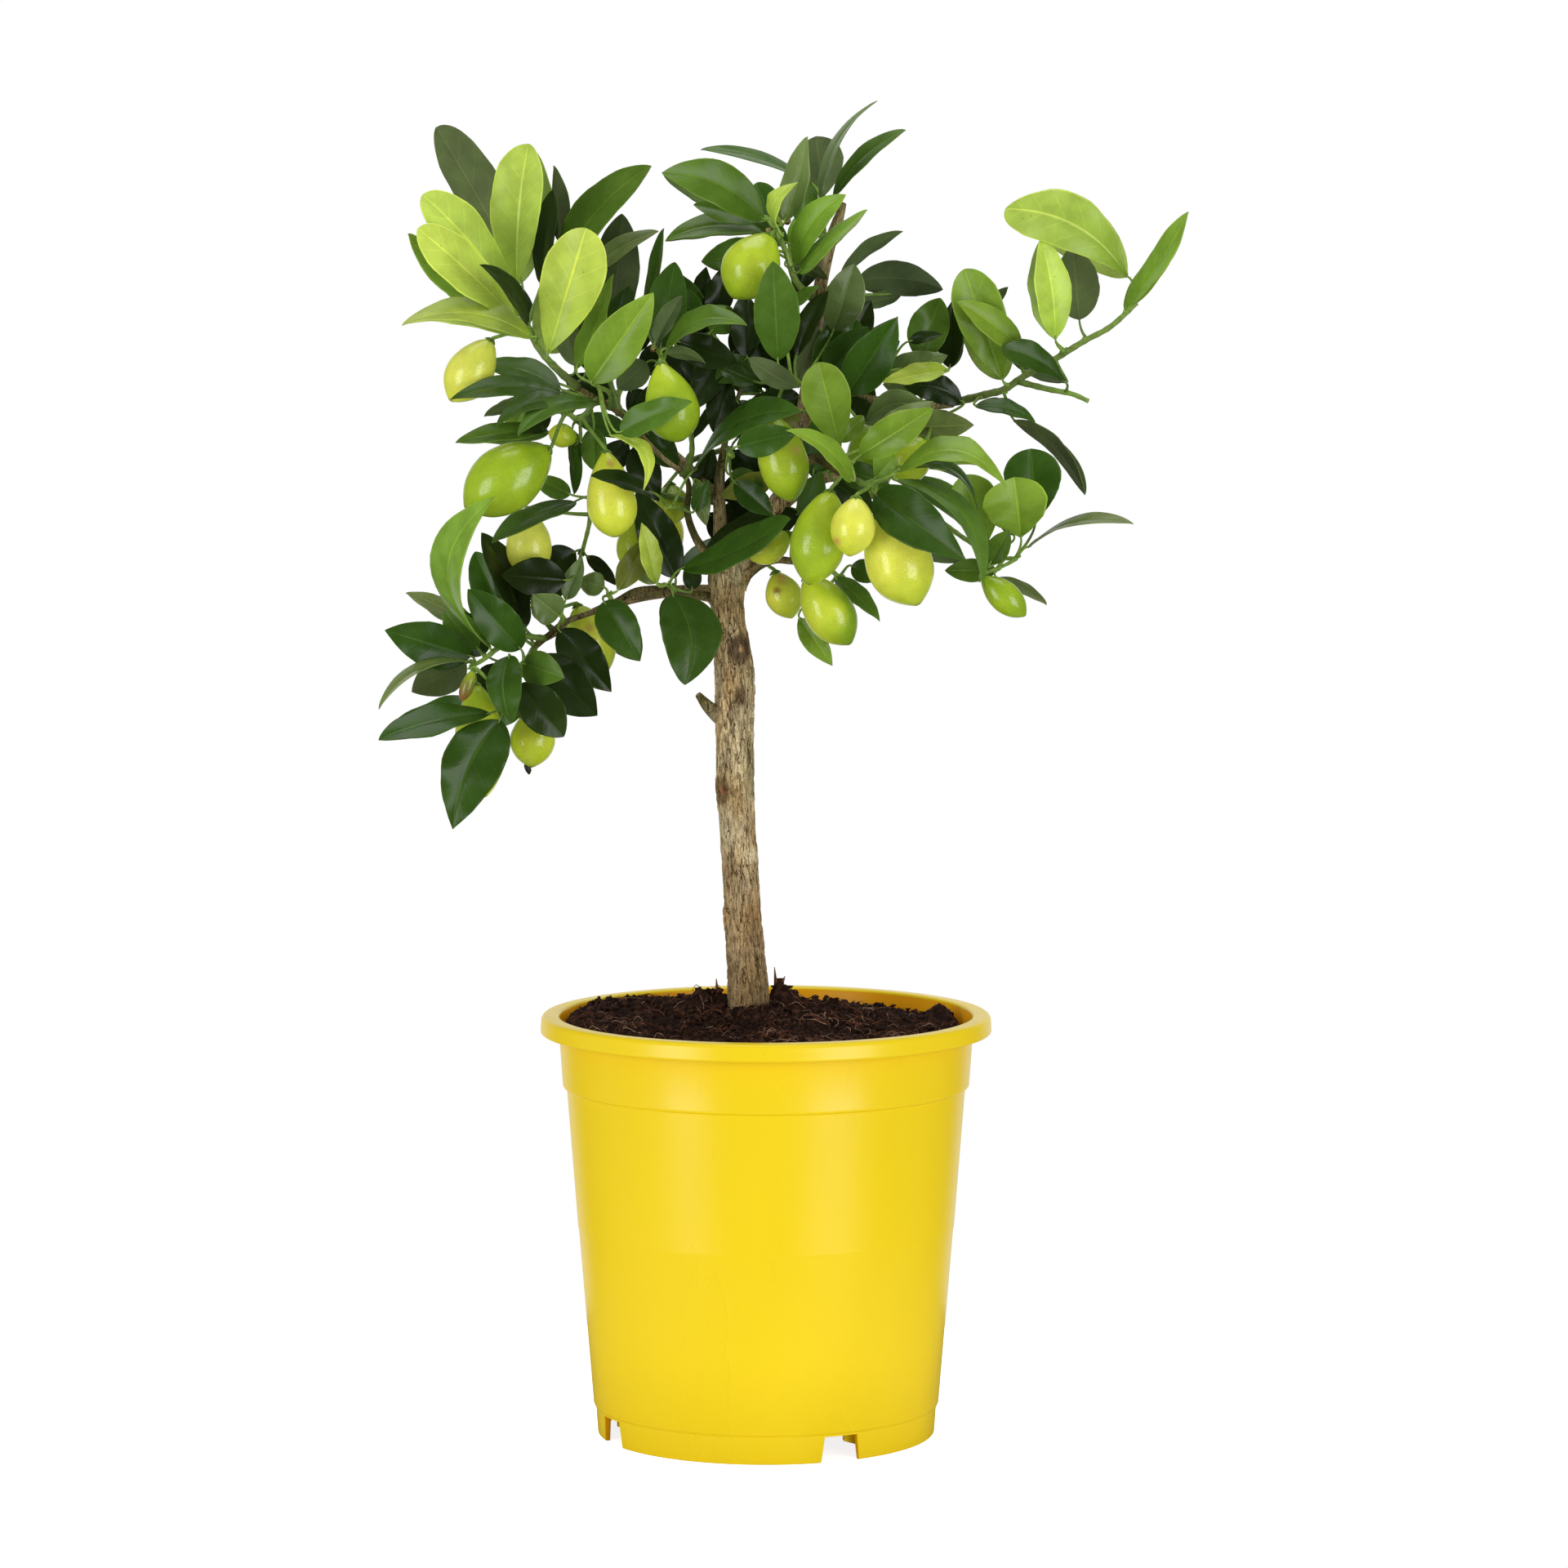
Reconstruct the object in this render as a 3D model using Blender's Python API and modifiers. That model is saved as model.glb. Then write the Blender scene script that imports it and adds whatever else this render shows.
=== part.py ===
"""A potted limequat tree: a yellow grower's pot, its root ball, the woody frame, the leafy shoots and the fruit.

Lengths are in millimetres until MM turns them into metres. Places on the plant are given as they show from the
front, as (x, z) on the upright plane through the pot's axis; front_view() sets each one back to its own depth y.
"""

import bmesh
import bpy
import math
from mathutils import Vector

MM = 0.001

# Pot
RIM_TOP = 178.6
RIM_RADIUS = 95.0
RIM_HEIGHT = 7.4
MOUTH_RADIUS = 87.2
COLLAR_TOP_RADIUS = 87.4
COLLAR_BOTTOM_RADIUS = 85.9
COLLAR_BOTTOM = 148.3
BODY_TOP_RADIUS = 84.2
BODY_BOTTOM_RADIUS = 73.3
FOOT_TOP = 12.2
FOOT_TOP_RADIUS = 72.3
FOOT_RADIUS = 71.5
WALL = 1.8
FLOOR_TOP = 13.4
POT_STEPS = 36
NOTCH_WIDTH = 18.0
NOTCH_HEIGHT = 11.0
NOTCH_ANGLES = (-64.2, 25.8, 115.8, 205.8)
DRAIN_RADIUS = 5.0
DRAIN_RING = 48.0
DRAIN_COUNT = 6

# The gap kept between pieces that touch
GAP = 0.3

# Root ball
SOIL_EDGE_TOP = 170.0
SOIL_MOUND_TOP = 185.0
SOIL_CLEARANCE = GAP + 0.4
TRUNK_HOLE_CLEARANCE = GAP + 0.3

# How round the tubes are: a curve's bevel_resolution
TRUNK_ROUNDNESS = 4
LIMB_ROUNDNESS = 1
STEM_ROUNDNESS = 0

# The point the front view is set out from, and where the middle of the whole plant lies from the pot's axis
EYE = Vector((7.6, -2413.0, 505.4))
PLANT_MIDDLE = (2.2, 8.7)

# Leaves
BLADE_THICKNESS = 0.7
BLADE_PLUMPNESS = 0.40
BLADE_FOLD = 0.16
BLADE_STATIONS = ((0.32, 0.94), (0.68, 0.86))
PETIOLE_WIDTH = 1.6
STEM_RADIUS = 1.5
WIDEST_BLADE = 27.0

# Fruit
FRUIT_SEGMENTS = 10
FRUIT_PROFILE = (
    (0.0, 0.0), (0.03, 0.34), (0.18, 0.78), (0.42, 1.0), (0.68, 0.92), (0.88, 0.52), (0.99, 0.12), (1.0, 0.0),
)
STALK_RADIUS = 1.1
LONGEST_STALK = 9.0
STALK_TO_STEM = 3.0

# Woody limbs: each a list of (x, z, depth, radius)
TRUNK = (
    (-7, 150, 0, 9.6), (-7.5, 186, 0, 9.0), (-9.5, 225, 0, 8.2), (-12, 273, 0, 8.2), (-13, 300, 0, 8.5),
    (-13.5, 323, 0, 8.8), (-15, 345, 0, 7.6), (-16.5, 362, 0, 8.0), (-16, 371, 0, 7.0),
)
LIMBS = {
    "leader": (
        (-15, 362, 0, 6.5), (-6, 375, 0, 5.8), (1, 384, 0, 5.2), (6, 394, 0, 4.8), (12, 414, 0, 4.2),
        (17, 436, 0, 3.8), (20, 458, 0, 3.4), (22, 480, 0, 3.0), (26, 500, 2, 2.8), (30, 512, 2, 2.4),
        (34, 524, 2, 1.8),
    ),
    "middle_limb": (
        (-17, 362, 0, 5.2), (-19, 385, -1, 3.0), (-19.5, 400, -2, 2.6), (-19, 412, -2, 2.5), (-16, 424, -2, 2.3),
        (-12, 437, -4, 2.1), (-9, 448, -6, 1.9),
    ),
    "left_limb": (
        (-19, 362, 0, 4.0), (-24, 371, -1, 2.6), (-30, 381, -2, 2.2), (-33, 391, -3, 2.1), (-33, 404, -4, 2.0),
        (-45, 415, -10, 1.8), (-57, 428, -16, 1.7), (-66, 435, -20, 1.7), (-78, 442, -24, 1.6),
    ),
    "low_left_branch": (
        (-17, 352, 0, 4.0), (-26, 354, -1, 2.4), (-36, 355, -3, 2.0), (-46, 357, -5, 1.9), (-55, 357, -7, 1.9),
        (-64, 351, -9, 1.8), (-75, 346, -11, 1.7), (-84, 342, -13, 1.6), (-91, 339, -14, 1.5), (-97, 334, -16, 1.5),
    ),
    "low_right_twig": (
        (-12, 362, -2, 3.0), (-3, 368, -6, 1.8), (4, 370.5, -10, 1.6), (11, 370, -14, 1.5), (24, 369, -16, 1.4),
    ),
    "right_branch": (
        (19, 446, 2, 3.0), (40, 438, 12, 2.6), (60, 435, 16, 2.4), (78, 436.5, 13, 2.2),
    ),
    "back_left_limb": (
        (-19, 396, 0, 2.4), (-40, 416, 22, 2.0), (-60, 432, 40, 1.8), (-78, 443, 54, 1.6),
    ),
    "back_right_limb": (
        (14, 422, 1, 3.4), (36, 436, 30, 2.4), (58, 434, 46, 2.0), (78, 436, 58, 1.8),
    ),
    "back_low_left_limb": (
        (-18, 356, 2, 4.0), (-40, 357, 22, 2.4), (-66, 351, 40, 2.0), (-94, 337, 56, 1.6),
    ),
    "back_low_right_limb": (
        (5, 394, 2, 3.6), (26, 405, 30, 2.2), (48, 402, 48, 1.8),
    ),
    "front_right_twig": (
        (10, 408, -1, 3.2), (20, 413, -18, 1.9), (30, 408, -34, 1.7), (38, 404, -46, 1.6),
    ),
    "stub": (
        (-17, 298, -1, 4.6), (-22, 304, -3, 3.2), (-26, 311, -5, 2.4), (-28.5, 313.5, -6, 2.0),
    ),
}

# Leafy shoots. Stem: (x, z, depth) points. Leaf: base x, z, depth; tip x, z, depth; width as it shows; arch; tone
SHOOTS = {
    "shoot_upper_left": {
        "stem": ((-79, 443, -24), (-88, 451, -24), (-95, 459, -22), (-100, 468, -20)),
        "leaves": (
            (-103, 490, 2, -137, 551, 10, 21, 0, "grey"),
            (-104, 485, -12, -99, 544, -16, 22, 0, "bright"),
            (-105, 478, -24, -143, 523, -34, 18, 0, "bright"),
            (-104, 471, -34, -145, 509, -48, 18, 0, "bright"),
            (-110, 473, -10, -149, 507, -10, 11, -5, "mid"),
            (-98, 464, -40, -152, 469, -54, 11, 6, "bright"),
            (-91, 457, -38, -75, 509, -46, 26, 0, "bright"),
            (-99, 469, -44, -119, 494, -62, 7, 3, "dark"),
            (-94, 486, 10, -89, 525, 16, 9, 0, "dark"),
            (-75, 450, -16, -71, 480, -12, 10, 0, "dark"),
            (-80, 452, -4, -86, 478, 2, 11, 0, "grey"),
        ),
    },
    "shoot_left_crown": {
        "stem": ((-71, 438, -22), (-77, 430, -32), (-84, 432, -34)),
        "leaves": (
            (-86, 442, -20, -121, 452, -2, 9, 2, "mid"),
            (-86, 440, -34, -132, 438, -38, 9, 3, "dark"),
            (-93, 437, -10, -118, 431, -8, 6, 0, "grey"),
            (-95, 444, 4, -108, 421, 10, 14, 0, "bright"),
            (-79, 436, -42, -113, 427, -58, 8, 4, "dark"),
            (-90, 431, -18, -103, 424, -20, 9, 0, "dark"),
            (-91, 424, -18, -130, 420, -14, 8, 0, "mid"),
            (-81, 425, -20, -80, 398, -18, 5, 0, "dark"),
            (-72, 426, -20, -72, 408, -13, 11, 0, "mid"),
        ),
    },
    "shoot_left_inner": {
        "stem": ((-65, 434, -20), (-65, 440, -30), (-70, 443, -37)),
        "leaves": (
            (-79, 451, -36, -64, 490, -42, 9, -2, "bright"),
            (-73, 445, -38, -47, 482, -50, 20, 0, "bright"),
            (-69, 436, -42, -104, 423, -66, 8, 5, "mid"),
            (-61, 424, -64, -31, 437, -74, 12, 0, "dark"),
            (-65, 423, -60, -51, 400, -68, 8, 9, "bright"),
        ),
    },
    "shoot_high_left": {
        "stem": ((-62, 434, -14), (-66, 448, -4), (-72, 466, 4), (-78, 480, 8)),
        "leaves": (
            (-86, 490, 6, -48, 535, -2, 16, 4, "mid"),
            (-74, 490, 18, -45, 508, 14, 8, 2, "mid"),
            (-64, 466, 22, -60, 515, 26, 20, 0, "grey"),
            (-64, 462, 4, -57, 485, 6, 13, 0, "dark"),
            (-85, 502, 22, -88, 535, 26, 8, 0, "grey"),
        ),
    },
    "shoot_centre_left": {
        "stem": ((-33, 408, -8), (-31, 420, -20), (-36, 440, -30), (-44, 456, -38)),
        "leaves": (
            (-44, 460, -28, -38, 495, -20, 17, 0, "dark"),
            (-46, 462, -44, -35, 481, -50, 8, 0, "grey"),
            (-42, 459, -46, -8, 469, -64, 9, 7, "mid"),
            (-41, 457, -42, -25, 453, -52, 5, 1, "grey"),
            (-50, 470, -16, -43, 509, -10, 5, -1, "dark"),
            (-50, 453, -22, -62, 442, -20, 9, 0, "grey"),
            (-37, 462, -34, -12, 453, -40, 14, 0, "grey"),
        ),
    },
    "shoot_inner_back": {
        "stem": ((-14, 436, 2), (-20, 448, 8), (-26, 462, 10)),
        "leaves": (
            (-33, 466, 8, -33, 484, 8, 14, 0, "grey"),
            (-29, 468, 14, -25, 493, 18, 10, 0, "dark"),
            (-23, 466, 4, -14, 476, 6, 14, 0, "dark"),
            (-23, 466, 22, -19, 484, 26, 7, 0, "grey"),
            (-21, 437, -2, -29, 455, -8, 10, 0, "dark"),
            (-8, 455, 0, -9, 482, 4, 13, 0, "dark"),
        ),
    },
    "shoot_high_centre": {
        "stem": ((19, 480, -5), (12, 488, -12), (9, 498, -16), (4, 508, -20), (1, 513, -20)),
        "leaves": (
            (-1, 513, -24, -43, 532, -44, 18, 5, "mid"),
            (-3, 512, -16, -30, 519, -20, 9, 0, "dark"),
            (-1, 507, -14, -42, 504, -20, 9, 4, "dark"),
            (-1, 500, -4, -27, 495, 0, 14, 0, "dark"),
            (2, 514, -4, -4, 528, 4, 12, 0, "dark"),
            (8, 512, -26, 17, 547, -34, 11, -2, "mid"),
            (7, 506, -36, 14, 527, -50, 8, 7, "bright"),
            (12, 495, -32, 33, 523, -44, 13, 3, "bright"),
            (14, 491, -36, 42, 517, -56, 6, 0, "mid"),
        ),
    },
    "shoot_top": {
        "stem": ((25, 504, 8), (24, 511, 12), (24, 519, 12)),
        "leaves": (
            (24, 522, 18, 21, 547, 24, 20, 0, "grey"),
            (23, 522, 4, 46, 563, -6, 5, 6, "bright"),
            (28, 522, 10, 58, 550, 4, 7, 3, "mid"),
            (18, 526, 14, -27, 542, 18, 8, 2, "mid"),
        ),
    },
    "shoot_high_right": {
        "stem": ((23, 474, 3), (30, 478, 10), (36, 481, 12)),
        "leaves": (
            (31, 488, 8, 57, 508, 2, 7, 3, "dark"),
            (40, 483, 16, 74, 484, 12, 19, 0, "dark"),
            (27, 474, 13, 20, 450, 12, 12, 0, "grey"),
        ),
    },
    "shoot_front_high": {
        "stem": ((15, 444, -6), (15, 444, -24), (9, 449, -38)),
        "leaves": (
            (5, 454, -46, 3, 495, -66, 19, 0, "mid"),
            (8, 446, -44, -6, 454, -50, 8, -1, "dark"),
            (13, 456, -26, 26, 483, -26, 9, 0, "dark"),
            (10, 476, -24, 22, 485, -30, 5, 0, "mid"),
            (-4, 445, -30, -20, 452, -34, 10, 0, "dark"),
            (28, 466, -13, 37, 494, -18, 17, 0, "grey"),
        ),
    },
    "shoot_right_inner": {
        "stem": ((36, 443, 6), (42, 446, 0), (50, 449, -4)),
        "leaves": (
            (33, 449, -6, 37, 472, -4, 17, 0, "dark"),
            (34, 440, -22, 55, 472, -40, 19, 0, "mid"),
            (54, 448, 2, 76, 455, 0, 13, 0, "grey"),
            (53, 447, -14, 76, 451, -20, 7, 1, "bright"),
            (60, 462, -14, 74, 465, -18, 5, 0, "dark"),
            (64, 455, 6, 73, 480, 8, 17, 0, "bright"),
            (77, 451, 18, 78, 479, 20, 11, 0, "dark"),
        ),
    },
    "shoot_front_centre": {
        "stem": ((29, 408, -33), (30, 415, -42), (36, 411, -54)),
        "leaves": (
            (31, 418, -46, 22, 453, -60, 20, 0, "bright"),
            (39, 414, -58, 70, 434, -68, 15, 0, "bright"),
            (45, 420, -34, 70, 437, -32, 13, 0, "grey"),
            (36, 404, -62, 9, 425, -78, 8, 3, "mid"),
            (31, 420, -28, 41, 431, -22, 8, 0, "bright"),
        ),
    },
    "shoot_front_right": {
        "stem": ((42, 402, -50), (46, 403, -54), (52, 405, -54)),
        "leaves": (
            (56, 408, -52, 101, 401, -66, 13, 14, "mid"),
            (46, 398, -66, 84, 370, -92, 21, 0, "dark"),
            (55, 404, -62, 91, 361, -80, 11, 10, "mid"),
            (58, 409, -40, 89, 391, -46, 5, 9, "dark"),
            (46, 405, -44, 54, 414, -34, 11, 0, "mid"),
        ),
    },
    "shoot_low_right": {
        "stem": ((52, 401, 48), (66, 392, 30), (84, 379, 6), (97, 372, -8), (105, 371, -12)),
        "leaves": (
            (88, 382, -2, 78, 403, -10, 17, 0, "bright"),
            (107, 380, -18, 103, 406, -26, 24, 0, "bright"),
            (101, 401, -35, 122, 415, -33, 11, 2, "dark"),
            (94, 369, -24, 102, 383, -30, 10, 0, "dark"),
            (104, 381, 0, 97, 395, 4, 5, 0, "dark"),
            (108, 373, -16, 154, 390, -26, 5, 0, "mid"),
            (97, 366, -12, 75, 366, -8, 10, 0, "dark"),
            (97, 363, -16, 118, 352, -24, 5, 1, "dark"),
        ),
    },
    "shoot_right_branch": {
        "stem": (
            (81, 437, 12), (93, 440, 8), (100, 442, 6), (109, 448, 4), (120, 454, 2), (133, 462, 0),
            (144, 468, -2), (155, 478, -4),
        ),
        "spur": ((106, 445, 4), (118, 442, 2), (128, 440, 0), (135, 437, -2)),
        "leaves": (
            (99, 446, -2, 83, 492, -10, 21, 0, "bright"),
            (107, 459, 14, 82, 481, 18, 13, 0, "bright"),
            (125, 445, -6, 99, 459, -16, 11, 2, "dark"),
            (151, 489, -4, 100, 517, -14, 24, 8, "bright"),
            (121, 463, -4, 115, 505, -10, 15, 0, "bright"),
            (131, 471, 8, 128, 502, 14, 19, 0, "dark"),
            (150, 475, -10, 176, 516, -16, 9, -2, "bright"),
            (88, 435, 2, 113, 428, -4, 6, 2, "dark"),
            (97, 432, 6, 122, 413, 2, 5, 3, "dark"),
        ),
    },
    "shoot_right_base": {
        "stem": ((66, 433, 11), (68, 431, 4), (70, 429, 0)),
        "leaves": (
            (65, 440, -4, 82, 436, -8, 10, 2, "dark"),
            (70, 426, -6, 88, 428, -12, 13, 0, "dark"),
            (63, 440, 8, 49, 444, 4, 7, 0, "grey"),
        ),
    },
    "shoot_low_front": {
        "stem": ((-38, 358, -8), (-41, 360, -14)),
        "leaves": (
            (-38, 363, -8, -54, 400, -2, 17, 0, "dark"),
            (-46, 361, -22, -52, 386, -28, 9, 0, "bright"),
            (-35, 367, -24, 10, 388, -54, 13, -3, "dark"),
            (-39, 355, -20, -34, 319, -30, 25, 0, "dark"),
            (-46, 361, -12, -60, 371, -12, 7, 0, "grey"),
            (-31, 358, -10, -31, 370, -6, 8, 0, "dark"),
        ),
    },
    "shoot_low_middle": {
        "stem": ((-65, 354, -11), (-66, 356, -16)),
        "leaves": (
            (-62, 358, -18, -49, 380, -16, 11, 0, "olive"),
            (-68, 359, -12, -78, 362, -6, 10, 0, "mid"),
            (-68, 353, -24, -53, 328, -32, 17, 0, "dark"),
        ),
    },
    "shoot_low_left": {
        "stem": ((-85, 345, -14), (-86, 348, -18)),
        "leaves": (
            (-87, 347, -22, -98, 356, -30, 14, 0, "mid"),
            (-84, 354, -16, -77, 372, -12, 8, 0, "mid"),
            (-87, 341, -20, -65, 315, -22, 17, 0, "dark"),
        ),
    },
    "shoot_hanging_left": {
        "stem": ((-36, 396, 4), (-50, 399, 10), (-62, 397, 10), (-71, 388, 8), (-77, 374, 6)),
        "leaves": (
            (-75, 372, 2, -63, 360, 2, 6, 0, "dark"),
            (-80, 374, 4, -97, 362, 4, 15, 0, "dark"),
            (-84, 362, 12, -111, 364, 10, 17, 0, "dark"),
            (-80, 395, -18, -115, 378, -44, 9, 1, "mid"),
            (-82, 398, 4, -97, 405, 2, 9, 0, "dark"),
        ),
    },
    "shoot_left_cluster": {
        "stem": ((-97, 334, -16), (-99, 329, -28), (-103, 326, -38), (-107, 316, -50), (-110, 308, -60)),
        "leaves": (
            (-101, 342, -14, -119, 382, -12, 13, 0, "dark"),
            (-112, 346, 0, -122, 376, 4, 12, 0, "grey"),
            (-103, 333, -36, -122, 351, -46, 14, 0, "dark"),
            (-108, 328, -52, -107, 302, -74, 17, 0, "mid"),
            (-102, 327, -44, -85, 320, -60, 13, 0, "dark"),
            (-103, 317, -58, -85, 296, -58, 16, 0, "dark"),
            (-97, 329, -30, -71, 304, -38, 16, 0, "dark"),
            (-116, 306, -64, -163, 295, -76, 12, 2, "dark"),
            (-112, 303, -66, -132, 257, -76, 25, 0, "dark"),
        ),
    },
    "shoot_left_tip": {
        "stem": ((-93, 338, -15), (-104, 338, -26), (-113, 333, -31), (-118, 329, -32), (-123, 326, -33)),
        "leaves": (
            (-116, 334, -36, -114, 397, -76, 13, 17, "bright"),
            (-121, 333, -20, -135, 349, -18, 14, 0, "dark"),
            (-124, 330, -28, -160, 341, -36, 16, 0, "dark"),
            (-122, 342, -10, -151, 357, -6, 9, 0, "grey"),
            (-125, 328, -40, -163, 308, -52, 5, 6, "mid"),
            (-127, 324, -26, -149, 316, -28, 13, 0, "dark"),
        ),
    },
    "shoot_middle": {
        "stem": ((-16, 417, -6), (-14, 414, -30), (-15, 415, -54)),
        "leaves": (
            (-11, 417, -62, 12, 422, -64, 13, 0, "dark"),
            (-13, 403, -14, 3, 389, -20, 11, 0, "dark"),
            (-15, 406, -8, -1, 401, -10, 10, 0, "mid"),
        ),
    },
    "shoot_low_centre": {
        "stem": ((-34, 392, -8), (-41, 393, -30)),
        "leaves": (
            (-48, 399, -47, -73, 406, -66, 7, 0, "dark"),
            (-30, 391, -16, -24, 404, -18, 7, 0, "mid"),
            (-28, 409, -26, 14, 434, -60, 9, 10, "dark"),
        ),
    },
    "shoot_low_under": {
        "stem": ((25, 368, -16), (31, 363, -18)),
        "leaves": (
            (29, 363, -20, 48, 345, -26, 8, 0, "mid"),
            (36, 368, -19, 48, 362, -20, 10, 0, "dark"),
            (14, 346, -20, 28, 325, -24, 10, 0, "mid"),
            (17, 386, -11, 23, 408, -8, 12, 0, "dark"),
        ),
    },
}

# Shoots on the far side: the near shoot they follow, the depth its stem starts at, and how deep they grow
FAR_SHOOTS = {
    "far_shoot_upper_left": ("shoot_upper_left", 62.0, 0.8),
    "far_shoot_left_inner": ("shoot_left_inner", 58.0, 0.8),
    "far_shoot_high_centre": ("shoot_high_centre", 24.0, 1.2),
    "far_shoot_right_branch": ("shoot_right_branch", 66.0, 1.0),
    "far_shoot_front_right": ("shoot_front_right", 60.0, 1.0),
    "far_shoot_left_cluster": ("shoot_left_cluster", 60.0, 0.8),
}

# Fruit: stalk end x, z; tip x, z; depth; width
FRUITS = (
    (-115, 462, -132, 437, -20, 20),
    (-91, 417, -126, 392, -50, 28),
    (-67, 415.5, -63, 380, -40, 21),
    (-44, 452.5, -36, 420, -56, 22.5),
    (2, 506, -14, 480, -44, 24),
    (-100, 391, -99, 362, -10, 19.5),
    (-79, 421, -91, 424, -30, 10),
    (6, 431, 12, 396, -42, 21),
    (27, 399, 18, 360, -56, 23),
    (38, 396.5, 35, 372, -76, 18.5),
    (47, 388, 64, 351.5, -62, 28),
    (19, 362, 31, 332, -40, 21),
    (4, 365, 11, 346, -4, 15.5),
    (10, 381, -7, 371, -26, 14),
    (-79, 351, -68, 322, 4, 20),
    (-97, 306, -98, 281, -40, 18.5),
    (-121, 318, -115, 272, -42, 20),
    (91, 363, 109, 347, -44, 13),
    (67, 421, 53, 404, -22, 19),
    (-40, 402, -38, 386, 14, 15),
    (-52, 389, -58, 366, 14, 15),
    (-123, 324, -128, 311, -58, 6),
    (-30, 470, -28, 442, 62, 21),
    (42, 428, 45, 396, 84, 21),
    (-45, 396, -43, 368, 60, 20),
)

# Colours
POT_YELLOW = (0.96, 0.70, 0.02)
SOIL_BROWN = (0.030, 0.014, 0.008)
BARK_TAN = (0.26, 0.20, 0.12)
LEAF_GREEN = (0.08, 0.20, 0.03)
FRUIT_LIME = (0.42, 0.58, 0.03)


# ---------------------------------------------------------------------------------------------------------------
# Helpers


def front_view(x, z, depth):
    """The point at a depth that shows at (x, z) from the front."""
    reach = 1.0 - depth / EYE.y
    return Vector((EYE.x + (x - EYE.x) * reach, depth, EYE.z + (z - EYE.z) * reach))


def place(point):
    """A point in millimetres from the pot's axis, as a place in the part's own frame."""
    return Vector((point.x - PLANT_MIDDLE[0], point.y - PLANT_MIDDLE[1], point.z)) * MM


def clear_scene():
    """Remove the objects the scene starts with."""
    for thing in list(bpy.data.objects):
        bpy.data.objects.remove(thing, do_unlink=True)


def new_collection(name):
    """A collection linked to the scene."""
    collection = bpy.data.collections.new(name)
    bpy.context.scene.collection.children.link(collection)
    return collection


def new_material(name, colour, roughness):
    """A Principled material with one colour and roughness."""
    material = bpy.data.materials.new(name)
    material.use_nodes = True
    shader = material.node_tree.nodes["Principled BSDF"]
    shader.inputs["Base Color"].default_value = (*colour, 1.0)
    shader.inputs["Roughness"].default_value = roughness
    return material


def new_object(name, mesh, collection):
    """An object showing a mesh, in a collection."""
    thing = bpy.data.objects.new(name, mesh)
    collection.objects.link(thing)
    return thing


def finish_part(thing, material):
    """Give a part its material and smooth shading that keeps its sharp edges."""
    thing.data.materials.clear()
    thing.data.materials.append(material)
    thing.data.shade_smooth()
    thing.data.set_sharp_from_angle(angle=math.radians(40))


def hide_tool(thing):
    """Keep an object that only shapes another one out of the render."""
    thing.hide_render = True
    thing.display_type = "WIRE"


def add_boolean(thing, other, operation):
    """Join or cut an object with another one."""
    boolean = thing.modifiers.new("boolean_" + other.name, "BOOLEAN")
    boolean.operation = operation
    boolean.object = other
    boolean.solver = "EXACT"
    boolean.use_self = operation == "UNION"


def tubes_object(name, tubes, roundness, collection):
    """Closed tubes along lists of (point, radius), as one mesh object."""
    curve = bpy.data.curves.new(name + "_curve", "CURVE")
    curve.dimensions = "3D"
    curve.bevel_depth = MM
    curve.bevel_resolution = roundness
    curve.use_fill_caps = True
    for tube in tubes:
        spline = curve.splines.new("POLY")
        spline.points.add(len(tube) - 1)
        for point, (where, radius) in zip(spline.points, tube):
            point.co = (*place(where), 1.0)
            point.radius = radius
    source = new_object(name + "_path", curve, collection)
    mesh = bpy.data.meshes.new_from_object(source.evaluated_get(bpy.context.evaluated_depsgraph_get()))
    bpy.data.objects.remove(source, do_unlink=True)
    shape = bmesh.new()
    shape.from_mesh(mesh)
    bmesh.ops.remove_doubles(shape, verts=shape.verts, dist=0.000001)
    bmesh.ops.recalc_face_normals(shape, faces=shape.faces)
    shape.to_mesh(mesh)
    shape.free()
    mesh.name = name
    return new_object(name, mesh, collection)


def turned_object(name, profile, steps, collection):
    """A profile of (radius, height) points turned about the upright axis by a Screw."""
    mesh = bpy.data.meshes.new(name)
    points = [Vector((radius * MM, 0.0, height * MM)) for radius, height in profile]
    edges = [(index, index + 1) for index in range(len(points) - 1)]
    mesh.from_pydata(points, edges, [])
    thing = new_object(name, mesh, collection)
    screw = thing.modifiers.new("turn", "SCREW")
    screw.steps = steps
    screw.render_steps = steps
    screw.use_merge_vertices = True
    screw.merge_threshold = 0.00001
    screw.use_normal_calculate = True
    return thing


def set_on_pot_axis(thing):
    """Move a turned object from the origin to the pot's axis."""
    thing.location = place(Vector((0.0, 0.0, 0.0)))


# ---------------------------------------------------------------------------------------------------------------
# Pot and root ball


def outer_radius(height):
    """The pot body's outer radius at a height between the foot and the collar."""
    share = (height - FOOT_TOP) / (COLLAR_BOTTOM - FOOT_TOP)
    return BODY_BOTTOM_RADIUS + (BODY_TOP_RADIUS - BODY_BOTTOM_RADIUS) * share


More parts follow.
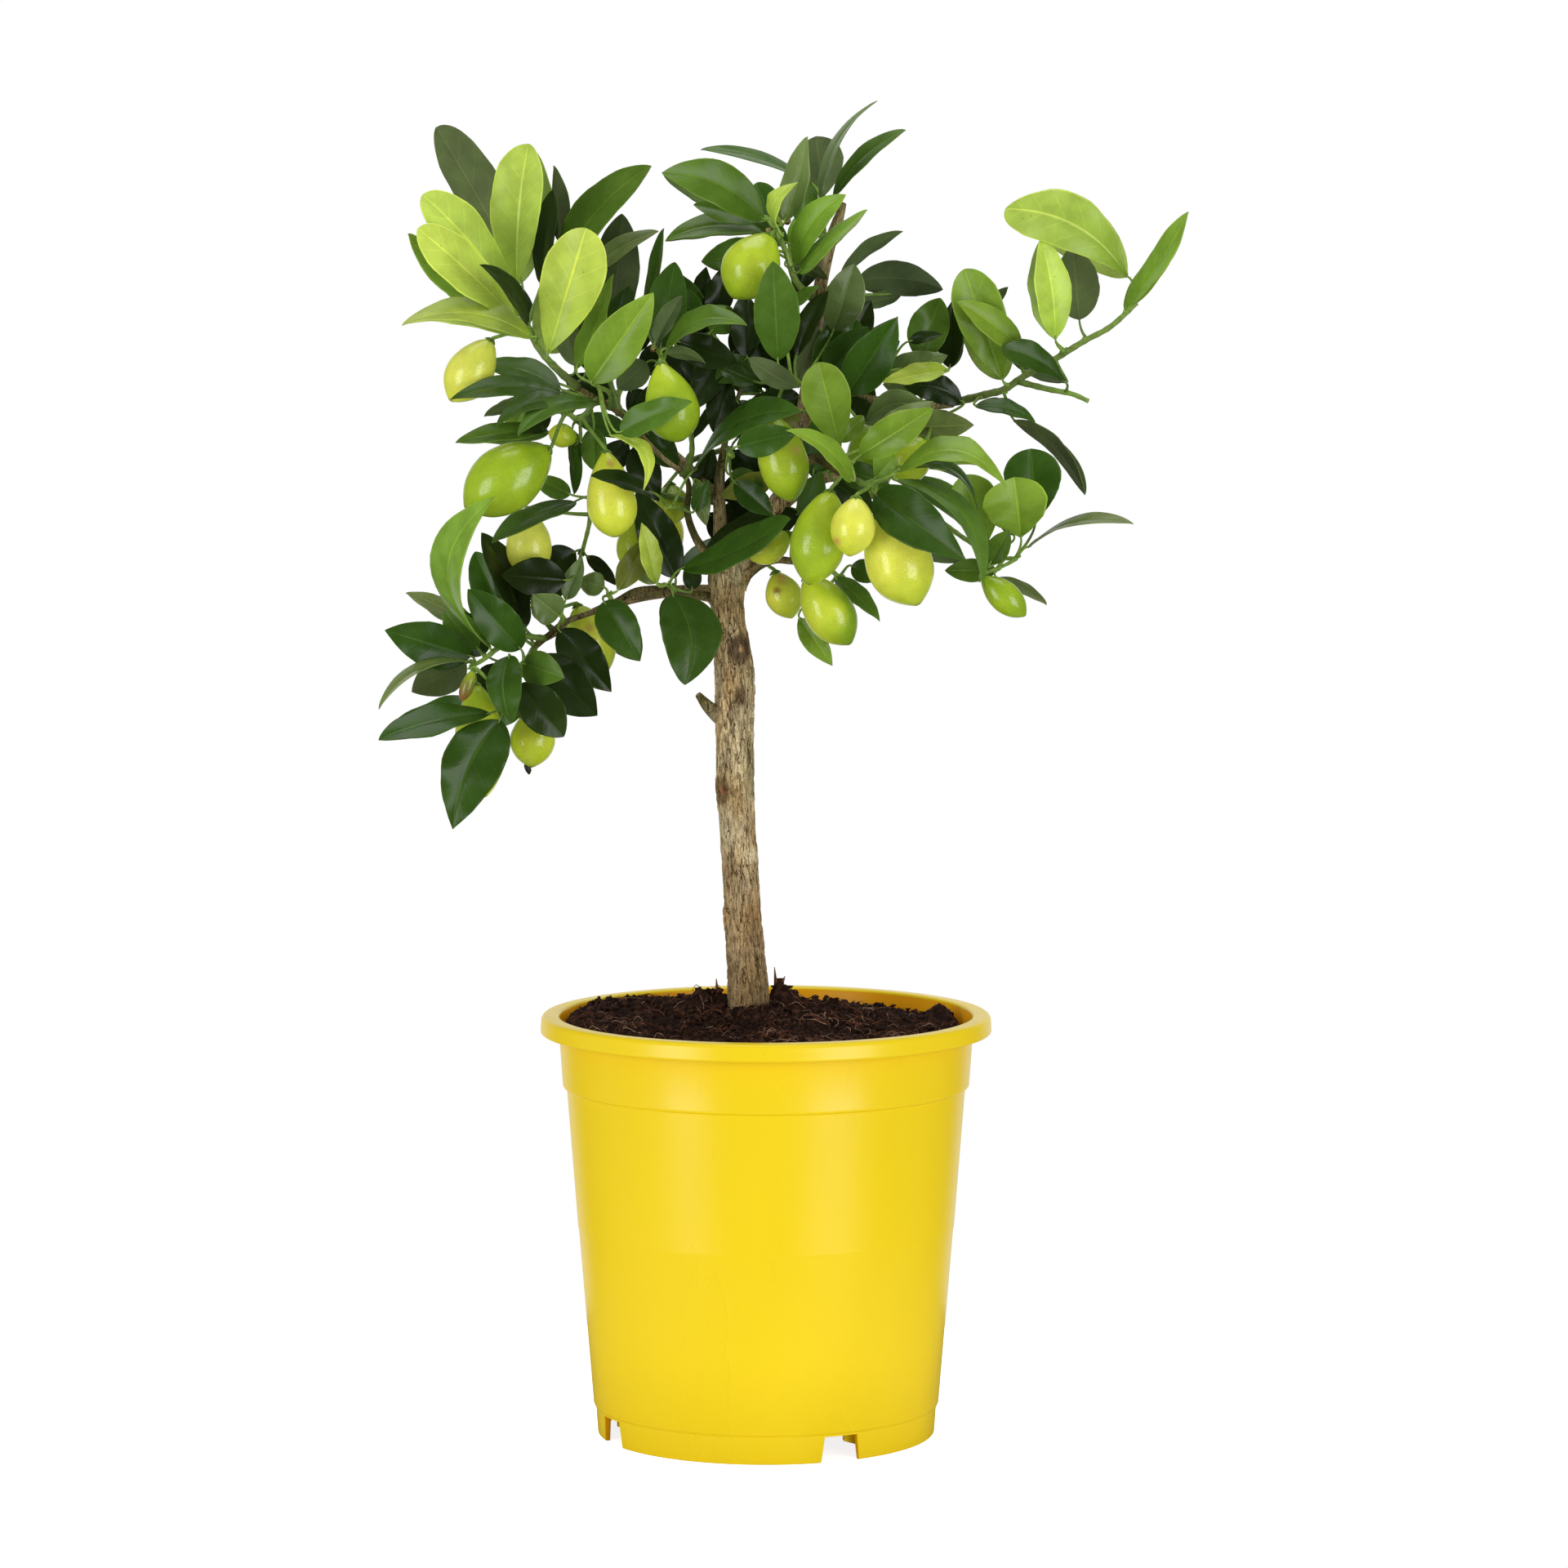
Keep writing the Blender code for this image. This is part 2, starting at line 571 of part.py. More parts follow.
def build_pot(parts, tools, material):
    """The grower's pot: rim, collar, tapered body, foot ring with four notches, and a drained floor."""
    rim_bottom = RIM_TOP - RIM_HEIGHT
    profile = (
        (0.0, FLOOR_TOP),
        (outer_radius(FOOT_TOP) - WALL - 3.0, FLOOR_TOP),
        (outer_radius(FOOT_TOP) - WALL, FLOOR_TOP + 3.0),
        (outer_radius(COLLAR_BOTTOM) - WALL, COLLAR_BOTTOM - 2.0),
        (COLLAR_BOTTOM_RADIUS - WALL, COLLAR_BOTTOM + 1.0),
        (COLLAR_TOP_RADIUS - WALL, rim_bottom),
        (MOUTH_RADIUS, RIM_TOP - 1.2),
        (MOUTH_RADIUS + 1.4, RIM_TOP),
        (RIM_RADIUS - 1.4, RIM_TOP),
        (RIM_RADIUS, RIM_TOP - 1.6),
        (RIM_RADIUS + 0.3, rim_bottom),
        (COLLAR_TOP_RADIUS, rim_bottom),
        (COLLAR_BOTTOM_RADIUS, COLLAR_BOTTOM + 0.6),
        (BODY_TOP_RADIUS, COLLAR_BOTTOM - 0.6),
        (BODY_BOTTOM_RADIUS, FOOT_TOP + 0.6),
        (FOOT_TOP_RADIUS, FOOT_TOP - 0.4),
        (FOOT_RADIUS, 0.0),
        (FOOT_RADIUS - 2.2, 0.0),
        (FOOT_RADIUS - 2.2, FLOOR_TOP - WALL),
        (0.0, FLOOR_TOP - WALL),
    )
    pot = turned_object("pot", profile, POT_STEPS, parts)
    set_on_pot_axis(pot)
    for number, angle in enumerate(NOTCH_ANGLES, 1):
        add_boolean(pot, notch_cutter(number, angle, tools), "DIFFERENCE")
    for number in range(1, DRAIN_COUNT + 1):
        add_boolean(pot, drain_cutter(number, tools), "DIFFERENCE")
    finish_part(pot, material)
    return pot


def notch_cutter(number, angle, tools):
    """A wedge, wider at the floor, that takes one notch out of the foot ring."""
    shape = bmesh.new()
    bmesh.ops.create_cube(shape, size=1.0)
    for corner in shape.verts:
        half_width = NOTCH_WIDTH / 2.0 if corner.co.z < 0.0 else NOTCH_WIDTH / 2.0 - 1.6
        radius = FOOT_RADIUS + 6.0 if corner.co.x > 0.0 else FOOT_RADIUS - 8.0
        height = -2.0 if corner.co.z < 0.0 else NOTCH_HEIGHT
        corner.co = Vector((radius, math.copysign(half_width, corner.co.y), height)) * MM
    mesh = bpy.data.meshes.new(f"notch_cutter_{number}")
    shape.to_mesh(mesh)
    shape.free()
    cutter = new_object(mesh.name, mesh, tools)
    cutter.rotation_euler.z = math.radians(angle)
    set_on_pot_axis(cutter)
    hide_tool(cutter)
    return cutter


def drain_cutter(number, tools):
    """A round pin that opens one drain hole in the floor."""
    angle = 2.0 * math.pi * number / DRAIN_COUNT
    shape = bmesh.new()
    bmesh.ops.create_cone(
        shape, cap_ends=True, segments=10, radius1=DRAIN_RADIUS * MM, radius2=DRAIN_RADIUS * MM, depth=12.0 * MM
    )
    mesh = bpy.data.meshes.new(f"drain_cutter_{number}")
    shape.to_mesh(mesh)
    shape.free()
    cutter = new_object(mesh.name, mesh, tools)
    centre = Vector((DRAIN_RING * math.cos(angle), DRAIN_RING * math.sin(angle), FLOOR_TOP - 1.0))
    cutter.location = place(centre)
    hide_tool(cutter)
    return cutter


def build_soil(parts, tools, material):
    """The root ball: it fills the pot to a little under the rim and mounds up round the trunk."""
    profile = (
        (0.0, SOIL_MOUND_TOP),
        (16.0, SOIL_MOUND_TOP - 0.5),
        (34.0, SOIL_MOUND_TOP - 5.0),
        (58.0, SOIL_EDGE_TOP + 4.0),
        (COLLAR_TOP_RADIUS - WALL - 2.5, SOIL_EDGE_TOP),
        (COLLAR_BOTTOM_RADIUS - WALL - SOIL_CLEARANCE, COLLAR_BOTTOM + 1.0),
        (outer_radius(COLLAR_BOTTOM) - WALL - SOIL_CLEARANCE, COLLAR_BOTTOM - 3.0),
        (outer_radius(FOOT_TOP) - WALL - SOIL_CLEARANCE, FLOOR_TOP + 4.0),
        (outer_radius(FOOT_TOP) - WALL - 4.0, FLOOR_TOP + GAP),
        (0.0, FLOOR_TOP + GAP),
    )
    soil = turned_object("potting_soil", profile, POT_STEPS, parts)
    set_on_pot_axis(soil)
    path = [(front_view(x, z, depth), radius + TRUNK_HOLE_CLEARANCE) for x, z, depth, radius in TRUNK]
    path[0] = (path[0][0] + Vector((0.0, 0.0, -TRUNK_HOLE_CLEARANCE)), path[0][1])
    hole = tubes_object("trunk_hole_cutter", [path], TRUNK_ROUNDNESS, tools)
    hide_tool(hole)
    add_boolean(soil, hole, "DIFFERENCE")
    finish_part(soil, material)
    return soil


# ---------------------------------------------------------------------------------------------------------------
# Woody frame


def limb_path(points):
    """The tube path of a limb."""
    return [(front_view(x, z, depth), radius) for x, z, depth, radius in points]


def build_wood(parts, tools, material):
    """The trunk and its limbs, which grew as one piece."""
    wood = tubes_object("trunk_and_limbs", [limb_path(TRUNK)], TRUNK_ROUNDNESS, parts)
    for name, points in LIMBS.items():
        limb = tubes_object(name, [limb_path(points)], LIMB_ROUNDNESS, tools)
        hide_tool(limb)
        add_boolean(wood, limb, "UNION")
    finish_part(wood, material)
    return wood


def limb_segments():
    """Every straight run of wood."""
    return runs_of([limb_path(points) for points in (*LIMBS.values(), TRUNK)])


def nearest_on(segments, point, inset=0.0):
    """The point of some segments nearest to a place, kept off their ends, with the radius and direction there."""
    best = None
    for start, end, radius, end_radius in segments:
        along = end - start
        share = min(1.0 - inset, max(inset, (point - start).dot(along) / along.length_squared))
        foot = start + along * share
        distance = (point - foot).length
        if best is None or distance < best[0]:
            best = (distance, foot, radius + (end_radius - radius) * share, along.normalized())
    return best[1:]


def clear_start(segments, near, towards, radius):
    """Where a stem growing from the nearest wood towards a point begins, clear of that wood."""
    foot, wood_radius, grain = nearest_on(segments, near)
    way = (towards - foot).normalized()
    slant = abs(way.dot(grain))
    across = max(0.35, math.sqrt(max(0.0, 1.0 - slant * slant)))
    return foot + way * ((wood_radius + GAP + radius * slant) / across)


# ---------------------------------------------------------------------------------------------------------------
# Leafy shoots


def blade_frame(base, tip, showing):
    """The directions across a blade and out of its face, and its true half width."""
    along = (tip - base).normalized()
    width = min(WIDEST_BLADE, max(showing, BLADE_PLUMPNESS * (tip - base).length))
    turn = math.acos(min(1.0, showing / width))
    towards_eye = (EYE - base).normalized()
    face = (towards_eye - along * towards_eye.dot(along)).normalized()
    across = along.cross(face)
    if across.z < 0.0:
        across = -across
    return across * math.cos(turn) + face * math.sin(turn), face, width / 2.0


def midrib_point(base, tip, arch, share):
    """A point of the midrib: a chord from base to tip that arches by a height."""
    chord = tip - base
    lift = Vector((-chord.z, 0.0, chord.x)).normalized()
    if lift.z < 0.0:
        lift = -lift
    return base + chord * share + lift * (4.0 * arch * share * (1.0 - share))


def add_leaf(shape, foot, base, tip, showing, arch):
    """One leaf as an open surface: a narrow petiole from its foot, then a blade folded a little along its midrib."""
    across, face, half_width = blade_frame(base, tip, showing)
    folded = across.cross(tip - base).normalized()
    if folded.dot(Vector((0.0, -0.4, 1.0))) < 0.0:
        folded = -folded
    way = (base - foot).normalized()
    level = across - way * across.dot(way)
    if level.length < 0.3:
        level = face - way * face.dot(way)
    level.normalize()
    if level.dot(across) < 0.0:
        level = -level
    narrow = level * PETIOLE_WIDTH / 2.0
    start = [shape.verts.new(place(p)) for p in (foot - narrow, foot + narrow)]
    narrow = (level + across).normalized() * PETIOLE_WIDTH / 2.0
    neck = [shape.verts.new(place(p)) for p in (base - narrow, base + narrow)]
    rows = []
    for share, swell in BLADE_STATIONS:
        middle = midrib_point(base, tip, arch, share)
        side = across * half_width * swell
        lift = folded * half_width * swell * BLADE_FOLD
        rows.append([shape.verts.new(place(p)) for p in (middle - side + lift, middle, middle + side + lift)])
    last = shape.verts.new(place(tip))
    shape.faces.new((start[0], neck[0], neck[1], start[1]))
    shape.faces.new((neck[0], rows[0][0], rows[0][1]))
    shape.faces.new((neck[0], rows[0][1], neck[1]))
    shape.faces.new((neck[1], rows[0][1], rows[0][2]))
    for left, right in ((0, 1), (1, 2)):
        for row, ahead in zip(rows, rows[1:]):
            shape.faces.new((row[left], ahead[left], ahead[right], row[right]))
        shape.faces.new((rows[-1][left], last, rows[-1][right]))


def build_leaves(name, leaves, stem_runs, tools):
    """All the leaves of a shoot, thickened, each with its foot inside the nearest stem."""
    shape = bmesh.new()
    for number, (x, z, depth, tip_x, tip_z, tip_depth, showing, arch, _tone) in enumerate(leaves):
        base = front_view(x, z, depth)
        foot = nearest_on(stem_runs, base, 0.06 + 0.013 * number)[0]
        add_leaf(shape, foot, base, front_view(tip_x, tip_z, tip_depth), showing, arch)
    mesh = bpy.data.meshes.new(name)
    shape.to_mesh(mesh)
    shape.free()
    blades = new_object(name, mesh, tools)
    solidify = blades.modifiers.new("thickness", "SOLIDIFY")
    solidify.thickness = BLADE_THICKNESS * MM
    solidify.offset = 0.0
    hide_tool(blades)
    return blades


def stem_paths(shoot, segments):
    """The shoot's stem and its spur, if it has one, as tube paths."""
    stem = [front_view(x, z, depth) for x, z, depth in shoot["stem"]]
    stem[0] = clear_start(segments, stem[0], stem[1], STEM_RADIUS)
    paths = [[(point, STEM_RADIUS - 0.5 * index / len(stem)) for index, point in enumerate(stem)]]
    spur = [front_view(x, z, depth) for x, z, depth in shoot.get("spur", ())]
    if spur:
        paths.append([(point, STEM_RADIUS) for point in spur])
    return paths


def runs_of(paths):
    """The straight runs of some tube paths as (start, end, start radius, end radius)."""
    found = []
    for path in paths:
        found += [(a[0], b[0], a[1], b[1]) for a, b in zip(path, path[1:])]
    return found


def build_shoot(name, shoot, segments, parts, tools, material):
    """A leafy shoot: its green stem and leaves, which grew as one piece."""
    paths = stem_paths(shoot, segments)
    thing = tubes_object(name, paths, STEM_ROUNDNESS, parts)
    add_boolean(thing, build_leaves(name + "_leaves", shoot["leaves"], runs_of(paths), tools), "UNION")
    finish_part(thing, material)
    return thing


def far_shoot(near_name, start_depth, spread):
    """A shoot on the far side that follows a near one, turned front to back, with every other leaf."""
    near = SHOOTS[near_name]
    near_depth = near["stem"][0][2]

    def back(depth):
        return start_depth - (depth - near_depth) * spread

    shoot = {"stem": tuple((x, z, back(depth)) for x, z, depth in near["stem"])}
    shoot["leaves"] = tuple(
        (x, z, back(depth), tip_x, tip_z, back(tip_depth), showing, arch, tone)
        for x, z, depth, tip_x, tip_z, tip_depth, showing, arch, tone in near["leaves"][1::2]
    )
    return shoot


# ---------------------------------------------------------------------------------------------------------------
# Fruit


def build_fruit(number, row, segments, parts, tools, material):
    """One limequat with its short stalk."""
    x, z, tip_x, tip_z, depth, width = row
    top = front_view(x, z, depth)
    tip = front_view(tip_x, tip_z, depth)
    length = (tip - top).length
    profile = [(swell * width / 2.0, -share * length) for share, swell in FRUIT_PROFILE]
    fruit = turned_object(f"limequat_{number:02d}", profile, FRUIT_SEGMENTS, parts)
    fruit.location = place(top)
    fruit.rotation_mode = "QUATERNION"
    fruit.rotation_quaternion = Vector((0.0, 0.0, -1.0)).rotation_difference(tip - top)
    foot = nearest_on(segments, top)[0]
    reach = min(max(0.0, (foot - top).length - STALK_TO_STEM), LONGEST_STALK)
    way = (foot - top).normalized()
    inside = top + (tip - top).normalized() * 2.0
    stalk = [(inside, STALK_RADIUS), (top, STALK_RADIUS), (top + way * reach, STALK_RADIUS * 0.9)]
    if reach < 1.0:
        stalk = [(inside, STALK_RADIUS), (top - (tip - top).normalized(), STALK_RADIUS)]
    stalk_tool = tubes_object(f"limequat_{number:02d}_stalk", [stalk], STEM_ROUNDNESS, tools)
    hide_tool(stalk_tool)
    add_boolean(fruit, stalk_tool, "UNION")
    finish_part(fruit, material)
    return fruit


def main():
    """Build the whole plant."""
    clear_scene()
    parts = new_collection("potted_limequat_tree")
    tools = new_collection("shaping_tools")
    build_pot(parts, tools, new_material("pot_yellow_plastic", POT_YELLOW, 0.45))
    build_soil(parts, tools, new_material("potting_soil", SOIL_BROWN, 0.95))
    build_wood(parts, tools, new_material("bark", BARK_TAN, 0.85))
    segments = limb_segments()
    shoots = dict(SHOOTS)
    for name, (near_name, start_depth, spread) in FAR_SHOOTS.items():
        shoots[name] = far_shoot(near_name, start_depth, spread)
    leaf = new_material("leaf_green", LEAF_GREEN, 0.4)
    for name, shoot in shoots.items():
        build_shoot(name, shoot, segments, parts, tools, leaf)
    rind = new_material("limequat_rind", FRUIT_LIME, 0.3)
    stems = [[(front_view(*point), STEM_RADIUS) for point in shoot["stem"]] for shoot in shoots.values()]
    hangers = runs_of(stems) + segments
    for number, row in enumerate(FRUITS, 1):
        build_fruit(number, row, hangers, parts, tools, rind)


main()
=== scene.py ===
"""The looks of a potted limequat tree: its pot, soil, bark, leafy shoots and fruit, and the studio round it.

Lengths are in millimetres from the pot's axis until a mesh is made; then they are metres in the CAD's frame.
Places on the plant are given as they show from the front, as (x, z) on the upright plane through the pot's
axis, with a depth y; front_view() sets each one back along the line of sight to that depth.
"""

import logging
import math
import random
from dataclasses import dataclass
from enum import Enum
from functools import lru_cache
from typing import Iterable, Sequence

import bmesh
import bpy
import numpy as np
from bpy.types import Material, Node, NodeSocket, NodeTree, Object
from mathutils import Matrix, Vector, noise


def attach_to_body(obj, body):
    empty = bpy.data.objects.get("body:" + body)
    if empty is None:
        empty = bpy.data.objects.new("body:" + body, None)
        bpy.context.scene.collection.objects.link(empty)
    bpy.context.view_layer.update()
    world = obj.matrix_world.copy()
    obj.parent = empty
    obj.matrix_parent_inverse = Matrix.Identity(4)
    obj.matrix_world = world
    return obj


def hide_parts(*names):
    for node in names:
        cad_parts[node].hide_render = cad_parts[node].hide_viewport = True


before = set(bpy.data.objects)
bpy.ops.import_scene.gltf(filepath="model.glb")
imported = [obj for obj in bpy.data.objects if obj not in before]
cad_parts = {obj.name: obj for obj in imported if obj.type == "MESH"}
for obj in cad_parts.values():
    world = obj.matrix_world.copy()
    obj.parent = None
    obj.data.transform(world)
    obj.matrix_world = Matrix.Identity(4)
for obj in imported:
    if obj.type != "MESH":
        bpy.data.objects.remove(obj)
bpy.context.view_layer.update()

LOG = logging.getLogger("limequat")
BODY = "root"
MM = 0.001
FULL_TURN = 2.0 * math.pi

# The camera's place, and the middle of the plant, which is the CAD's origin
EYE = Vector((7.6, -2413.0, 505.4))
PLANT_MIDDLE = Vector((2.2, 8.7, 0.0))

Row = tuple[float, ...]
Curve = list[tuple[Vector, float]]
Runs = list[tuple[Vector, Vector, float, float]]


class Tone(Enum):
    """How a leaf's visible side looks: its upper side from old to young, pale or brown, or its underside. The
    deep tone also carries painted shade, for leaves in the crown's shadow, and the pale sage tone is partly a
    painted sheen.
    """

    DEEP = "deep"
    DARK = "dark"
    MID = "mid"
    FRESH = "fresh"
    BRIGHT = "bright"
    SAGE = "sage"
    OLIVE = "olive"
    GREY = "grey"


class Side(Enum):
    """The side of the crown a shoot grows on."""

    NEAR = -1
    FAR = 1


# Woody limbs: each a list of (x, z, depth, radius)
TRUNK: tuple[Row, ...] = (
    (-7, 150, 0, 9.6), (-7.5, 186, 0, 9.0), (-10, 225, 0, 7.9), (-12.7, 273, 0, 7.9), (-13, 300, 0, 8.5),
    (-13.5, 323, 0, 8.8), (-15.7, 345, 0, 7.0), (-16.5, 362, 0, 8.0), (-16, 371, 0, 7.0),
)
LIMBS: dict[str, tuple[Row, ...]] = {
    "leader": (
        (-15, 362, 0, 6.5), (-6, 375, 0, 5.8), (1, 384, 0, 5.2), (6, 394, 0, 4.8), (12, 414, 0, 4.2),
        (17, 436, 0, 3.8), (20, 458, 0, 3.4), (22, 480, 0, 3.0), (26, 500, 2, 2.8), (30, 512, 2, 2.4),
        (32.5, 519, 2, 1.2),
    ),
    "middle_limb": (
        (-17, 362, 0, 5.2), (-19, 385, -1, 3.0), (-19.5, 400, -2, 2.5), (-18.5, 412, -2, 1.7),
        (-16, 424, -2, 1.0), (-12, 437, -4, 0.9), (-9, 448, -6, 0.9),
    ),
    "left_limb": (
        (-19, 362, 0, 4.0), (-24, 371, -1, 2.2), (-30, 381, -2, 1.6), (-33, 391, -3, 1.4),
        (-33, 404, -4, 1.2), (-45, 415, -10, 1.0), (-57, 428, -16, 1.0), (-66, 435, -20, 1.1),
        (-78, 442, -24, 1.2),
    ),
    "low_left_branch": (
        (-17, 350, 0, 4.0), (-24, 355, -1, 1.9), (-32, 356.5, -3, 1.2), (-42, 358.5, -5, 1.2),
        (-54, 357.5, -7, 1.5), (-62, 353.5, -9, 1.4), (-70, 349.5, -11, 1.2), (-84, 344.5, -13, 1.3),
        (-91, 339, -14, 1.3), (-97, 334, -16, 1.3),
    ),
    "low_right_twig": (
        (-12, 362, -2, 3.0), (-3, 368, -6, 1.8), (4, 370.5, -10, 1.6), (11, 370, -14, 1.5),
        (24, 369, -16, 1.4),
    ),
    "right_branch": (
        (19, 446, 2, 3.0), (40, 438, 12, 2.6), (60, 435, 16, 2.4), (78, 436.5, 13, 2.2),
    ),
    "back_left_limb": (
        (-19, 396, 0, 2.4), (-40, 416, 22, 2.0), (-60, 432, 40, 1.8), (-78, 443, 54, 1.6),
    ),
    "back_right_limb": (
        (14, 422, 1, 3.4), (36, 436, 30, 2.4), (58, 434, 46, 2.0), (78, 436, 58, 1.8),
    ),
    "back_low_left_limb": (
        (-18, 356, 2, 4.0), (-40, 357, 22, 2.4), (-66, 351, 40, 2.0), (-94, 337, 56, 1.6),
    ),
    "back_low_right_limb": (
        (5, 394, 2, 3.6), (26, 405, 30, 2.2), (48, 402, 48, 1.8),
    ),
    "front_right_twig": (
        (10, 408, -1, 3.2), (20, 413, -18, 1.9), (30, 408, -34, 1.7), (38, 404, -46, 1.6),
    ),
    "stub": (
        (-15, 302, 2, 3.6), (-20, 305, 0, 3.2), (-24.5, 309, -3, 2.6), (-28.3, 313.5, -5, 1.5),
    ),
}

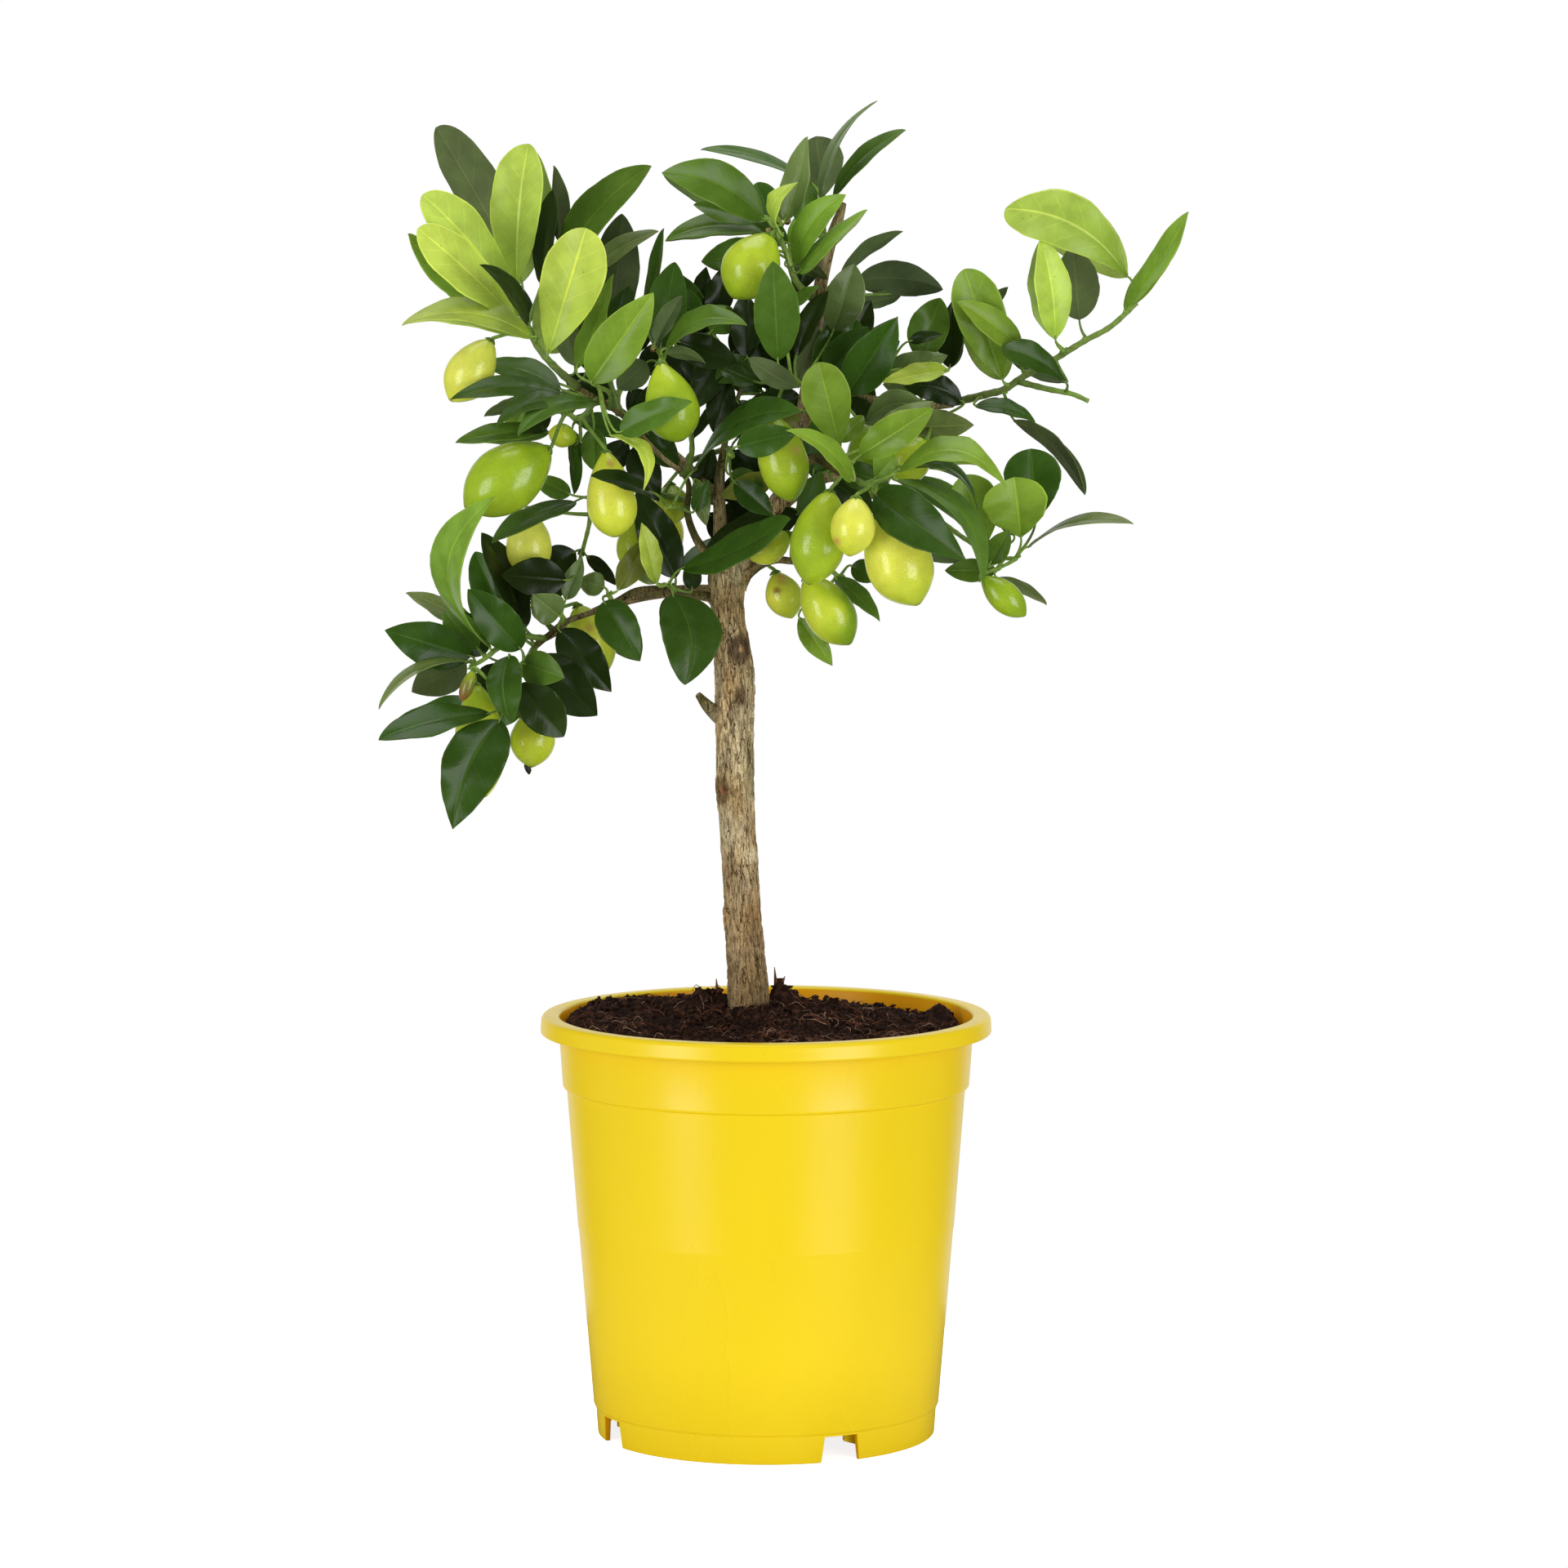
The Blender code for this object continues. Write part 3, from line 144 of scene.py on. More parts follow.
# Leafy shoots. Stem and spur: (x, z, depth) points.
# Leaf: base x, z, depth; tip x, z, depth; width as it shows; arch; tone
SHOOTS: dict[str, dict[str, tuple]] = {
    "shoot_upper_left": {
        "stem": ((-79, 443, -24), (-88, 451, -24), (-95, 459, -22), (-100, 468, -20)),
        "leaves": (
            (-103, 490, 2, -137, 551, 10, 21, 0, "grey"), (-104, 485, -12, -99, 544, -16, 22, 0, "bright"),
            (-105, 478, -24, -143, 523, -34, 18, 0, "bright"),
            (-104, 471, -34, -145, 509, -48, 18, 0, "bright"),
            (-110, 473, -10, -149, 507, -10, 11, -5, "fresh"),
            (-98, 464, -40, -152, 469, -54, 11, 6, "bright"), (-91, 457, -38, -75, 509, -46, 26, 0, "bright"),
            (-99, 469, -44, -119, 494, -62, 7, 3, "deep"), (-94, 486, 10, -89, 525, 16, 9, 0, "deep"),
            (-75, 450, -16, -71, 480, -12, 10, 0, "deep"), (-80, 452, -4, -86, 478, 2, 11, 0, "grey"),
        ),
    },
    "shoot_left_crown": {
        "stem": ((-71, 438, -22), (-77, 430, -32), (-84, 432, -34)),
        "leaves": (
            (-86, 442, -20, -121, 452, -2, 9, 2, "mid"), (-86, 440, -34, -132, 438, -38, 9, 3, "dark"),
            (-93, 437, -10, -118, 431, -8, 6, 0, "grey"), (-95, 444, 4, -108, 421, 10, 14, 0, "fresh"),
            (-79, 436, -42, -113, 427, -58, 8, 4, "dark"), (-90, 431, -18, -103, 424, -20, 9, 0, "deep"),
            (-91, 424, -18, -130, 420, -14, 8, 0, "mid"), (-81, 425, -20, -80, 398, -18, 5, 0, "dark"),
            (-72, 426, -20, -72, 408, -13, 11, 0, "mid"),
        ),
    },
    "shoot_left_inner": {
        "stem": ((-65, 434, -20), (-65, 440, -30), (-70, 443, -37)),
        "leaves": (
            (-79, 451, -28, -64, 490, -30, 9, -2, "fresh"), (-73, 445, -38, -47, 482, -50, 20, 0, "fresh"),
            (-69, 436, -42, -104, 423, -66, 8, 5, "mid"), (-61, 424, -64, -31, 437, -74, 12, 0, "mid"),
            (-65, 423, -60, -51, 400, -68, 6, 8, "bright"),
        ),
    },
    "shoot_high_left": {
        "stem": ((-62, 434, -14), (-66, 448, -4), (-72, 466, 4), (-78, 480, 8)),
        "leaves": (
            (-86, 490, 6, -48, 535, -2, 16, 4, "mid"), (-74, 490, 18, -45, 508, 14, 8, 2, "sage"),
            (-64, 466, 22, -60, 515, 26, 20, 0, "grey"), (-64, 462, 4, -57, 485, 6, 13, 0, "dark"),
            (-85, 502, 22, -88, 535, 26, 8, 0, "grey"),
        ),
    },
    "shoot_centre_left": {
        "stem": ((-33, 408, -8), (-31, 420, -20), (-36, 440, -30), (-44, 456, -38)),
        "leaves": (
            (-44, 460, -28, -38, 495, -20, 17, 0, "dark"), (-46, 462, -44, -35, 481, -50, 8, 0, "grey"),
            (-42, 459, -46, -8, 469, -64, 9, 7, "mid"), (-41, 457, -42, -25, 453, -52, 5, 1, "grey"),
            (-50, 470, -16, -43, 509, -10, 5, -1, "dark"), (-50, 453, -22, -62, 442, -20, 12, 0, "grey"),
            (-37, 462, -34, -12, 453, -40, 14, 0, "deep"),
        ),
    },
    "shoot_inner_back": {
        "stem": ((-14, 436, 2), (-20, 448, 8), (-26, 462, 10)),
        "leaves": (
            (-33, 466, 8, -33, 484, 8, 14, 0, "dark"), (-29, 468, 14, -25, 493, 18, 10, 0, "deep"),
            (-23, 466, 4, -14, 476, 6, 14, 0, "mid"), (-23, 466, 22, -19, 484, 26, 7, 0, "dark"),
            (-21, 437, -2, -29, 455, -8, 10, 0, "deep"), (-8, 455, 0, -9, 482, 4, 13, 0, "deep"),
        ),
    },
    "shoot_high_centre": {
        "stem": ((19, 480, -5), (12, 488, -12), (9, 498, -16), (4, 508, -20), (1, 513, -20)),
        "leaves": (
            (-1, 513, -24, -43, 532, -44, 18, 5, "mid"), (-3, 512, -16, -30, 519, -20, 9, 0, "mid"),
            (-1, 507, -14, -42, 504, -20, 9, 4, "mid"), (-1, 500, -4, -27, 495, 0, 14, 0, "mid"),
            (2, 514, -4, -4, 528, 4, 12, 0, "dark"), (8, 512, -26, 17, 547, -34, 11, -2, "sage"),
            (7, 506, -36, 13, 528, -50, 6, 6, "bright"), (12, 494, -32, 33, 523, -44, 12, 4, "fresh"),
            (14, 491, -36, 42, 517, -56, 6, 0, "fresh"),
        ),
    },
    "shoot_top": {
        "stem": ((25, 504, 8), (24, 511, 12), (24, 519, 12)),
        "leaves": (
            (24, 522, 18, 21, 547, 24, 20, 0, "grey"), (23, 521, 4, 46, 562, -6, 4, 5, "sage"),
            (28, 522, 10, 58, 550, 4, 7, 3, "mid"), (18, 528, 14, -27, 542, 18, 5, 3, "mid"),
        ),
    },
    "shoot_high_right": {
        "stem": ((23, 474, 3), (30, 478, 10), (36, 481, 12)),
        "leaves": (
            (31, 488, 8, 57, 508, 2, 6, 2, "grey"), (38, 487, 16, 74, 483.5, 12, 15, 3, "grey"),
            (56, 481, 16, 38, 477, 14, 7, 0, "grey"), (27, 474, 13, 20, 450, 12, 12, 0, "dark"),
        ),
    },
    "shoot_front_high": {
        "stem": ((15, 444, -6), (15, 444, -24), (9, 449, -38)),
        "leaves": (
            (5, 454, -46, 3, 495, -66, 19, 0, "mid"), (13, 443, -44, -7, 455, -50, 10, -1, "grey"),
            (13, 456, -26, 26, 483, -26, 9, 0, "deep"), (10, 476, -24, 22, 485, -30, 5, 0, "mid"),
            (-4, 445, -30, -20, 452, -34, 10, 0, "dark"), (28, 466, -13, 37, 494, -18, 17, 0, "sage"),
        ),
    },
    "shoot_right_inner": {
        "stem": ((36, 443, 6), (42, 446, 0), (50, 449, -4)),
        "leaves": (
            (33, 449, -6, 37, 472, -4, 17, 0, "dark"), (34, 440, -22, 55, 472, -40, 19, 0, "dark"),
            (50, 448, 2, 76, 456, 0, 13, 0, "sage"), (76, 450, -20, 49, 445, -14, 8, 0, "bright"),
            (60, 462, -14, 74, 465, -18, 5, 0, "deep"), (64, 455, 6, 73, 480, 8, 17, 0, "mid"),
            (77, 451, 18, 78, 479, 20, 11, 0, "deep"),
        ),
    },
    "shoot_front_centre": {
        "stem": ((29, 408, -33), (30, 415, -42), (36, 411, -54)),
        "leaves": (
            (31, 418, -46, 22, 453, -60, 20, 0, "fresh"), (39, 414, -58, 70, 434, -68, 15, 0, "fresh"),
            (45, 420, -34, 70, 437, -32, 13, 0, "sage"), (36, 404, -62, 9, 425, -78, 8, 3, "fresh"),
            (31, 420, -28, 41, 431, -22, 8, 0, "fresh"),
        ),
    },
    "shoot_front_right": {
        "stem": ((42, 402, -50), (46, 403, -54), (52, 405, -54)),
        "leaves": (
            (56, 408, -52, 101, 401, -66, 11, 10, "fresh"), (46, 398, -66, 84, 370, -92, 21, 0, "dark"),
            (55, 404, -62, 91, 361, -80, 9, 10, "mid"), (58, 409, -40, 89, 391, -46, 4, 9, "dark"),
            (46, 405, -44, 54, 414, -34, 11, 0, "fresh"),
        ),
    },
    "shoot_low_right": {
        "stem": ((52, 401, 48), (66, 392, 30), (84, 379, 6), (97, 372, -8), (105, 371, -12)),
        "leaves": (
            (93, 378, -6, 83, 406, -12, 20, 0, "fresh"), (107, 380, -18, 104, 405, -26, 29, 0, "fresh"),
            (113, 387, -8, 111, 417, -14, 24, 0, "dark"), (94, 369, -24, 102, 383, -30, 10, 0, "mid"),
            (104, 381, 0, 97, 395, 4, 8, 0, "deep"), (110, 376, -16, 154, 386, -26, 4, 5, "sage"),
            (97, 366, -12, 75, 366, -8, 10, 0, "mid"), (97, 363, -16, 118, 352, -24, 5, 1, "sage"),
        ),
    },
    "shoot_right_branch": {
        "stem": (
            (81, 437, 12), (93, 440, 8), (100, 442, 6), (109, 448, 4), (120, 454, 2), (133, 462, 0),
            (144, 468, -2), (155, 478, -4),
        ),
        "spur": ((106, 445, 4), (118, 442, 2), (128, 440, 0), (135, 437, -2)),
        "leaves": (
            (99, 446, -2, 83, 492, -10, 21, 0, "fresh"), (107, 459, -6, 80, 478.5, -18, 12, 0, "fresh"),
            (92, 476, 12, 101, 484.5, 14, 5, 0, "grey"), (125, 445, -6, 99, 459, -16, 11, 2, "dark"),
            (151, 489, -4, 100, 517, -14, 24, 8, "bright"), (121, 463, -4, 115, 505, -10, 15, 0, "bright"),
            (131, 471, 8, 128, 502, 14, 19, 0, "grey"), (150, 475, -10, 176, 516, -16, 9, -2, "fresh"),
            (88, 435, 2, 113, 428, -4, 6, 2, "dark"), (104, 429, 3, 134, 398, -4, 6, 4, "grey"),
        ),
    },
    "shoot_right_base": {
        "stem": ((66, 433, 11), (68, 431, 4), (70, 429, 0)),
        "leaves": (
            (82, 437, -4, 58, 443, -8, 12, 3, "deep"), (58, 426, -6, 87, 427, -14, 14, 0, "sage"),
            (63, 440, 8, 49, 444, 4, 7, 0, "sage"),
        ),
    },
    "shoot_low_front": {
        "stem": ((-38, 358, -8), (-41, 360, -14)),
        "leaves": (
            (-38, 363, -8, -54, 400, -2, 17, 0, "deep"), (-46, 361, -22, -52, 386, -28, 9, 0, "bright"),
            (-35, 367, -24, 10, 388, -54, 13, -3, "dark"), (-39, 356, -20, -34, 318, -30, 25, 5, "dark"),
            (-46, 361, -12, -60, 371, -12, 7, 0, "sage"), (-31, 358, -10, -31, 370, -6, 8, 0, "deep"),
        ),
    },
    "shoot_low_middle": {
        "stem": ((-65, 354, -11), (-66, 356, -16)),
        "leaves": (
            (-62, 358, -18, -49, 380, -16, 11, 0, "olive"), (-68, 359, -12, -78, 362, -6, 10, 0, "sage"),
            (-68, 353, -24, -53, 328, -32, 17, 0, "dark"),
        ),
    },
    "shoot_low_left": {
        "stem": ((-85, 345, -14), (-86, 348, -18)),
        "leaves": (
            (-87, 347, -22, -98, 356, -30, 14, 0, "sage"), (-84, 354, -16, -77, 372, -12, 8, 0, "sage"),
            (-87, 341, -20, -65, 315, -22, 17, 0, "deep"),
        ),
    },
    "shoot_hanging_left": {
        "stem": ((-36, 396, 4), (-50, 399, 10), (-62, 400, 10), (-73, 397, 8), (-74, 386, 8), (-77, 374, 6)),
        "leaves": (
            (-75, 372, 2, -63, 360, 2, 6, 0, "deep"), (-80, 374, 4, -97, 362, 4, 15, 0, "deep"),
            (-84, 362, -20, -111, 364, -25, 17, 0, "deep"), (-80, 395, -18, -115, 378, -44, 9, 1, "mid"),
            (-82, 398, 4, -97, 405, 2, 9, 0, "mid"),
        ),
    },
    "shoot_left_cluster": {
        "stem": ((-97, 334, -16), (-99, 329, -28), (-103, 326, -38), (-107, 316, -50), (-110, 308, -60)),
        "leaves": (
            (-101, 342, -14, -119, 382, -12, 13, 0, "deep"), (-110, 344, 0, -122, 374, 4, 16, 0, "dark"),
            (-103, 333, -36, -125, 358, -46, 17, 0, "dark"), (-108, 330, -52, -107, 302, -74, 15, -3, "dark"),
            (-102, 327, -44, -85, 321, -60, 15, 0, "mid"), (-104, 318, -58, -85, 296, -58, 18, 0, "deep"),
            (-97, 329, -30, -71, 305, -38, 22, 0, "deep"), (-116, 306, -64, -163, 295, -76, 12, 2, "dark"),
            (-112, 303, -66, -132, 257, -76, 25, 4, "dark"),
        ),
    },
    "shoot_left_tip": {
        "stem": ((-93, 338, -15), (-104, 338, -26), (-113, 333, -31), (-118, 329, -32), (-123, 326, -33)),
        "leaves": (
            (-116, 334, -36, -114, 397, -76, 13, 17, "fresh"), (-121, 333, -20, -135, 349, -18, 14, 0, "mid"),
            (-124, 330, -28, -160, 341, -36, 19, 0, "dark"), (-122, 342, -10, -151, 357, -6, 9, 0, "sage"),
            (-125, 328, -40, -163, 308, -52, 4, 6, "sage"), (-126, 327, -26, -149, 315, -28, 17, 0, "grey"),
        ),
    },
    "shoot_middle": {
        "stem": ((-16, 417, -6), (-14, 414, -30), (-15, 415, -54)),
        "leaves": (
            (-12, 418, -62, 13, 424, -64, 13, 0, "dark"), (-13, 403, -14, 3, 389, -20, 11, 0, "dark"),
            (-15, 406, -8, -1, 401, -10, 10, 0, "mid"),
        ),
    },
    "shoot_low_centre": {
        "stem": ((-34, 392, -8), (-41, 393, -30)),
        "leaves": (
            (-48, 399, -47, -73, 406, -66, 7, 0, "deep"), (-30, 391, -16, -24, 404, -18, 7, 0, "dark"),
            (-30, 408, -26, 14, 433, -60, 10, 7, "dark"),
        ),
    },
    "shoot_low_under": {
        "stem": ((25, 368, -16), (31, 363, -18)),
        "leaves": (
            (29, 363, -20, 48, 345, -26, 8, 0, "mid"), (36, 368, -19, 48, 362, -20, 10, 0, "dark"),
            (14, 346, -20, 28, 326, -24, 10, 0, "fresh"), (17, 386, -11, 23, 408, -8, 12, 0, "dark"),
        ),
    },
}

# Shoots on the far side: the near shoot they follow, the depth its stem starts at, and how deep they grow
FAR_SHOOTS: dict[str, tuple[str, float, float]] = {
    "far_shoot_upper_left": ("shoot_upper_left", 62.0, 0.8),
    "far_shoot_left_inner": ("shoot_left_inner", 58.0, 0.8),
    "far_shoot_high_centre": ("shoot_high_centre", 24.0, 1.2),
    "far_shoot_right_branch": ("shoot_right_branch", 66.0, 1.0),
    "far_shoot_front_right": ("shoot_front_right", 60.0, 1.0),
    "far_shoot_left_cluster": ("shoot_left_cluster", 60.0, 0.8),
}

# Fruit: stalk end x, z; tip x, z; depth; width
FRUITS: tuple[Row, ...] = (
    (-115, 462, -132, 437, -20, 20),
    (-91, 417, -126, 392, -50, 28),
    (-67, 415.5, -63, 380, -40, 21),
    (-44, 452.5, -36, 420, -56, 22.5),
    (2, 506, -14, 480, -44, 24),
    (-100, 391, -99, 362, -10, 19.5),
    (-79, 421, -91, 424, -30, 10),
    (3, 430, 11, 395, -42, 21),
    (27, 399, 18, 360, -56, 23),
    (38, 396.5, 35, 372, -76, 18.5),
    (47, 388, 64, 351.5, -62, 28),
    (17, 363, 35.5, 335, -40, 21),
    (4, 365, 11, 346, -4, 15.5),
    (10, 381, -7, 371, -26, 14),
    (-79, 351, -68, 322, 4, 20),
    (-97, 307.5, -99, 283, -40, 18.5),
    (-122, 318, -118.5, 270.5, -42, 21),
    (91, 363, 109, 347, -44, 13),
    (67, 421, 53, 404, -22, 19),
    (-40, 402, -38, 386, 14, 15),
    (-52, 389, -58, 366, 14, 15),
    (-123, 324, -128, 311, -58, 6),
    (-30, 470, -28, 442, 62, 21),
    (42, 428, 45, 396, 84, 21),
    (-45, 396, -43, 368, 60, 20),
)

# Shoots deep in the crown, in the same form as the near ones; most of their leaves take the deep tone with
# its painted shade
INNER_SHOOTS: dict[str, dict[str, tuple]] = {
    "inner_foliage_left": {
        "stem": ((-46, 416, -4), (-50, 420, 6), (-57, 421, 10)),
        "leaves": (
            (-50, 424, 2, -37, 409, -2, 13, 0, "dark"), (-55, 418, 8, -45, 395, 6, 14, 0, "deep"),
            (-58, 420, 12, -72, 404, 14, 12, 0, "deep"), (-58, 424, 12, -82, 430, 16, 10, 0, "dark"),
            (-52, 426, 10, -42, 446, 12, 14, 0, "deep"),
        ),
    },
    "inner_foliage_limbs": {
        "stem": ((-20, 398, 3), (-24, 395, 8), (-28, 393, 12)),
        "leaves": (
            (-27, 399, 8, -22, 417, 6, 11, 0, "deep"), (-29, 402, 2, -25, 385, 0, 7, 0, "sage"),
            (-24, 390, 12, -10, 374, 14, 13, 0, "deep"), (-19, 397, 10, 0, 405, 8, 13, 0, "deep"),
            (-18, 392, 10, 4, 386, 10, 14, 0, "deep"), (14, 390, -4, -25, 376, -6, 15, 0, "deep"),
            (-30, 403, -10, -24, 389, -12, 7, 0, "sage"),
        ),
    },
    "inner_foliage_centre": {
        "stem": ((10, 432, 5), (4, 436, 10), (0, 440, 12)),
        "leaves": (
            (-2, 441, 10, -18, 453, 8, 13, 0, "dark"), (2, 442, 12, -6, 468, 12, 14, 0, "deep"),
            (10, 434, 2, -11, 426, -2, 12, 0, "dark"), (10, 442, 10, 14, 474, 12, 15, 0, "deep"),
            (6, 436, 14, 20, 422, 16, 14, 0, "deep"), (14, 433, -8, -8, 424, -14, 11, 0, "olive"),
            (2, 405, -8, -19, 397, -10, 11, 0, "olive"), (-12, 437, -6, 2, 414, -8, 15, 0, "deep"),
            (-14, 416, -2, 3, 401, -2, 14, 0, "deep"), (14, 439, 2, -10, 434, 2, 9, 0, "deep"),
        ),
    },
    "inner_foliage_right": {
        "stem": ((24, 457, 6), (29, 456, 10), (35, 455, 12)),
        "leaves": (
            (25, 451, 4, 42, 468, 0, 15, 0, "dark"), (33, 457, 12, 44, 479, 14, 14, 0, "deep"),
            (37, 454, 12, 56, 462, 14, 13, 0, "deep"), (24, 451, 10, 27, 430, 12, 14, 0, "deep"),
            (32, 451, 12, 46, 437, 14, 12, 0, "deep"), (34, 438, 4, 47, 428, 4, 9, 0, "deep"),
            (14, 446, -8, 22, 468, -10, 11, 0, "grey"), (24, 448, -9, 29, 472, -10, 13, 0, "dark"),
            (26, 448, -18, 43, 468, -20, 16, 0, "dark"), (42, 428, -22, 70, 432, -28, 12, 6, "sage"),
        ),
    },
    "inner_foliage_low_right": {
        "stem": ((20, 404, 16), (22, 407, 10), (26, 408, 6)),
        "leaves": (
            (20, 405, 6, 25, 432, 4, 13, 0, "dark"), (20, 410, 12, 8, 422, 14, 13, 0, "deep"),
            (29, 403, 8, 45, 390, 10, 14, 0, "deep"), (22, 400, 8, 17, 378, 6, 14, 0, "deep"),
            (31, 409, 8, 52, 402, 12, 12, 0, "dark"), (20, 408, -8, 25, 434, -9, 14, 0, "dark"),
        ),
    },
    "inner_foliage_far_right": {
        "stem": ((62, 430, 14), (67, 425, 12), (72, 422, 12)),
        "leaves": (
            (64, 424, 14, 50, 416, 16, 12, 0, "deep"), (66, 418, 12, 77, 408, 12, 9, 0, "fresh"),
        ),
    },
    "inner_foliage_top": {
        "stem": ((22, 506, 4), (16, 504, 5), (12, 500, 4)),
        "leaves": (
            (9, 493, -2, 26, 488, -10, 6, 1, "grey"), (18, 500, 5, 13, 482, 6, 12, 0, "deep"),
            (17, 509, 8, 16, 532, 8, 12, 0, "mid"), (9, 503, 6, -8, 512, 8, 11, 0, "dark"),
        ),
    },
    "inner_foliage_crown": {
        "stem": ((-62, 436, 6), (-60, 444, 10), (-56, 452, 14)),
        "leaves": (
            (-58, 450, 12, -70, 472, 14, 13, 0, "deep"), (-55, 457, 16, -51, 481, 16, 13, 0, "deep"),
            (-63, 440, 8, -84, 446, 10, 12, 0, "deep"), (-53, 450, 14, -37, 459, 16, 13, 0, "deep"),
            (-57, 442, 10, -46, 426, 12, 13, 0, "deep"),
        ),
    },
    "inner_foliage_high_left": {
        "stem": ((-12, 451, 2), (-18, 459, 8), (-23, 466, 12)),
        "leaves": (
            (-21, 463, 12, -39, 474, 14, 12, 0, "deep"), (-23, 470, 14, -15, 495, 16, 12, 0, "deep"),
            (-14, 457, 8, -2, 476, 10, 13, 0, "deep"), (-26, 468, 14, -40, 492, 16, 13, 0, "dark"),
            (-17, 455, 6, -31, 446, 6, 13, 0, "deep"), (-19, 456, -6, -32, 432, -8, 13, 0, "deep"),
            (-8, 455, -6, -21, 445, -8, 11, 0, "dark"), (-16, 446, -4, -22, 424, -6, 12, 0, "deep"),
            (-20, 436, -4, -31, 421, -6, 5, 0, "deep"), (-41, 459, -2, -30, 441, -2, 13, 0, "deep"),
        ),
    },
    "inner_foliage_low_left": {
        "stem": ((-92, 344, -8), (-94, 349, -2), (-97, 353, 2)),
        "leaves": (
            (-98, 354, 0, -112, 373, 2, 14, 0, "deep"), (-94, 353, 4, -86, 371, 6, 14, 0, "deep"),
            (-100, 350, 2, -122, 356, 4, 13, 0, "dark"), (-97, 357, 6, -104, 379, 8, 13, 0, "deep"),
        ),
    },
    "inner_foliage_cluster": {
        "stem": ((-99, 331, -14), (-102, 326, -8), (-104, 321, -6)),
        "leaves": (
            (-106, 323, -6, -124, 317, -6, 14, 0, "deep"), (-105, 317, -6, -112, 300, -6, 13, 0, "dark"),
            (-118, 331, -12, -132, 349, -14, 16, 0, "dark"), (-100, 320, -8, -86, 308, -8, 14, 0, "deep"),
        ),
    },
}

# A leaf's side veins: how many it has on either side, and how far they slant towards the tip
VEIN_COUNT = 9.0
VEIN_SLANT = 1.3

# The leaves with rounded ends, by shoot
BLUNT_LEAVES: dict[str, tuple[int, ...]] = {
    "shoot_upper_left": (0, 1, 2, 3, 6),
    "shoot_front_centre": (0,),
    "shoot_low_right": (0, 1, 2),
    "shoot_right_branch": (0, 3, 4),
    "shoot_top": (0,),
}

# Stems thicker than the rest, by shoot
STEM_RADII: dict[str, float] = {"shoot_right_branch": 1.5, "shoot_upper_left": 1.5, "shoot_high_centre": 1.4}

# Fruit with a slender neck at the stalk, and the fruit whose flower still clings to it, dried
NECKED_FRUIT = (3, 4)
WITHERED_FRUIT = 16

# Shoots that only show from behind and the sides: the near shoot each follows, its start depth and its spread
BACK_SHOOTS: dict[str, tuple[str, float, float]] = {
    "back_foliage_left_crown": ("shoot_left_crown", 44.0, 0.7),
    "back_foliage_centre_left": ("shoot_centre_left", 30.0, 0.9),
    "back_foliage_centre": ("shoot_front_high", 26.0, 0.9),
    "back_foliage_right_inner": ("shoot_right_inner", 46.0, 0.9),
    "back_foliage_low_front": ("shoot_low_front", 34.0, 0.9),
    "back_foliage_low_middle": ("shoot_low_middle", 42.0, 1.0),
    "back_foliage_low_left": ("shoot_low_left", 48.0, 0.9),
    "back_foliage_middle": ("shoot_middle", 30.0, 0.7),
}


# --------------------------------------------------------------------------------------------------
# Colours


@dataclass(frozen=True)
class Paint:
    """A display colour, each channel from 0 to 255."""

    red: float
    green: float
    blue: float

    def linear(self) -> tuple[float, float, float, float]:
        """The same colour as a shader needs it, with full opacity.

        Returns:
            Red, green, blue and 1.
        """
        channels = [value / 255.0 for value in (self.red, self.green, self.blue)]
        bright = [c / 12.92 if c <= 0.04045 else ((c + 0.055) / 1.055) ** 2.4 for c in channels]
        return (*bright, 1.0)

    def array(self) -> np.ndarray:
        """The linear colour as an array of four numbers."""
        return np.array(self.linear())


@dataclass(frozen=True)
class LeafPaint:
    """The colours of one leaf: its upper side at the petiole and the tip, and its underside."""

    petiole_end: Paint
    tip_end: Paint
    under: Paint


def blend(first: np.ndarray, second: np.ndarray, share: np.ndarray | float) -> np.ndarray:
    """Two colours mixed: the first where a share is 0, the second where it is 1."""
    return first * (1.0 - share) + second * share


LEAF_PAINTS: dict[Tone, LeafPaint] = {
    # The deep tone is partly the leaves' own dark green and partly painted shade, for leaves in the crown's
    # shadow
    Tone.DEEP: LeafPaint(Paint(27, 43, 8), Paint(40, 59, 15), Paint(62, 80, 38)),
    Tone.DARK: LeafPaint(Paint(44, 74, 14), Paint(61, 95, 26), Paint(78, 100, 50)),
    Tone.MID: LeafPaint(Paint(66, 98, 24), Paint(88, 123, 38), Paint(100, 126, 58)),
    Tone.FRESH: LeafPaint(Paint(100, 137, 34), Paint(131, 167, 54), Paint(122, 150, 58)),
    Tone.BRIGHT: LeafPaint(Paint(146, 180, 54), Paint(196, 221, 90), Paint(156, 186, 86)),
    Tone.GREY: LeafPaint(Paint(63, 87, 38), Paint(89, 110, 57), Paint(86, 104, 58)),
    # The sage tone is partly the leaves' own grey-green and partly a painted sheen
    Tone.SAGE: LeafPaint(Paint(96, 118, 56), Paint(120, 142, 80), Paint(118, 138, 84)),
    Tone.OLIVE: LeafPaint(Paint(96, 104, 34), Paint(108, 118, 42), Paint(120, 122, 60)),
}


@dataclass(frozen=True)
class FruitPaint:
    """A fruit's colours at the stalk, the middle and the tip, and on the flank that faces right, which is
    partly the fruit's own colour and partly painted shade and light.
    """

    stalk_end: Paint
    middle: Paint
    tip_end: Paint
    flank: Paint
    flank_share: float = 0.0


YELLOW = Paint(238, 240, 82)
PALE_YELLOW = Paint(243, 245, 102)
LIME = Paint(214, 228, 60)
FRESH_LIME = Paint(192, 214, 50)
GREEN = Paint(166, 196, 38)
DEEP_GREEN = Paint(130, 164, 26)
DULL_GREEN = Paint(132, 128, 50)
RUSTY = Paint(150, 100, 52)
TIP_BROWN = Paint(120, 110, 40)

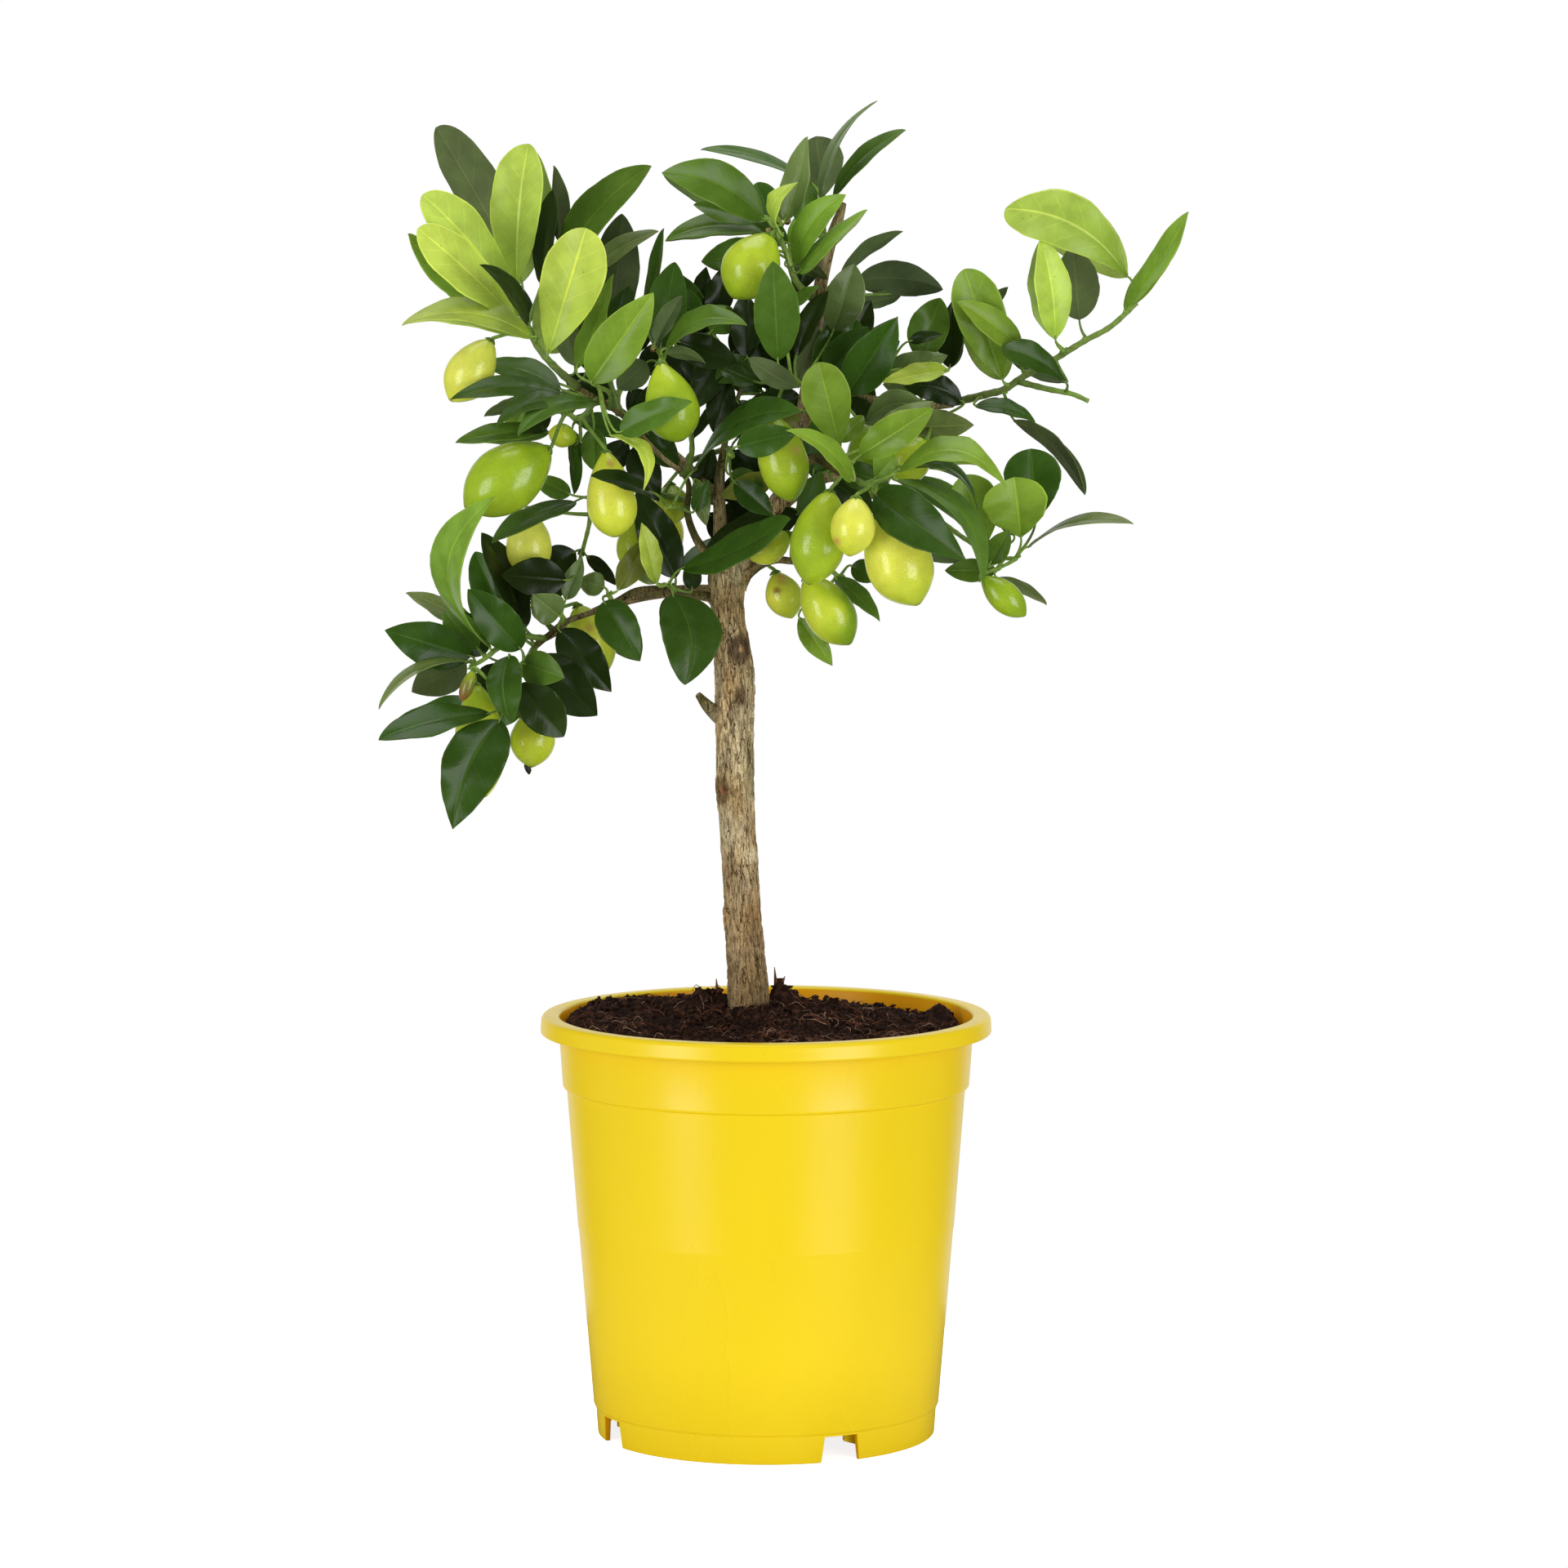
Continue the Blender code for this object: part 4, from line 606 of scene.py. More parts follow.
FRUIT_PAINTS: tuple[FruitPaint, ...] = (
    FruitPaint(PALE_YELLOW, PALE_YELLOW, YELLOW, LIME, 0.3),
    FruitPaint(GREEN, GREEN, GREEN, DEEP_GREEN, 0.5),
    FruitPaint(LIME, YELLOW, LIME, LIME, 0.3),
    FruitPaint(FRESH_LIME, GREEN, DEEP_GREEN, GREEN, 0.4),
    FruitPaint(FRESH_LIME, FRESH_LIME, GREEN, GREEN, 0.4),
    FruitPaint(PALE_YELLOW, PALE_YELLOW, YELLOW, LIME, 0.3),
    FruitPaint(GREEN, LIME, LIME, GREEN, 0.3),
    FruitPaint(GREEN, FRESH_LIME, GREEN, DEEP_GREEN, 0.5),
    FruitPaint(FRESH_LIME, GREEN, GREEN, FRESH_LIME, 0.3),
    FruitPaint(PALE_YELLOW, YELLOW, LIME, PALE_YELLOW, 0.4),
    FruitPaint(PALE_YELLOW, YELLOW, FRESH_LIME, LIME, 0.3),
    FruitPaint(FRESH_LIME, LIME, FRESH_LIME, DEEP_GREEN, 1.0),
    FruitPaint(LIME, YELLOW, LIME, GREEN, 0.5),
    FruitPaint(FRESH_LIME, LIME, LIME, GREEN, 0.4),
    FruitPaint(FRESH_LIME, YELLOW, GREEN, FRESH_LIME, 0.4),
    FruitPaint(FRESH_LIME, LIME, FRESH_LIME, FRESH_LIME, 0.3),
    FruitPaint(GREEN, FRESH_LIME, YELLOW, LIME, 0.4),
    FruitPaint(DEEP_GREEN, GREEN, GREEN, DEEP_GREEN, 0.5),
    FruitPaint(GREEN, FRESH_LIME, GREEN, GREEN, 0.3),
    FruitPaint(GREEN, FRESH_LIME, FRESH_LIME, GREEN, 0.3),
    FruitPaint(GREEN, FRESH_LIME, LIME, GREEN, 0.3),
    FruitPaint(GREEN, DULL_GREEN, RUSTY, GREEN, 0.2),
    FruitPaint(GREEN, FRESH_LIME, LIME, GREEN, 0.4),
    FruitPaint(DEEP_GREEN, DEEP_GREEN, GREEN, DEEP_GREEN, 0.5),
    FruitPaint(LIME, YELLOW, YELLOW, LIME, 0.4),
)

# Marks on the rind: fruit number, x, z, radius, colour
BLEMISHES: tuple[tuple[int, float, float, float, Paint], ...] = (
    (3, -65.0, 411.0, 1.6, Paint(206, 168, 62)),
    (8, 12.6, 416.5, 1.7, Paint(202, 176, 80)),
    (10, 29.4, 378.0, 1.8, Paint(214, 166, 84)),
    (13, 4.6, 357.5, 1.6, Paint(150, 96, 40)),
    (13, 6.4, 362.5, 2.4, Paint(214, 186, 84)),
    (16, -98.0, 281.5, 2.0, Paint(44, 34, 24)),
    (15, -74.0, 342.0, 1.8, Paint(206, 178, 84)),
)

# What a colour is multiplied by in the leaf stalks of dark leaves, and in buds
SHADED = np.array([0.62, 0.66, 0.6, 1.0])
BUD_SHADE = np.array([0.8, 0.8, 0.7, 1.0])

TWIG_GREEN = Paint(96, 132, 44)
TWIG_YOUNG = Paint(138, 172, 66)
TWIG_BROWN = Paint(90, 80, 46)
PETIOLE_GREEN = Paint(134, 166, 66)
CALYX_GREEN = Paint(104, 138, 44)
CUT_WOOD = Paint(196, 176, 116)
CUT_RING = Paint(112, 92, 52)
BARK_PALE = Paint(238, 220, 176)
BARK_TAN = Paint(198, 162, 108)
# The colour the trunk is painted towards its foot, darker and browner
BARK_LOWER_BROWN = Paint(142, 110, 70)
BARK_GROOVE = Paint(112, 90, 54)
BARK_MOSS = Paint(158, 152, 104)
SCAR_BROWN = Paint(82, 60, 40)
BARK_RED = Paint(168, 112, 76)
DRIED_BROWN = Paint(48, 38, 26)
SOIL_DARK = Paint(41, 22, 14)
SOIL_WARM = Paint(76, 46, 32)
FIBRE_RED = Paint(126, 80, 56)
FIBRE_TAN = Paint(170, 136, 112)
FIBRE_DARK = Paint(50, 32, 22)
POT_YELLOW = Paint(253, 220, 10)
POT_WORN = Paint(246, 196, 14)
# The pot's inside is painted a deeper orange than its outside: painted bounce light for the light reflected
# round inside the yellow pot
POT_INSIDE_BOUNCE_LIT = Paint(255, 182, 4)
POT_STAINED = Paint(120, 70, 20)


# --------------------------------------------------------------------------------------------------
# Places and paths


def front_view(x: float, z: float, depth: float) -> Vector:
    """The point, in millimetres, at a depth behind the pot's axis that shows at (x, z) from the front."""
    reach = 1.0 - depth / EYE.y
    return Vector((EYE.x + (x - EYE.x) * reach, depth, EYE.z + (z - EYE.z) * reach))


def front_place(point: Vector) -> tuple[float, float]:
    """Where a point shows from the front, which is the inverse of front_view()."""
    reach = 1.0 - point.y / EYE.y
    return EYE.x + (point.x - EYE.x) / reach, EYE.z + (point.z - EYE.z) / reach


def limb_path(rows: Iterable[Row]) -> Curve:
    """The path of a limb: each point with its radius."""
    return [(front_view(x, z, depth), radius) for x, z, depth, radius in rows]


def runs_of(paths: Iterable[Curve]) -> Runs:
    """The straight runs of some paths, each as its two ends and their radii."""
    return [(a[0], b[0], a[1], b[1]) for path in paths for a, b in zip(path, path[1:])]


def nearest_on(runs: Runs, point: Vector, inset: float = 0.0) -> tuple[Vector, float, Vector]:
    """The place on some runs nearest to a point.

    Args:
        runs: Straight runs, as runs_of() gives them.
        point: The point to reach.
        inset: The share of a run at each end that is left out.

    Returns:
        The place, the radius there and the run's direction.
    """
    best = None
    for start, end, radius, end_radius in runs:
        along = end - start
        share = min(1.0 - inset, max(inset, (point - start).dot(along) / along.length_squared))
        foot = start + along * share
        distance = (point - foot).length
        if best is None or distance < best[0]:
            best = (distance, foot, radius + (end_radius - radius) * share, along.normalized())
    return best[1:]


def smooth_path(path: Curve, step: float) -> Curve:
    """A smooth curve through a path's points, with a point about every step.

    Args:
        path: The points with their radii.
        step: The distance between the new points.

    Returns:
        The new points with their radii.
    """
    places = [point for point, _ in path]
    radii = [radius for _, radius in path]
    places = [places[0] * 2.0 - places[1], *places, places[-1] * 2.0 - places[-2]]
    radii = [radii[0], *radii, radii[-1]]
    smooth = []
    for index in range(1, len(places) - 2):
        before, start, end, after = places[index - 1 : index + 3]
        count = max(1, round((end - start).length / step))
        for number in range(count):
            t = number / count
            bend = (
                start * 2.0
                + (end - before) * t
                + (before * 2.0 - start * 5.0 + end * 4.0 - after) * t**2
                + (start * 3.0 - before - end * 3.0 + after) * t**3
            )
            smooth.append((bend * 0.5, radii[index] + (radii[index + 1] - radii[index]) * t))
    smooth.append((places[-2], radii[-2]))
    return smooth


# --------------------------------------------------------------------------------------------------
# Meshes


def ring_angles(count: int) -> np.ndarray:
    """The angles of points spread evenly round a ring."""
    return np.arange(count) * (FULL_TURN / count)


def new_object(name: str, data: bpy.types.ID) -> Object:
    """A new object in the scene.

    Args:
        name: Its name.
        data: Its mesh, lamp or camera.

    Returns:
        The object.
    """
    thing = bpy.data.objects.new(name, data)
    bpy.context.scene.collection.objects.link(thing)
    return thing


def mesh_from(shape: bmesh.types.BMesh, name: str) -> bpy.types.Mesh:
    """A mesh made from a shape, which is used up.

    Args:
        shape: The shape.
        name: The mesh's name.

    Returns:
        The mesh.
    """
    mesh = bpy.data.meshes.new(name)
    shape.to_mesh(mesh)
    shape.free()
    return mesh


@lru_cache(maxsize=None)
def grid_faces(rows: int, columns: int, wrapped: bool) -> np.ndarray:
    """The quads of a grid of points, row by row.

    Args:
        rows: How many rows of points there are.
        columns: How many points a row has.
        wrapped: Whether each row closes into a ring.

    Returns:
        One line of four point numbers for each quad.
    """
    across = np.arange(columns if wrapped else columns - 1)
    along = np.arange(rows - 1)[:, None] * columns
    here = along + across
    beside = along + (across + 1) % columns
    return np.stack([here, here + columns, beside + columns, beside], axis=-1).reshape(-1, 4)


class MeshDraft:
    """Gathers points, faces, material numbers, paint and marks for one mesh."""

    def __init__(self) -> None:
        """Start with nothing."""
        self.points: list[np.ndarray] = []
        self.paint: list[np.ndarray] = []
        self.marks: list[np.ndarray] = []
        self.faces: list[tuple[int, ...]] = []
        self.slots: list[int] = []
        self.count = 0

    def add(
        self,
        points: np.ndarray,
        faces: Iterable,
        slot: int,
        paint: np.ndarray,
        marks: np.ndarray | None = None,
    ) -> int:
        """Add some points and the faces between them.

        Args:
            points: One line of x, y, z for each point, in millimetres from the pot's axis.
            faces: Point numbers of each face, counted from this call's first point.
            slot: The number of the faces' material.
            paint: One linear colour, or one for each point.
            marks: Three numbers for each point that the material reads.

        Returns:
            The number of the first point added.
        """
        first = self.count
        points = np.asarray(points, float).reshape(-1, 3)
        total = len(points)
        self.points.append(points)
        self.paint.append(np.broadcast_to(paint, (total, 4)))
        self.marks.append(np.zeros((total, 3)) if marks is None else np.broadcast_to(marks, (total, 3)))
        added = [tuple(int(corner) + first for corner in face) for face in faces]
        self.faces += added
        self.slots += [slot] * len(added)
        self.count += total
        return first

    def add_bar(self, rings: np.ndarray, slot: int, paint: np.ndarray) -> None:
        """Add a bar that is closed at both ends.

        Args:
            rings: Its points, as an array of rings, sides and x, y, z.
            slot: The number of its material.
            paint: One colour, one for each ring, or one for each point.
        """
        count, sides = rings.shape[:2]
        paint = np.asarray(paint)
        if paint.ndim == 2 and len(paint) == count:
            paint = np.repeat(paint, sides, axis=0)
        faces = [tuple(reversed(face)) for face in grid_faces(count, sides, True)]
        faces.append(tuple(reversed(range(sides))))
        faces.append(tuple(range((count - 1) * sides, count * sides)))
        self.add(rings, faces, slot, paint)

    def make(self, name: str, materials: Sequence[Material]) -> Object:
        """The finished object, in metres in the CAD's frame.

        Args:
            name: The object's name.
            materials: The materials that the slots number.

        Returns:
            The object, linked to the scene.
        """
        mesh = bpy.data.meshes.new(name)
        points = (np.concatenate(self.points) - np.array(PLANT_MIDDLE)) * MM
        mesh.from_pydata(points.tolist(), [], self.faces)
        mesh.polygons.foreach_set("material_index", self.slots)
        mesh.polygons.foreach_set("use_smooth", [True] * len(self.faces))
        paint = mesh.attributes.new("paint", "FLOAT_COLOR", "POINT")
        paint.data.foreach_set("color", np.concatenate(self.paint).ravel())
        marks = mesh.attributes.new("marks", "FLOAT_VECTOR", "POINT")
        marks.data.foreach_set("vector", np.concatenate(self.marks).ravel())
        for material in materials:
            mesh.materials.append(material)
        mesh.validate()
        return new_object(name, mesh)


@dataclass
class Tube:
    """A round bar swept along a curve."""

    path: Curve
    sides: int

    def frames(self) -> tuple[np.ndarray, np.ndarray, np.ndarray]:
        """The rings' middles and two directions across each, turned as little as possible along the way.

        Returns:
            The middles, the first directions and the second ones.
        """
        centres = [point for point, _ in self.path]
        last = len(centres) - 1
        heading = (centres[1] - centres[0]).normalized()
        side = heading.orthogonal().normalized()
        firsts, seconds = [], []
        for index in range(len(centres)):
            ahead = (centres[min(index + 1, last)] - centres[max(index - 1, 0)]).normalized()
            side = heading.rotation_difference(ahead) @ side
            heading = ahead
            firsts.append(side.copy())
            seconds.append(heading.cross(side))
        return np.array(centres), np.array(firsts), np.array(seconds)

    def rings(self) -> np.ndarray:
        """The points of every ring.

        Returns:
            An array of rings, sides and x, y, z.
        """
        centres, firsts, seconds = self.frames()
        radii = np.array([radius for _, radius in self.path])[:, None, None]
        angles = ring_angles(self.sides)[:, None]
        across = firsts[:, None] * np.cos(angles) + seconds[:, None] * np.sin(angles)
        return centres[:, None] + across * radii

    def draw(self, draft: MeshDraft, slot: int, paint: np.ndarray) -> None:
        """Add the bar to a mesh in a material's slot, with one colour or one for each ring."""
        draft.add_bar(self.rings(), slot, paint)


def bake_modifiers(thing: Object) -> None:
    """Replace an object's mesh by the one its modifiers give, and drop the modifiers.

    Args:
        thing: The object.
    """
    shown = thing.evaluated_get(bpy.context.evaluated_depsgraph_get())
    mesh = bpy.data.meshes.new_from_object(shown)
    thing.modifiers.clear()
    thing.data = mesh


def attach(thing: Object, slot: str, *nodes: str) -> Object:
    """Let a piece ride on the plant, and stand for CAD nodes.

    Args:
        thing: The piece.
        slot: The record's material slot; not used.
        nodes: The CAD nodes that it replaces.

    Returns:
        The same piece.
    """
    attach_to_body(thing, BODY)
    if nodes:
        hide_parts(*nodes)
    LOG.info("%s: %d faces", thing.name, len(thing.data.polygons))
    return thing


def ripple(points: np.ndarray, scale: Sequence[float], seed: float) -> np.ndarray:
    """Smooth noise from about -1 to 1 at each point, with scale in bumps a millimetre along each axis."""
    shifted = points.reshape(-1, 3) * np.array(scale) + seed
    return np.array([noise.noise(Vector(place)) for place in shifted])


# --------------------------------------------------------------------------------------------------
# Shader building


class NodeDraft:
    """Adds and joins the nodes of one material or group."""

    def __init__(self, tree: NodeTree) -> None:
        """Start with a node tree."""
        self.tree = tree

    def add(self, kind: str, inputs: dict | None = None, **settings: object) -> Node:
        """Add a node.

        Args:
            kind: The node's type, without ShaderNode in front.
            inputs: What goes in each input, by name or number: a socket to join or a value to set.
            settings: The node's own settings.

        Returns:
            The new node.
        """
        node = self.tree.nodes.new("ShaderNode" + kind)
        for name, value in settings.items():
            setattr(node, name, value)
        for key, value in (inputs or {}).items():
            self.feed(node.inputs[key], value)
        return node

    def feed(self, socket: NodeSocket, value: object) -> None:
        """Join a socket to an input, or set the input to a value.

        Args:
            socket: The input.
            value: The socket to join or the value to set.
        """
        if isinstance(value, NodeSocket):
            self.tree.links.new(value, socket)
        else:
            socket.default_value = value

    def fill(self, node: Node, **inputs: object) -> None:
        """Feed a node's inputs by name, where an underscore stands for a space."""
        for name, value in inputs.items():
            self.feed(node.inputs[name.replace("_", " ")], value)

    def math(self, operation: str, first: object, second: object = 0.0) -> NodeSocket:
        """The result of a sum on one or two numbers."""
        return self.add("Math", {0: first, 1: second}, operation=operation).outputs[0]

    def times(self, first: object, second: object) -> NodeSocket:
        """The product of two numbers."""
        return self.math("MULTIPLY", first, second)

    def plus(self, first: object, second: object) -> NodeSocket:
        """The sum of two numbers."""
        return self.math("ADD", first, second)

    def minus(self, first: object, second: object) -> NodeSocket:
        """The first number less the second."""
        return self.math("SUBTRACT", first, second)

    def mix(self, share: object, first: object, second: object, blend_type: str = "MIX") -> NodeSocket:
        """Two colours mixed by a share from 0 to 1."""
        node = self.add("Mix", {0: share, 6: first, 7: second}, data_type="RGBA", blend_type=blend_type)
        return node.outputs[2]

    def tinted(self, colour: object, tint: Row) -> NodeSocket:
        """A colour with each channel multiplied by a tint's."""
        return self.mix(1.0, colour, (*tint, 1.0), "MULTIPLY")

    def step(self, value: object, low: float, high: float) -> NodeSocket:
        """A smooth step: 0 where a value is at low, 1 where it is at high."""
        inputs = {"Value": value, "From Min": low, "From Max": high}
        return self.add("MapRange", inputs, interpolation_type="SMOOTHSTEP").outputs[0]

    def cloud(self, where: object, scale: object, detail: float, roughness: float = 0.5) -> NodeSocket:
        """Soft noise between 0 and 1."""
        inputs = {"Vector": where, "Scale": scale, "Detail": detail, "Roughness": roughness}
        return self.add("TexNoise", inputs).outputs[0]

    def place(self, stretch: Row = (1.0, 1.0, 1.0)) -> NodeSocket:
        """The place on the object, in metres, stretched along its axes."""
        where = self.add("TexCoord").outputs["Object"]
        return self.add("VectorMath", {0: where, 1: stretch}, operation="MULTIPLY").outputs[0]

    def paint(self) -> NodeSocket:
        """The colour painted on the mesh."""
        return self.add("Attribute", attribute_name="paint").outputs["Color"]

    def marks(self) -> Node:
        """The three marks painted on the mesh, split into X, Y and Z."""
        vector = self.add("Attribute", attribute_name="marks").outputs["Vector"]
        return self.add("SeparateXYZ", {0: vector})

    def bump(self, height: object, strength: float, depth: float) -> NodeSocket:
        """A normal bent by a height, with the bump's depth in millimetres."""
        inputs = {"Height": height, "Strength": strength, "Distance": depth * MM}
        return self.add("Bump", inputs).outputs["Normal"]


class Effect(Enum):
    """The shader effects that several finishes share, each a node group."""

    MOTTLE = "mottle"
    SPECKS = "specks"
    RELIEF = "fine_relief"
    FISSURES = "bark_fissures"
    VEINS = "leaf_veins"


def new_group(
    effect: Effect, inputs: dict[str, tuple[str, float]], outputs: dict[str, str]
) -> tuple[NodeTree, NodeDraft, Node, Node]:
    """An empty node group with its sockets.

    Args:
        effect: The effect it makes.
        inputs: Each input's kind and default.
        outputs: Each output's kind.

    Returns:
        The group, its draft, its input node and its output node.
    """
    tree = bpy.data.node_groups.new(effect.value, "ShaderNodeTree")
    for name, (kind, default) in inputs.items():
        socket = tree.interface.new_socket(name=name, in_out="INPUT", socket_type="NodeSocket" + kind)
        if kind == "Float":
            socket.default_value = default
    for name, kind in outputs.items():
        tree.interface.new_socket(name=name, in_out="OUTPUT", socket_type="NodeSocket" + kind)
    start = tree.nodes.new("NodeGroupInput")
    end = tree.nodes.new("NodeGroupOutput")
    return tree, NodeDraft(tree), start, end


def mottle_group() -> NodeTree:
    """A group that makes a colour a little lighter and darker in soft patches.

    Returns:
        The group.
    """
    inputs = {
        "Color": ("Color", 0.0), "Vector": ("Vector", 0.0),
        "Scale": ("Float", 80.0), "Spread": ("Float", 0.2),
    }
    tree, draft, start, end = new_group(Effect.MOTTLE, inputs, {"Color": "Color", "Mask": "Float"})
    cloud = draft.cloud(start.outputs["Vector"], start.outputs["Scale"], 4.0)
    mask = draft.step(cloud, 0.3, 0.7)
    dark = draft.minus(1.0, start.outputs["Spread"])
    bright = draft.plus(1.0, start.outputs["Spread"])
    level = draft.plus(dark, draft.times(draft.minus(bright, dark), mask))
    scaled = draft.add("VectorMath", {0: start.outputs["Color"], "Scale": level}, operation="SCALE")
    draft.fill(end, Color=scaled.outputs[0], Mask=mask)
    return tree


def specks_group() -> NodeTree:
    """A group that marks small scattered spots.

    Returns:
        The group.
    """
    inputs = {"Vector": ("Vector", 0.0), "Scale": ("Float", 300.0), "Size": ("Float", 0.2)}
    tree, draft, start, end = new_group(Effect.SPECKS, inputs, {"Mask": "Float"})
    size = start.outputs["Size"]
    cells = draft.add("TexVoronoi", {"Vector": start.outputs["Vector"], "Scale": start.outputs["Scale"]})
    inside = draft.minus(size, cells.outputs["Distance"])
    spot = draft.step(draft.math("DIVIDE", inside, size), 0.0, 0.6)
    lot = draft.add("SeparateColor", {0: cells.outputs["Color"]}).outputs[0]
    draft.fill(end, Mask=draft.times(spot, draft.math("GREATER_THAN", lot, 0.62)))
    return tree


def relief_group() -> NodeTree:
    """A group that gives the height of a fine uneven surface.

    Returns:
        The group.
    """
    inputs = {"Vector": ("Vector", 0.0), "Scale": ("Float", 600.0), "Coarse Share": ("Float", 0.5)}
    tree, draft, start, end = new_group(Effect.RELIEF, inputs, {"Height": "Float"})
    vector, scale = start.outputs["Vector"], start.outputs["Scale"]
    fine = draft.cloud(vector, scale, 5.0, 0.6)
    coarse = draft.cloud(vector, draft.times(scale, 0.17), 2.0)
    draft.fill(end, Height=draft.plus(fine, draft.times(coarse, start.outputs["Coarse Share"])))
    return tree


def fissures_group() -> NodeTree:
    """A group that marks thin wandering cracks, broken in places.

    Returns:
        The group.
    """
    inputs = {"Vector": ("Vector", 0.0), "Scale": ("Float", 500.0), "Width": ("Float", 0.03)}
    tree, draft, start, end = new_group(Effect.FISSURES, inputs, {"Mask": "Float"})
    vector, scale = start.outputs["Vector"], start.outputs["Scale"]
    beside = draft.math("ABSOLUTE", draft.minus(draft.cloud(vector, scale, 2.0), 0.5))
    crack = draft.step(draft.math("DIVIDE", beside, start.outputs["Width"]), 1.0, 0.25)
    gaps = draft.step(draft.cloud(vector, draft.times(scale, 0.7), 1.0), 0.36, 0.52)
    draft.fill(end, Mask=draft.times(crack, gaps))
    return tree


def veins_group() -> NodeTree:
    """A group that marks a leaf's midrib, side veins and edge from its marks (share along, share across).

    Returns:
        The group.
    """
    inputs = {
        "Along": ("Float", 0.0), "Across": ("Float", 0.0),
        "Count": ("Float", VEIN_COUNT), "Slant": ("Float", VEIN_SLANT),
    }
    outputs = {"Midrib": "Float", "Veins": "Float", "Edge": "Float"}
    tree, draft, start, end = new_group(Effect.VEINS, inputs, outputs)
    aside = draft.math("ABSOLUTE", start.outputs["Across"])
    climb = draft.times(start.outputs["Along"], start.outputs["Count"])
    phase = draft.minus(climb, draft.times(aside, start.outputs["Slant"]))
    centred = draft.math("ABSOLUTE", draft.minus(draft.math("FRACT", phase), 0.5))
    line = draft.step(centred, 0.43, 0.5)
    fading = draft.times(draft.step(aside, 0.98, 0.55), draft.step(aside, 0.0, 0.05))
    midrib = draft.step(aside, 0.056, 0.018)
    draft.fill(end, Midrib=midrib, Veins=draft.times(line, fading), Edge=draft.step(aside, 0.93, 0.985))
    return tree


class Finish:
    """What the finishes share: how a material starts, and the shared effects."""

    makers = {
        Effect.MOTTLE: mottle_group,
        Effect.SPECKS: specks_group,
        Effect.RELIEF: relief_group,
        Effect.FISSURES: fissures_group,
        Effect.VEINS: veins_group,
    }
    effects: dict[Effect, NodeTree] = {}

    @staticmethod
    def start(name: str) -> tuple[Material, NodeDraft, Node]:
        """A new material.

        Args:
            name: The material's name.

        Returns:
            The material, the draft of its nodes and its Principled shader.
        """
        material = bpy.data.materials.new(name)
        material.use_nodes = True
        return material, NodeDraft(material.node_tree), material.node_tree.nodes["Principled BSDF"]

    @staticmethod
    def effect(draft: NodeDraft, effect: Effect, **inputs: object) -> Node:
        """A shared effect placed in a material, with its own values.

        Args:
            draft: The material's draft.
            effect: The effect.
            inputs: What goes in each input; an underscore stands for a space.

        Returns:
            The group node.
        """
        if effect not in Finish.effects:
            Finish.effects[effect] = Finish.makers[effect]()
        node = draft.add("Group", node_tree=Finish.effects[effect])
        draft.fill(node, **inputs)
        return node


@dataclass(frozen=True)
class LeafFinish(Finish):
    """A leaf's skin: waxy above with a pale midrib, matt beneath with raised veins, and a painted highlight
    along its edge.
    """

    name: str
    rib: Row
    rib_share: float
    vein_share: float
    edge_highlight_share: float
    roughness: float
    vein_height: float
    midrib_height: float = 1.5
    speck_tint: Row = (0.45, 0.42, 0.30)
    speck_share: float = 0.8
    wear: float = 0.12
    gloss: float = 0.30

    def build(self) -> Material:
        """Build the finish.

        Returns:
            The material.
        """
        material, draft, shader = self.start(self.name)
        where = draft.place()
        marks = draft.marks()
        veins = self.effect(draft, Effect.VEINS, Along=marks.outputs[0], Across=marks.outputs[1]).outputs
        skin = self.effect(draft, Effect.MOTTLE, Color=draft.paint(), Vector=where, Scale=95.0, Spread=0.13)
        colour = skin.outputs["Color"]
        rib = draft.tinted(colour, self.rib)
        # The pale edge is a painted highlight along the leaf's rim; the pale midrib and veins are the leaf's
        # own colour
        shares = {"Veins": self.vein_share, "Midrib": self.rib_share, "Edge": self.edge_highlight_share}
        for mark, share in shares.items():
            colour = draft.mix(draft.times(veins[mark], share), colour, rib)
        specks = self.effect(draft, Effect.SPECKS, Vector=where, Scale=210.0, Size=0.09).outputs[0]
        dark = draft.tinted(colour, self.speck_tint)
        colour = draft.mix(draft.times(specks, self.speck_share), colour, dark)
        relief = self.effect(draft, Effect.RELIEF, Vector=where, Scale=900.0, Coarse_Share=0.8).outputs[0]
        ridges = draft.plus(veins["Veins"], draft.times(veins["Midrib"], self.midrib_height))
        height = draft.plus(draft.times(ridges, self.vein_height), relief)
        worn = draft.times(draft.minus(skin.outputs["Mask"], 0.5), self.wear)
        draft.fill(
            shader, Base_Color=colour, Roughness=draft.plus(worn, self.roughness),
            Normal=draft.bump(height, strength=0.35, depth=0.12), Specular_IOR_Level=self.gloss,
        )
        return material


@dataclass(frozen=True)
class TwigFinish(Finish):
    """Green twigs, leaf stalks and calyces: painted green with fine lines along them."""

    name: str = "green_twig"
    roughness: float = 0.5

    def build(self) -> Material:
        """Build the finish.

        Returns:
            The material.
        """
        material, draft, shader = self.start(self.name)
        where = draft.place()
        skin = self.effect(draft, Effect.MOTTLE, Color=draft.paint(), Vector=where, Scale=420.0, Spread=0.2)
        relief = self.effect(draft, Effect.RELIEF, Vector=where, Scale=1500.0, Coarse_Share=0.8).outputs[0]
        normal = draft.bump(relief, strength=0.5, depth=0.15)
        draft.fill(shader, Base_Color=skin.outputs["Color"], Normal=normal, Roughness=self.roughness)
        return material


